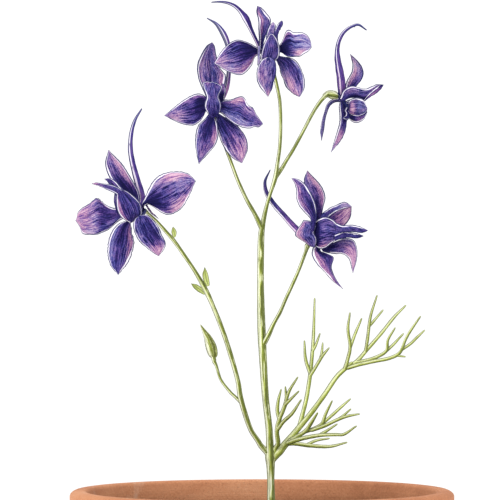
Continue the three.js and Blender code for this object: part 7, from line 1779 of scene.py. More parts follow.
# the green's own colour with painted light and shade: a pale painted lit strip towards the left side, dark olive
# painted shade towards the right
STEM_LIT_TO_SHADE_STOPS = [
    (0.0, srgb(150, 156, 122)), (0.1, srgb(196, 200, 168)), (0.2, srgb(238, 240, 212)), (0.34, srgb(222, 228, 172)), (0.44, srgb(166, 178, 78)),
    (0.56, srgb(122, 134, 52)), (0.7, srgb(92, 102, 40)), (0.84, srgb(112, 120, 66)), (0.93, srgb(140, 150, 84)), (1.0, srgb(122, 132, 60)),
]
LEAF_LIT_TO_SHADE_STOPS = [
    (0.0, srgb(168, 174, 130)), (0.16, srgb(214, 218, 172)), (0.34, srgb(226, 231, 178)), (0.5, srgb(186, 196, 104)), (0.66, srgb(150, 162, 66)),
    (0.82, srgb(126, 138, 54)), (1.0, srgb(146, 156, 84)),
]
BUD_LIT_TO_SHADE_STOPS = [
    (0.0, srgb(160, 164, 136)), (0.1, srgb(206, 208, 184)), (0.2, srgb(240, 240, 214)), (0.33, srgb(228, 232, 186)), (0.42, srgb(150, 160, 66)),
    (0.52, srgb(112, 120, 44)), (0.62, srgb(158, 164, 104)), (0.7, srgb(88, 94, 36)), (0.84, srgb(104, 110, 48)), (0.92, srgb(158, 166, 84)), (1.0, srgb(98, 106, 44)),
]
stem_mat = green_material("stem_green", STEM_LIT_TO_SHADE_STOPS, stroke=0.72)
leaf_mat = green_material("leaf_green", LEAF_LIT_TO_SHADE_STOPS, ink=srgb(98, 108, 66), edge=0.9, stroke=0.36, length=0.22)
bud_mat = green_material("bud_green", BUD_LIT_TO_SHADE_STOPS, wander=0.06, stroke=0.36, cells=15.0, length=0.22)


def bract_material():
    k = Nodes("bract_green")
    u, t = k.uv()
    seed = k.att("seed")
    fine = k.noise(k.xyz(k.math("MULTIPLY", u, 14.0), k.math("MULTIPLY", t, 2.0), seed), 1.0, 3.0)
    x = k.math("ABSOLUTE", k.math("SUBTRACT", u, 0.5))
    rib = k.math("SUBTRACT", 1.0, k.step(x, 0.03, 0.12))
    s = k.math("ADD", fine, k.math("MULTIPLY", x, 0.35))
    colour = k.ramp(s, [(0.3, (0.12, 0.15, 0.03)), (0.48, (0.33, 0.40, 0.08)), (0.62, (0.55, 0.62, 0.20)), (0.85, (0.82, 0.85, 0.52))])
    colour = k.mix(k.math("MULTIPLY", rib, 0.6), colour, (0.15, 0.18, 0.04))
    edge = k.math("SUBTRACT", 1.0, k.step(k.att("rim"), 0.12, 0.2))
    colour = k.mix(k.math("MULTIPLY", edge, 0.8), colour, srgb(84, 92, 44))
    return k.finish(colour, k.math("MULTIPLY_ADD", fine, 0.25, 0.4), k.bump(k.math("SUBTRACT", fine, rib), 0.4, 0.0001), Specular_IOR_Level=0.4)


bract_mat = bract_material()


def stamen_material():
    k = Nodes("stamen")
    a, t = k.uv()
    n = k.noise(k.obj(), 3.0, 3.0)
    colour = k.mix(k.att("anther"), k.ramp(n, [(0.3, (0.10, 0.07, 0.20)), (0.7, (0.32, 0.25, 0.42))]), k.ramp(n, [(0.3, (0.10, 0.10, 0.03)), (0.6, (0.45, 0.42, 0.10)), (0.8, (0.70, 0.66, 0.28))]))
    return k.finish(colour, k.math("MULTIPLY_ADD", n, 0.3, 0.5), k.bump(n, 0.5, 0.0001))


stamen_mat = stamen_material()


def terracotta_material():
    k = Nodes("terracotta")
    p = k.obj()
    sep = k.t.nodes.new("ShaderNodeSeparateXYZ")
    k.t.links.new(p, sep.inputs[0])
    z = sep.outputs[2]
    cloud = k.noise(p, 0.035, 4.0, 0.6, 0.6)
    grain = k.noise(p, 1.6, 4.0, 0.65)
    speck = k.noise(p, 3.4, 2.0)
    # turning lines: the noise is stretched round the pot by using only height and a slow drift
    lines = k.noise(k.xyz(k.math("MULTIPLY", cloud, 0.5), 0.0, k.math("MULTIPLY", z, 1.3)), 1.0, 3.0, 0.6)
    s = k.math("ADD", k.math("MULTIPLY", cloud, 0.55), k.math("MULTIPLY", grain, 0.3))
    s = k.math("ADD", s, k.math("MULTIPLY", lines, 0.15))
    colour = k.ramp(s, [(0.32, (0.330, 0.125, 0.058)), (0.46, (0.470, 0.190, 0.090)), (0.56, (0.560, 0.250, 0.125)), (0.72, (0.640, 0.330, 0.185))])
    # lime bloom, mostly on the lower wall and just under the collar
    bloom = k.noise(p, 0.055, 5.0, 0.62, 0.8)
    low = k.math("SUBTRACT", 1.0, k.step(z, 0.0, 46.0))
    b = k.step(k.math("ADD", bloom, k.math("MULTIPLY", low, 0.13)), 0.55, 0.78)
    colour = k.mix(k.math("MULTIPLY", b, 0.5), colour, (0.72, 0.55, 0.43))
    dots = k.step(speck, 0.66, 0.74)
    colour = k.mix(k.math("MULTIPLY", dots, 0.5), colour, (0.25, 0.10, 0.055))
    pores = k.step(k.noise(p, 2.3, 2.0), 0.30, 0.38)
    colour = k.shade(colour, k.math("MULTIPLY_ADD", pores, 0.18, 0.82))
    # inner wall darker towards the compost
    inner_darkening = k.math("MULTIPLY", k.att("inside"), k.math("SUBTRACT", 1.0, k.step(k.math("ADD", z, k.math("MULTIPLY", cloud, 5.0)), 82.0, 88.0)))
    colour = k.shade(colour, k.math("SUBTRACT", 1.0, k.math("MULTIPLY", inner_darkening, 0.45)))
    height = k.math("ADD", k.math("MULTIPLY", grain, 0.5), k.math("MULTIPLY", lines, 0.8))
    height = k.math("ADD", height, k.math("MULTIPLY", pores, 0.5))
    return k.finish(colour, k.math("MULTIPLY_ADD", grain, 0.16, 0.78), k.bump(height, 0.5, 0.0004), Specular_IOR_Level=0.25)


def compost_material():
    k = Nodes("compost")
    p = k.obj()
    a = k.noise(p, 0.5, 5.0, 0.7)
    b = k.noise(p, 2.5, 4.0, 0.7)
    s = k.math("ADD", k.math("MULTIPLY", a, 0.4), k.math("MULTIPLY", b, 0.6))
    s = k.math("ADD", s, k.math("MULTIPLY", k.att("tone"), 0.25), clamp=True)
    colour = k.ramp(s, [(0.3, (0.008, 0.005, 0.0035)), (0.46, (0.022, 0.014, 0.009)), (0.58, (0.050, 0.031, 0.018)), (0.72, (0.105, 0.066, 0.038)), (0.9, (0.22, 0.155, 0.10))])
    return k.finish(colour, k.math("MULTIPLY_ADD", b, 0.2, 0.75), k.bump(b, 0.7, 0.0005), Specular_IOR_Level=0.2)


clay_mat = terracotta_material()
soil_mat = compost_material()

# ------------------------------------------------------------------ the flowers
END = {k: np.array(TUBES[n][-1][:3]) for k, n in {"a": "branch_a", "b": "branch_b", "c": "main_stem", "d": "branch_d", "e": "branch_e"}.items()}
PARTS = {"upper": "upper_sepal", "lat_l": "left_sepal", "lat_r": "right_sepal", "low_l": "lower_left_sepal", "low_r": "lower_right_sepal"}
# how each blade is dressed; see add_blade for what the entries mean
LOOK = {
    "a_upper": dict(band=(0.4, 0.14, 0.2), pink=(0.0, 0.15, 0.2), span=(0.4, 0.95), spots=[(-0.85, 0.55, 0.12, 0.35, 0.24), (-0.3, 0.5, 0.3, 0.35, -0.1), (0.0, 0.25, 0.8, 0.2, -0.08), (0.55, 0.65, 0.3, 0.25, 0.1)], rosy=[(0.6, 0.62, 0.35, 0.3, 0.5)]),
    "a_lat_l": dict(band=(0.12, 0.1, 0.12), pink=(0.05, 0.05, 0.1), span=(0.62, 0.76), gain=0.3, skew=0.04, spots=[(0.0, 0.2, 1.0, 0.26, -0.04), (0.27, 0.74, 0.05, 0.12, -0.26), (-0.86, 0.8, 0.07, 0.08, 0.25), (-0.5, 0.5, 0.3, 0.12, 0.12)], rosy=[(0.0, 0.94, 1.6, 0.2, 0.4), (0.9, 0.56, 0.2, 0.1, 0.4), (0.2, 0.4, 0.5, 0.2, 0.2)], margin_highlight_spots=[(0.95, 0.52, 0.3, 0.09, 0.34), (-0.95, 0.36, 0.25, 0.07, 0.25), (-0.95, 0.9, 0.2, 0.03, 0.3)], scallop=0.1, grain=1.25, ruffle=0.4),
    "a_lat_r": dict(band=(0.3, 0.1, 0.1), pink=(0.05, 0.05, 0.05), span=(0.25, 0.85), gain=0.24, spots=[(-0.74, 0.34, 0.24, 0.2, 0.46), (-0.7, 0.66, 0.4, 0.14, 0.1), (0.35, 0.26, 0.6, 0.2, -0.14)], rosy=[(0.8, 0.64, 0.4, 0.2, 0.7), (-0.75, 0.7, 0.3, 0.2, 0.6)], margin_highlight_spots=[(-0.95, 0.4, 0.3, 0.22, 0.3), (0.95, 0.22, 0.25, 0.05, 0.4), (0.95, 0.36, 0.25, 0.06, 0.4), (0.95, 0.78, 0.25, 0.08, 0.4)], scallop=0.1, ruffle=0.4),
    "a_low_l": dict(band=(0.34, 0.1, 0.2), pink=(0.0, 0.2, 0.0), span=(0.15, 0.9), gain=0.1, spots=[(-0.75, 0.5, 0.25, 0.4, 0.2), (-0.05, 0.3, 0.35, 0.25, -0.06)], rosy=[(0.75, 0.5, 0.3, 0.3, 0.6)], margin_highlight_spots=[(0.95, 0.8, 0.3, 0.13, 0.5)], scallop=0.14),
    "a_low_r": dict(band=(0.2, 0.14, 0.08), pink=(0.0, 0.0, 0.05), base=0.05, span=(0.5, 0.9), gain=0.2, spots=[(-0.65, 0.36, 0.25, 0.36, 0.2), (0.5, 0.5, 0.25, 0.3, -0.1), (-0.1, 0.06, 0.6, 0.1, 0.14), (0.7, 0.45, 0.05, 0.25, 0.3)], rosy=[(0.0, 0.88, 1.2, 0.15, 0.7)], margin_highlight_spots=[(0.95, 0.88, 0.2, 0.07, 0.5)], scallop=0.1, foot=-0.14),
    "b_upper": dict(band=(0.3, 0.1, 0.06), pink=(0.0, 0.0, 0.1), span=(0.2, 0.6), gain=0.24, spots=[(0.0, 0.26, 0.4, 0.2, -0.12), (0.2, 0.8, 0.4, 0.16, -0.04)], rosy=[(0.78, 0.38, 0.3, 0.18, 1.0), (-0.7, 0.6, 0.3, 0.3, 0.25)], margin_highlight_spots=[(0.98, 0.4, 0.2, 0.12, 0.45)], ruffle=0.4),
    "b_lat_l": dict(band=(0.14, 0.3, 0.08), pink=(0.05, 0.05, 0.1), span=(0.3, 0.85), gain=0.3, spots=[(0.2, 0.22, 0.8, 0.2, -0.12)], rosy=[(0.8, 0.4, 0.2, 0.2, 0.4), (-0.4, 0.82, 0.6, 0.2, 0.3)], foot=0.2),
    "b_lat_r": dict(band=(0.1, 0.26, 0.1), pink=(0.2, 0.05, 0.05), span=(0.05, 0.4), gain=0.22, spots=[(-0.05, 0.45, 0.28, 0.5, -0.16), (0.62, 0.42, 0.3, 0.3, 0.2), (-0.5, 0.2, 0.5, 0.1, -0.1)], rosy=[(-0.8, 0.42, 0.3, 0.11, 0.8), (-0.4, 0.66, 0.2, 0.12, 0.3)], margin_highlight_spots=[(-0.95, 0.62, 0.35, 0.05, 0.6), (0.95, 0.78, 0.2, 0.05, 0.35)], scallop=0.08, ruffle=0.45),
    "b_low_l": dict(band=(0.22, 0.2, 0.1), pink=(0.1, 0.0, 0.0), span=(0.2, 0.85), gain=0.18, spots=[(-0.72, 0.5, 0.22, 0.4, 0.16), (0.0, 0.35, 0.4, 0.3, -0.08)], rosy=[(0.75, 0.45, 0.28, 0.14, 1.0), (0.2, 0.78, 0.5, 0.2, 0.4)]),
    "b_low_r": dict(band=(0.3, 0.06, 0.12), pink=(0.05, 0.1, 0.0), span=(0.3, 0.85), gain=0.24, spots=[(-0.75, 0.4, 0.22, 0.3, 0.1)], rosy=[(0.3, 0.8, 0.9, 0.26, 0.5)]),
    "c_upper": dict(band=(0.46, 0.0, 0.0), pink=(0.1, 0.0, 0.0), base=0.04, gain=0.2, spots=[(-0.9, 0.95, 0.5, 0.1, -0.1), (0.5, 0.25, 0.6, 0.3, -0.12)], rosy=[(-0.4, 0.6, 0.3, 0.3, 0.5), (-0.7, 0.85, 0.3, 0.1, 0.3)], margin_highlight_spots=[(1.0, 0.82, 0.5, 0.075, 1.3)]),
    "c_lat_l": dict(band=(0.1, 0.12, 0.3), pink=(0.1, 0.0, 0.05), span=(0.36, 0.9), gain=0.3, skew=-0.08, spots=[(0.5, 0.28, 0.6, 0.24, -0.16)], rosy=[(-0.8, 0.42, 0.3, 0.26, 0.7), (0.0, 0.92, 1.0, 0.15, 0.35)], margin_highlight_spots=[(-0.98, 0.4, 0.2, 0.16, 0.45), (0.98, 0.86, 0.2, 0.08, 0.3)], scallop=0.06),
    "c_lat_r": dict(band=(0.3, 0.0, 0.06), pink=(0.1, 0.0, 0.05), span=(0.44, 0.8), gain=0.46, spots=[(0.3, 0.3, 0.9, 0.17, -0.22), (-0.4, 0.62, 0.1, 0.1, 0.3), (-0.05, 0.78, 0.1, 0.16, 0.3), (-0.22, 0.74, 0.08, 0.2, -0.2)], rosy=[(-0.75, 0.35, 0.22, 0.2, 0.7), (0.7, 0.74, 0.3, 0.13, 0.7), (0.0, 0.75, 0.3, 0.3, -0.2)], margin_highlight_spots=[(0.97, 0.86, 0.4, 0.1, 0.6), (-0.95, 0.62, 0.3, 0.14, 0.15), (0.9, 0.22, 0.3, 0.06, 0.2)], scallop=0.06),
    "c_low_l": dict(band=(0.26, 0.0, 0.04), pink=(0.0, 0.0, 0.0), base=0.27, gain=0.0, spots=[(0.85, 0.55, 0.2, 0.4, -0.3)], rosy=[(-0.3, 0.5, 0.6, 0.35, 0.35), (0.3, 0.93, 0.5, 0.09, 0.9)], margin_highlight_spots=[(-0.97, 0.82, 0.35, 0.12, 0.8)], foot=-0.14),
    "c_low_r": dict(band=(0.1, 0.18, 0.06), pink=(0.1, 0.0, 0.0), base=0.05, span=(0.2, 0.9), gain=0.2, spots=[(-0.5, 0.66, 0.4, 0.2, 0.12), (0.5, 0.6, 0.08, 0.5, -0.2), (0.2, 0.5, 0.08, 0.4, -0.12), (0.72, 0.6, 0.07, 0.5, 0.16)], rosy=[(-0.5, 0.72, 0.5, 0.2, 0.6), (-0.2, 0.95, 0.6, 0.1, 0.4)], margin_highlight_spots=[(0.95, 0.85, 0.2, 0.1, 0.15)], scallop=0.1, foot=0.3),
    "d_upper": dict(band=(0.4, 0.0, 0.06), pink=(0.2, 0.0, 0.2), base=0.1, span=(0.4, 0.9), spots=[(0.3, 0.25, 0.7, 0.2, -0.16), (-0.5, 0.6, 0.3, 0.3, 0.14)], rosy=[(-0.35, 0.55, 0.4, 0.26, 0.6)], margin_highlight_spots=[(-0.97, 0.25, 0.3, 0.15, 0.2)], ruffle=0.12, foot=0.05),
    "d_lat_r": dict(band=(0.5, 0.0, 0.06), pink=(0.0, 0.0, 0.0), base=0.08, gain=0.12, spots=[(-0.3, 0.45, 0.4, 0.2, 0.12), (0.75, 0.45, 0.35, 0.2, -0.34), (0.0, 0.08, 1.0, 0.12, -0.06)], rosy=[(-0.3, 0.35, 0.4, 0.14, 0.4), (-0.3, 0.9, 0.5, 0.2, 0.3)], ruffle=0.12, foot=0.03),
    "d_lat_l": dict(band=(0.2, 0.2, 0.2), pink=(0.1, 0.1, 0.2), ruffle=0.3),
    "d_low_r": dict(band=(0.4, 0.0, 0.1), pink=(0.0, 0.0, 0.0), base=0.08, gain=0.14, spots=[(0.5, 0.4, 0.5, 0.14, -0.16)], rosy=[(0.1, 0.72, 0.8, 0.14, 0.9)], margin_highlight_spots=[(-0.95, 0.7, 0.3, 0.2, 0.2)], ruffle=0.12, foot=0.1),
    "d_low_l": dict(band=(0.5, 0.0, 0.0), pink=(0.0, 0.0, 0.0), base=0.24, gain=0.0, spots=[(-0.7, 0.5, 0.4, 0.6, 0.46)], ruffle=0.08, foot=0.0),
    "e_upper": dict(band=(0.34, 0.26, 0.14), pink=(0.3, 0.0, 0.1), base=0.04, span=(0.3, 1.0), gain=0.2, spots=[(0.3, 0.5, 0.3, 0.5, -0.08), (-0.7, 0.55, 0.25, 0.3, 0.14)], rosy=[(-0.5, 0.6, 0.4, 0.3, 0.4)], margin_highlight_spots=[(-0.95, 0.35, 0.3, 0.12, 0.2)], ruffle=0.15, foot=0.22),
    "e_lat_l": dict(band=(0.0, 0.1, 0.06), pink=(0.0, 0.4, 0.1), base=0.0, span=(0.35, 1.0), gain=0.28, rosy=[(0.6, 0.7, 0.5, 0.3, 0.5), (0.0, 0.95, 0.8, 0.1, 0.3)], ruffle=0.15, foot=0.3),
    "e_lat_r": dict(band=(0.0, 0.06, 0.06), pink=(0.0, 0.2, 0.1), base=-0.04, span=(0.5, 0.82), gain=0.26, rosy=[(0.4, 0.75, 0.8, 0.24, 0.8)], ruffle=0.15, foot=0.3),
    "e_low_r": dict(band=(0.14, 0.36, 0.08), pink=(0.1, 0.1, 0.0), span=(0.3, 0.7), gain=0.28, rosy=[(0.2, 0.75, 0.9, 0.2, 0.9)], margin_highlight_spots=[(0.95, 0.6, 0.2, 0.2, 0.3)], ruffle=0.15, foot=0.3),
    "e_low_l": dict(band=(0.5, 0.06, 0.14), pink=(0.3, 0.0, 0.1), base=0.0, gain=0.18, spots=[(0.6, 0.25, 0.45, 0.2, -0.14), (-0.4, 0.3, 0.3, 0.2, 0.16)], rosy=[(-0.4, 0.35, 0.4, 0.3, 0.7), (-0.2, 0.7, 0.5, 0.2, 0.4)], margin_highlight_spots=[(-0.95, 0.4, 0.4, 0.2, 0.3)], ruffle=0.15, foot=0.0),
}
HOOD_LOOK = {
    "a_hood": dict(band=(0.36, 0.22, 0.2), pink=(0.1, 0.0, 0.0), gain=0.0, spots=[(0.6, 0.16, 0.7, 0.2, -0.16), (-0.5, 0.45, 0.06, 0.4, -0.2)], rosy=[(-0.72, 0.4, 0.13, 0.45, 0.8)], foot=-0.02),
    "b_hood": dict(band=(0.3, 0.16, 0.2), pink=(0.0, 0.0, 0.0), base=0.08, gain=0.02, spots=[(0.3, 0.1, 1.0, 0.14, -0.16)], rosy=[(-0.55, 0.92, 0.35, 0.1, 0.4)], crown=[(-0.5, 0.25, 0.57), (0.0, 0.16, 0.8), (0.4, 0.3, 0.5)], foot=0.06),
    "c_hood": dict(band=(0.26, 0.16, 0.34), pink=(0.1, 0.0, 0.0), base=0.04, gain=0.04, spots=[(0.3, 0.12, 1.0, 0.13, -0.4), (0.8, 0.4, 0.2, 0.3, -0.1)], rosy=[(-0.85, 0.15, 0.2, 0.2, 0.7)], foot=0.08),
    "d_hood_n": dict(band=(0.4, 0.36, 0.04), pink=(0.0, 0.0, 0.0), base=0.04, gain=0.0, spots=[(0.0, 0.0, 1.4, 0.1, -0.6), (-0.1, 0.7, 0.6, 0.24, 0.14)], rosy=[(0.2, 0.2, 0.9, 0.1, 0.9)], foot=-0.2),
    "d_hood_l": dict(band=(0.0, 0.34, 0.1), pink=(0.0, 0.0, 0.0), base=-0.02, gain=0.0, spots=[(0.0, 0.1, 1.2, 0.16, -0.4)], rosy=[(0.1, 0.5, 0.6, 0.16, 0.6)], foot=0.0),
    "d_hood_f": dict(band=(0.34, 0.0, 0.1), pink=(0.0, 0.0, 0.0), base=-0.06, gain=0.0, foot=-0.1, scallop=0.08, grain=1.4),
    "e_hood": dict(band=(0.34, 0.3, 0.0), pink=(0.0, 0.0, 0.0), base=0.08, gain=0.0, spots=[(0.0, 0.1, 1.6, 0.1, -0.5)], rosy=[(-0.9, 0.3, 0.22, 0.16, 0.9)], tip_line=False, foot=-0.02),
    "a_fork_l": dict(band=(0.16, 0.12, 0.06), pink=(0.0, 0.0, 0.4), base=0.04, gain=0.0, rosy=[(0.0, 1.0, 1.0, 0.14, 0.8)], foot=0.0),
    "a_fork_r": dict(band=(0.0, 0.2, 0.12), pink=(0.0, 0.0, 0.0), base=0.02, gain=0.0, foot=0.0),
    "c_fork_l": dict(band=(0.2, 0.0, 0.3), pink=(0.3, 0.1, 0.3), base=0.24, gain=0.0, foot=0.2),
    "c_fork_r": dict(band=(0.3, 0.0, 0.06), pink=(0.1, 0.0, 0.0), base=0.04, gain=0.0, foot=0.3),
    "e_fork_u": dict(band=(0.0, 0.34, 0.05), pink=(0.0, 0.0, 0.0), base=0.08, gain=0.0, spots=[(-0.5, 0.9, 1.0, 0.2, -0.1)], foot=-0.1),
    "e_fork_d": dict(band=(0.0, 0.44, 0.05), pink=(0.0, 0.0, 0.0), base=0.0, gain=0.0, foot=-0.3),
}
# the pale painted highlight along a spur: its place round the section, its half width in turns, the spur's tone, and
# how pink its foot is
SPUR_HIGHLIGHT = {"a": (0.88, 0.055, 0.04, 0.2), "b": (0.82, 0.085, 0.1, 1.0), "c": (0.87, 0.07, -0.08, 0.1), "d": (0.945, 0.03, 0.02, 0.3), "e": (0.86, 0.08, -0.04, 0.5)}
# sepals whose rounded foot lies in front of the hood
OVER = ("a_low_r", "c_low_l")


def seed_of(name):
    return sum(ord(ch) * (i + 3) for i, ch in enumerate(name)) % 997


for key in "abcde":
    c0 = END[key]
    front = c0 + np.array([0, -0.9, 0]) if key != "d" else c0 + np.array([0.9, -0.4, 0])
    if key == "e":
        front = np.array([14.35, -11.2, 154.0])
    for short, part in PARTS.items():
        nm = key + "_" + short
        m = Mesh()
        over = nm in OVER
        add_blade(m, BLADES[nm], seed_of(nm), claw=None if over or nm == "e_upper" else front, claw_w=0.45, **LOOK[nm])
        if over:
            # a short claw reaches back through the hood's open foot
            r0, r1 = (np.asarray(BLADES[nm][i], float).reshape(3, 3)[1] for i in (1, 3))
            add_tube(m, [[*(front + [0, 0.4, 0]), 0.5], [*(0.5 * (front + r0) + [0, -0.3, -0.6]), 0.42], [*(r0 + [0, 0.15, 0]), 0.36], [*(r1 + [0, 0.3, 0]), 0.2]], 31, rings=24, sides=12, tip=0.5)
        if nm == "c_upper":
            # the calyx tube runs on below the spur as a narrow pale strip
            add_blade(m, BLADES["c_strip"], 73, nt=20, nu=9, ruffle=0.02, channel=0.0, scallop=0.02, band=(0.16, 0.2, 0.1), pink=(0.1, 0.1, 0.1), base=0.3, foot=-0.1)
        if nm == "a_lat_l":
            # a dark lobe shows beside the hood
            add_blade(m, BLADES["a_side"], 79, nt=20, nu=11, ruffle=0.02, channel=0.0, scallop=0.03, band=(0.0, 0.0, 0.0), base=0.0, foot=0.0)
        if nm == "e_upper":
            # the swollen throat between this sepal and its spur: a near and a far shell
            cap = np.asarray(BLADES["e_cap"], float).reshape(-1, 3, 3)
            look = dict(nt=38, nu=29, ruffle=0.08, channel=0.0, thick=0.3, foot=0.0)
            add_blade(m, BLADES["e_cap"], 41, band=(0.16, 0.1, 0.16), pink=(0.1, 0.0, 0.0), base=0.19, gain=0.0, scallop=0.1, grain=1.6, rosy=[(-0.75, 0.5, 0.35, 0.5, 0.8)], **look)
            far = cap.copy()
            far[:, 1, 1] += 3.2
            add_blade(m, far.reshape(-1, 9), 43, band=(0.2, 0.2, 0.2), base=0.06, gain=0.04, face=(0, 1, 0), **look)
        if nm == "e_lat_r":
            # its upper margin is folded over towards the viewer
            add_blade(m, BLADES["e_fold"], 57, nt=34, nu=17, ruffle=0.05, channel=0.0, band=(0.2, 0.34, 0.1), pink=(0.1, 0.0, 0.2), base=0.1, foot=0.1)
        if nm == "d_lat_r":
            # its tip is rolled inwards and shows the pink inner face
            add_blade(m, BLADES["d_roll"], 63, nt=30, nu=13, ruffle=0.02, channel=0.0, band=(0.5, 0.0, 0.06), pink=(0.0, 0.0, 0.0), base=-0.06, gain=0.0, rosy=[(0.35, 0.5, 0.5, 0.32, 1.0)], foot=-0.1)
        if nm == "b_lat_r":
            # a dark lobe between the hood and the spur
            add_blade(m, BLADES["b_side"], 83, nt=24, nu=11, ruffle=0.02, channel=0.0, scallop=0.03, band=(0.0, 0.1, 0.0), base=-0.12, gain=0.3, span=(0.4, 0.9), rosy=[(0.0, 0.8, 1.0, 0.2, 0.3)], foot=0.0)
        if nm == "a_lat_r":
            add_blade(m, BLADES["a_strip"], 69, nt=26, nu=11, ruffle=0.02, channel=0.0, band=(0.05, 0.1, 0.0), base=0.12, rosy=[(0.0, 0.5, 1.0, 0.5, 0.4)], gain=0.2)
        o = m.build("flower_" + key + "_" + part, sepal_mat, "flower_" + key + "_" + part, "sepal")
        if short == "upper":
            # the spur grows out of the upper sepal's foot
            s = Mesh()
            # place and half set where the spur's painted highlight lies round its section and how wide it is
            place, half, tone, rosy = SPUR_HIGHLIGHT[key]
            add_tube(s, TUBES[key + "_spur"], seed_of(nm) + 5, rings=90, sides=24, ridges=5, ridge=0.03, lump=0.04, tip=1.5, line=0.17, streak=place, streak_w=half, tone=tone, rosy=rosy)
            if key == "d":
                # the spur's mouth is slightly split at the tip
                e = np.array(TUBES["d_spur"][-3][:3])
                add_tube(s, [[*e, 0.26], [*(e + [0.6, 0.05, 0.25]), 0.2], [*(e + [1.25, 0.1, 0.12]), 0.09]], 15, rings=14, sides=10, tip=1.5, streak=place, streak_w=half, tone=tone, rosy=rosy)
            s.build("flower_" + key + "_spur", spur_mat, "flower_" + key + "_upper_sepal", "sepal")
    # the fused inner petals
    m = Mesh()
    boss = Mesh()
    for n in [n for n in BLADES if n.startswith(key + "_hood")]:
        hooped = n in ("d_hood_n",)
        add_blade(
            boss if hooped else m, BLADES[n], seed_of(n), nt=56, nu=37, claw=None if n in ("d_hood_f", "d_hood_l", "d_hood_n", "e_hood", "b_hood") else front, claw_w=0.5,
            **{**dict(ruffle=0.1, channel=0.04, rib=0.02, scallop=0.05, thick=0.26, ribs=13, power=1.0, foot=0.16), **HOOD_LOOK[n]},
        )
    if key in "be":
        # a hidden stalk holds the hood
        r0, r1 = (np.asarray(BLADES[key + "_hood"][i], float).reshape(3, 3)[1] for i in (1, 4))
        add_tube(m, [[*(front + [0, 0.3, 0]), 0.4], [*(0.5 * (front + r0) + [0, 0.4, 0]), 0.36], [*(r0 + [0, 0.35, 0]), 0.32], [*(r1 + [0, 0.4, 0]), 0.2]], 35, rings=20, sides=12, tip=0.5, tone=-0.3)
    for n in [n for n in BLADES if n.startswith(key + "_fork")]:
        add_blade(m, BLADES[n], seed_of(n), nt=34, nu=17, **{**dict(ruffle=0.05, channel=0.03, rib=0.01, thick=0.22, ribs=3, scallop=0.08, grain=1.1), **HOOD_LOOK[n]})
    m.build("flower_" + key + "_petals", hood_mat, "flower_" + key + "_petals", "petal")
    if boss.n:
        r0, r1 = (np.asarray(BLADES["d_hood_n"][i], float).reshape(3, 3)[1] for i in (0, 2))
        add_tube(boss, [[*(front + [0, 0.2, 0]), 0.4], [*(0.5 * (front + r0) + [0, 0.3, 0]), 0.4], [*(r0 + [0.2, 0.4, 0]), 0.36], [*(r1 + [0, 0.5, 0]), 0.2]], 33, rings=20, sides=12, tip=0.5, tone=-0.3)
        boss.build("flower_" + key + "_petals_boss", boss_mat, "flower_" + key + "_petals", "petal")
    # stamens: a tuft of filaments with small anthers along the CAD piece's line
    rows = np.asarray(TUBES[key + "_stamens"], float)
    line = along(rows, 12)
    d, up, rt = frames(line[:, :3])
    rng = np.random.default_rng(seed_of(key + "stamens"))
    m = Mesh()
    for i in range(11):
        ang = 2.4 * i + rng.uniform(-0.3, 0.3)
        reach = rng.uniform(0.72, 1.0)
        spread = rng.uniform(0.15, 0.62)
        pts = []
        for q in np.linspace(0, reach, 7):
            j = q * 11
            i0 = int(min(j, 10)); fr = j - i0
            cc = line[i0, :3] * (1 - fr) + line[i0 + 1, :3] * fr
            off = spread * (0.25 + 0.75 * q) * (up[i0] * math.cos(ang) + rt[i0] * math.sin(ang))
            pts.append([*(cc + off), 0.085 * (1 - 0.35 * q)])
        add_tube(m, pts, i + 60, rings=10, sides=7, lump=0.0, anther=0.0)
        e = np.array(pts[-1][:3]); dr = unit(e - np.array(pts[-2][:3]))
        add_tube(m, [[*(e - dr * 0.1), 0.1], [*(e + dr * 0.12), 0.2], [*(e + dr * 0.34), 0.19], [*(e + dr * 0.52), 0.09]], i + 90, rings=8, sides=8, lump=0.05, anther=1.0)
    m.build("flower_" + key + "_stamens", stamen_mat, "flower_" + key + "_stamens", "stamen")

# ------------------------------------------------------------------ stems, bracts, bud
def stem_rows(name, start=None):
    rows = [list(r) for r in TUBES[name]]
    if start is not None:
        rows = [start] + rows
    return rows


def on_stem(rows, z):
    """Centre of a stem at height z."""
    a = along(rows, 400)
    return a[np.argmin(np.abs(a[:, 2] - z))]


MAIN = TUBES["main_stem"]
for name, dz, rr in (("branch_a", -2.6, 0.8), ("branch_b", -2.2, 0.62), ("branch_d", -2.6, 0.55), ("branch_e", -3.0, 0.7)):
    first = TUBES[name][0]
    p = on_stem(MAIN, first[2] + dz)
    m = Mesh()
    rows = stem_rows(name, [p[0], p[1], p[2], min(rr, p[3] * 0.9)])
    rows[1][3] *= 1.08
    if name == "branch_a":
        add_tube(m, rows, 11, rings=150, sides=18, ridges=6, ridge=0.05, tone=0.04)
    else:
        add_tube(m, rows, seed_of(name), rings=90, sides=18, ridges=5, ridge=0.05)
    if name == "branch_d":
        # the stalk widens into a bright green knob below the flower
        e = np.array(TUBES[name][-1][:3])
        add_tube(m, [[*(e + [-2.9, -0.1, -0.5]), 0.5], [*(e + [-1.6, -0.2, -0.1]), 0.95], [*(e + [-0.5, -0.2, -0.3]), 1.12], [*(e + [0.4, -0.1, -0.5]), 0.9]], 23, rings=20, sides=18, ridges=5, ridge=0.05, tip=0.0, tone=0.06)
    m.build(name, stem_mat, name, "stem")
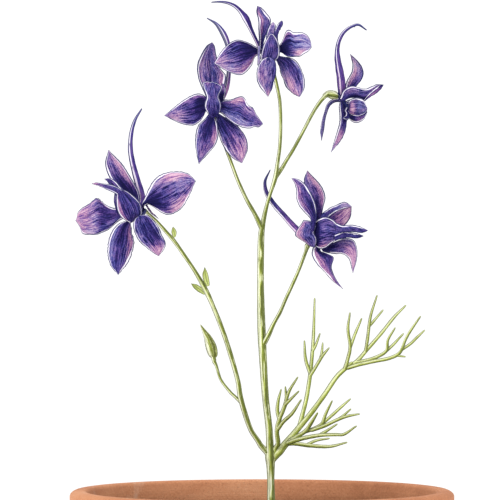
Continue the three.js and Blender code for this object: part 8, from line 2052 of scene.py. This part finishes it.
STEM_MARKS = [
    (0.0, 155.3, 0.8, 1.0, -0.05),
    (0.0, 152.5, 0.45, 1.8, 0.24),
    (0.12, 149.6, 0.28, 1.3, -0.42),
    (-0.15, 146.2, 0.2, 2.3, 0.2),
    (0.1, 143.1, 0.22, 1.8, -0.34),
    (0.05, 138.4, 0.35, 3.4, 0.26),
    (0.4, 132.7, 0.2, 3.9, 0.2),
    (-0.35, 131.7, 0.2, 4.2, -0.14),
    (0.05, 124.4, 0.16, 3.6, 0.2),
    (0.2, 119.7, 0.24, 4.2, -0.38),
    (-0.3, 118.2, 0.2, 3.1, 0.1),
    (0.8, 119.7, 0.2, 4.2, 0.15),
    (0.1, 110.4, 0.28, 3.4, 0.24),
    (0.5, 105.2, 0.18, 3.1, -0.3),
    (-0.2, 101.0, 0.2, 2.6, 0.12),
    (0.2, 90.1, 0.3, 3.1, -0.4),
    (-0.3, 89.0, 0.2, 2.6, -0.3),
]
m = Mesh()
add_tube(m, MAIN, 3, rings=260, sides=36, ridges=7, ridge=0.055, lump=0.02, marks=STEM_MARKS)
m.build("main_stem", stem_mat, "main_stem", "stem")
m = Mesh()
p = on_stem(TUBES["branch_a"], TUBES["bud_stalk"][0][2] - 1.6)
add_tube(m, stem_rows("bud_stalk", [p[0], p[1], p[2], 0.5]), 19, rings=60, sides=14, ridges=5, ridge=0.05)
m.build("bud_stalk", stem_mat, "bud_stalk", "stem")

# the bud: a closed body with five sepals that overlap in low steps, and a drawn-out tip
m = Mesh()
b = along(TUBES["bud"], 64)
b[:, 3] = np.maximum(b[:, 3], 0.14)
c, r = b[:, :3], b[:, 3]
d, up, rt = frames(c)
sides = 60
A = np.linspace(0, 2 * np.pi, sides, endpoint=False)[None, :]
tt = np.linspace(0, 1, 64)[:, None]
twist = A + 0.9 * tt
saw = (twist * 5 / (2 * np.pi)) % 1.0
R = r[:, None] * (1 + 0.075 * (saw - 0.5) * smooth01(tt * 5) * smooth01((1 - tt) * 3) + 0.02 * np.cos(20 * twist))
V = c[:, None] + up[:, None] * (R * np.cos(A))[:, :, None] + rt[:, None] * (R * np.sin(A))[:, :, None]
V = np.concatenate([V.reshape(-1, 3), [c[0] - d[0] * 0.3], [c[-1] + d[-1] * 0.35]])
faces, uv = [], []
for i in range(63):
    for j in range(sides):
        k = (j + 1) % sides
        faces.append((i * sides + j, i * sides + k, (i + 1) * sides + k, (i + 1) * sides + j))
        uv.append([(j / sides, i / 63), ((j + 1) / sides, i / 63), ((j + 1) / sides, (i + 1) / 63), (j / sides, (i + 1) / 63)])
for j in range(sides):
    k = (j + 1) % sides
    faces.append((64 * sides, k, j)); uv.append([(j / sides, 0)] * 3)
    faces.append((64 * sides + 1, 63 * sides + j, 63 * sides + k)); uv.append([(j / sides, 1)] * 3)
seam = np.where(saw > 0.9, (saw - 0.9) * 10, 0) * smooth01(tt * 4) * smooth01((1 - tt) * 3)
m.add(V, faces, uv, mm=np.concatenate([np.repeat(tt[:, 0] * 9, sides), [0, 9]]), seed=2.2, tone=0.06, flank=0.07, darkness=np.concatenate([(0.75 * seam).reshape(-1), [0, 0]]))
# join to the stalk
last = TUBES["bud_stalk"][-1]
add_tube(m, [[*last[:3], 0.5], [*((np.array(last[:3]) + c[0]) / 2), 0.62], [*c[0], 0.6], [*c[3], 0.5]], 77, rings=10, sides=14, lump=0.0)
m.build("bud", bud_mat, "bud", "bud")

for i, n in enumerate(("bract_top", "bract_right", "bract_left")):
    m = Mesh()
    base = np.asarray(BLADES[n][0], float).reshape(3, 3)[1]
    stem = along(TUBES["branch_a"], 400)
    near = stem[np.argmin(np.linalg.norm(stem[:, :3] - base, axis=1)), :3]
    add_blade(m, BLADES[n], 500 + i, nt=34, nu=17, claw=near, claw_w=0.35, ruffle=0.12, channel=0.22, rib=0.015, thick=0.26, scallop=0.03, ribs=5)
    m.build(n, bract_mat, n, "leaf")

# ------------------------------------------------------------------ the leaf
m = Mesh()
node = on_stem(MAIN, 150.4 - (458 - 250) * 0.26)
for i, rows in enumerate(LEAF):
    rows = [list(r) for r in rows]
    if i == 0:
        rows = [[node[0] + 0.5, node[1] - 0.2, node[2], 0.55], [node[0] + 1.3, rows[0][1] - 0.2, node[2] + 2.6, 0.55]] + rows[1:]
    if i == 5:
        rows = [[node[0] + 0.3, node[1], node[2] - 0.6, 0.85], [node[0] + 1.5, node[1] + 0.1, node[2] + 0.9, 0.95]] + rows
    n = max(14, int(np.linalg.norm(np.diff(np.array(rows)[:, :3], axis=0), axis=1).sum() * 2.2))
    rows = [[*r[:3], r[3] + 0.09] for r in rows]
    add_tube(m, rows, 300 + i, rings=n, sides=12, ridges=2, ridge=0.0, flat=0.72, lump=0.05, tip=2.2)
m.build("leaf", leaf_mat, "leaf", "leaf")

# ------------------------------------------------------------------ the pot and the compost
H, BASE, BODY, RIM, MOUTH, COLLAR, FLOOR, WALL, DRAIN = 88.0, 33.0, 45.5, 50.0, 45.2, 21.0, 6.0, 4.4, 6.0
inner = lambda z: (BASE - WALL) + (MOUTH - BASE + WALL) * (z - FLOOR) / (H - FLOOR)


def arc(cx, cz, r, a0, a1, n):
    return [(cx + r * math.cos(math.radians(a)), cz + r * math.sin(math.radians(a))) for a in np.linspace(a0, a1, n)]


def dense(pts, step=1.6):
    out = [pts[0]]
    for p, q in zip(pts[:-1], pts[1:]):
        n = max(1, int(math.hypot(q[0] - p[0], q[1] - p[1]) / step))
        out += [(p[0] + (q[0] - p[0]) * i / n, p[1] + (q[1] - p[1]) * i / n) for i in range(1, n + 1)]
    return out


z1 = H - COLLAR
profile = [(DRAIN + 0.5, 0.0), (BASE - 1.5, 0.0)] + arc(BASE - 1.45, 1.5, 1.5, -85, 0, 5) + [(BODY, z1 - 0.8)]
profile += arc(BODY + 0.8, z1 - 0.8, 0.8, 180, 90, 4) + [(RIM - 2.0, z1)] + arc(RIM - 1.9, z1 + 1.4, 1.4, -90, 0, 6)
profile += arc(RIM - 1.8, H - 1.8, 1.8, 0, 90, 7) + arc(MOUTH + 1.5, H - 1.5, 1.5, 90, 180, 7)
profile += [(inner(FLOOR + 3), FLOOR + 3)] + arc(inner(FLOOR + 3) - 3.0, FLOOR + 3, 3.0, 0, -90, 5) + [(DRAIN + 0.5, FLOOR), (DRAIN, FLOOR - 0.6), (DRAIN, 0.6), (DRAIN + 0.5, 0.0)]
profile = dense(profile)
seg = 144
m = Mesh()
P = np.array(profile[:-1])
th = np.linspace(0, 2 * np.pi, seg, endpoint=False)
w1, w2 = wobble(71), wobble(72)
verts, ins = [], []
for i, (r, z) in enumerate(P):
    # thrown clay: slightly out of round, with faint turning ridges on the wall
    wave = 0.10 * np.cos(2 * th + 0.7) + 0.06 * np.cos(3 * th + 2.0) + 0.05 * math.sin(z * 1.9) + 0.03 * math.sin(z * 4.7 + 1)
    k = min(1.0, z / 6.0)
    rr = r + wave * k - 0.12
    if i <= 1:
        rr = rr * 0 + r
    # small knocks on the collar's edges
    if z > H - 2.2 or abs(z - z1) < 1.2:
        kn = np.array([max(0.0, w1(a / 2.1) * w2(a / 0.9 + z * 0.02) - 0.25) for a in th])
        rr = rr - 0.35 * kn * (1 if r > MOUTH + 2 else -1)
    verts += [(rr[j] * math.cos(th[j]), rr[j] * math.sin(th[j]), z + 0.05 * math.sin(3 * th[j]) * (z > H - 3)) for j in range(seg)]
    inside = 1.0 if (z > FLOOR and r < inner(z) + 0.9) else 0.0
    ins += [inside] * seg
n = len(P)
faces, uv = [], []
for i in range(n):
    i2 = (i + 1) % n
    for j in range(seg):
        k = (j + 1) % seg
        faces.append((i * seg + j, i * seg + k, i2 * seg + k, i2 * seg + j))
        uv.append([(j / seg, i / n), ((j + 1) / seg, i / n), ((j + 1) / seg, (i + 1) / n), (j / seg, (i + 1) / n)])
m.add(verts, faces, uv, inside=ins)
pot = m.build("pot", clay_mat, "pot", "terracotta")

# compost: an uneven crumbly surface, closed below, with loose crumbs and bark fibres on it
rng = np.random.default_rng(5)
STEM = np.array(MAIN[1][:2])


def fbm(x, y, seed, base=0.05, octaves=6):
    r = np.random.default_rng(seed)
    out = np.zeros_like(x)
    for o in range(octaves):
        f = base * 1.9**o
        for _ in range(5):
            a = r.uniform(0, 6.28)
            out += np.sin(6.283 * f * (x * math.cos(a) + y * math.sin(a)) + r.uniform(0, 6.28)) / (1.75**o) / 5
    return out


def ground(x, y):
    rad = np.hypot(x, y)
    z = 80.0 + 1.0 * (1 - (rad / 44) ** 2) + 0.9 * fbm(x, y, 9) + 0.5 * np.abs(fbm(x, y, 10, 0.3, 4))
    ds = np.hypot(x - STEM[0], y - STEM[1])
    return z + 0.9 * np.exp(-((ds / 4.5) ** 2)) - 0.5 * smooth01((rad - 40) / 4)


rad = np.concatenate([np.linspace(0.0, 44.4, 90)])
sg = 160
ang = np.linspace(0, 2 * np.pi, sg, endpoint=False)
X = rad[1:, None] * np.cos(ang)[None]
Y = rad[1:, None] * np.sin(ang)[None]
Z = ground(X, Y)
top = np.stack([X, Y, Z], -1).reshape(-1, 3)
lower = []
for r0, z0 in ((44.0, 76.0), (inner(40) - 0.4, 40.0), (inner(12) - 0.4, 12.0), (inner(7) - 2.2, 6.5)):
    lower.append(np.stack([r0 * np.cos(ang), r0 * np.sin(ang), np.full(sg, z0)], -1))
verts = np.concatenate([top, *lower, [[0, 0, float(ground(np.array(0.0), np.array(0.0)))]], [[0, 0, 6.5]]])
nr = len(rad) - 1 + len(lower)
faces, uv = [], []
for i in range(nr - 1):
    for j in range(sg):
        k = (j + 1) % sg
        faces.append((i * sg + j, (i + 1) * sg + j, (i + 1) * sg + k, i * sg + k))
        uv.append([(0, 0)] * 4)
for j in range(sg):
    k = (j + 1) % sg
    faces.append((nr * sg, j, k)); uv.append([(0, 0)] * 3)
    faces.append((nr * sg + 1, (nr - 1) * sg + k, (nr - 1) * sg + j)); uv.append([(0, 0)] * 3)
m = Mesh()
m.add(verts, faces, uv, tone=0.0)


def ico():
    import bmesh

    bm = bmesh.new()
    bmesh.ops.create_icosphere(bm, subdivisions=2, radius=1.0)
    v = np.array([x.co[:] for x in bm.verts])
    f = [tuple(x.index for x in face.verts) for face in bm.faces]
    bm.free()
    return v, f


iv, ifc = ico()
for i in range(520):
    rr = 43.0 * math.sqrt(rng.uniform(0.0, 1.0))
    a = rng.uniform(0, 6.283)
    x, y = rr * math.cos(a), rr * math.sin(a)
    if math.hypot(x - STEM[0], y - STEM[1]) < 2.4:
        continue
    size = rng.choice([0.45, 0.7, 1.0, 1.5], p=[0.4, 0.35, 0.19, 0.06]) * rng.uniform(0.8, 1.2)
    q = rng.normal(size=(3, 3))
    q, _ = np.linalg.qr(q)
    s = np.array([1.0, rng.uniform(0.6, 0.95), rng.uniform(0.45, 0.8)]) * size
    f1 = rng.uniform(-1, 1, (4, 3)) * 2.4
    ph = rng.uniform(0, 6.28, 4)
    bumps = 1 + 0.16 * np.sin(iv @ f1.T + ph).sum(1) / 1.5
    v = ((iv * bumps[:, None]) * s) @ q.T
    z = float(ground(np.array(x), np.array(y))) + 0.18 * size
    m.add(v + np.array([x, y, z]), ifc, [[(0, 0)] * 3] * len(ifc), tone=rng.uniform(-0.35, 0.9))
for i in range(60):
    rr = 41.0 * math.sqrt(rng.uniform(0.0, 1.0)); a = rng.uniform(0, 6.283)
    x, y = rr * math.cos(a), rr * math.sin(a)
    if math.hypot(x - STEM[0], y - STEM[1]) < 4:
        continue
    ln = rng.uniform(2.0, 5.0); b2 = rng.uniform(0, 6.283)
    pts = []
    for q in np.linspace(-0.5, 0.5, 6):
        px = x + ln * q * math.cos(b2) + 0.5 * math.sin(4 * q + a); py = y + ln * q * math.sin(b2)
        pts.append([px, py, float(ground(np.array(px), np.array(py))) + 0.25 + 0.3 * math.cos(3 * q + a), rng.uniform(0.12, 0.22)])
    add_tube(m, pts, i + 700, rings=10, sides=6, lump=0.1, tone=rng.uniform(0.5, 1.3))
m.build("compost", soil_mat, "compost", "compost")

# ------------------------------------------------------------------ studio
def floor():
    me = bpy.data.meshes.new("studio_floor")
    R = 9.0
    v = [(R * math.cos(a), R * math.sin(a), 0.0) for a in np.linspace(0, 2 * math.pi, 96, endpoint=False)]
    me.from_pydata(v, [], [tuple(range(96))])
    o = bpy.data.objects.new("studio_floor", me)
    bpy.context.scene.collection.objects.link(o)
    k = Nodes("studio_floor")
    n = k.noise(k.obj(1.0), 40.0, 3.0)
    me.materials.append(k.finish(k.ramp(n, [(0.3, (0.93, 0.93, 0.926)), (0.7, (0.95, 0.95, 0.946))]), 0.9, Specular_IOR_Level=0.0))
    return o


floor()
world = bpy.data.worlds.new("studio")
bpy.context.scene.world = world
world.use_nodes = True
bg = world.node_tree.nodes["Background"]
bg.inputs[0].default_value = (1.0, 1.0, 1.0, 1)
bg.inputs[1].default_value = 1.12


def area(name, loc, size, power, target=(0, 0, 0.12)):
    d = bpy.data.lights.new(name, "AREA")
    d.shape, d.size, d.energy = "SQUARE", size, power
    o = bpy.data.objects.new(name, d)
    o.location = loc
    o.rotation_euler = (Vector(target) - Vector(loc)).to_track_quat("-Z", "Y").to_euler()
    bpy.context.scene.collection.objects.link(o)
    return o


area("key", (-0.75, -0.9, 1.05), 0.5, 9.0)
area("fill", (0.9, -0.7, 0.5), 0.7, 2.0)

sc = bpy.context.scene
sc.view_settings.view_transform = "Standard"
sc.view_settings.look = "None"
sc.view_settings.exposure = 0.0
cam = bpy.data.cameras.new("camera")
cam.sensor_width = 36.0
cam.lens = 36.0 * 1000.0 / 130.0
cam.clip_start, cam.clip_end = 0.05, 60.0
co = bpy.data.objects.new("camera", cam)
co.location = (-0.00312, -1.0, 0.1504)
co.rotation_euler = (math.pi / 2, 0, 0)
sc.collection.objects.link(co)
sc.camera = co
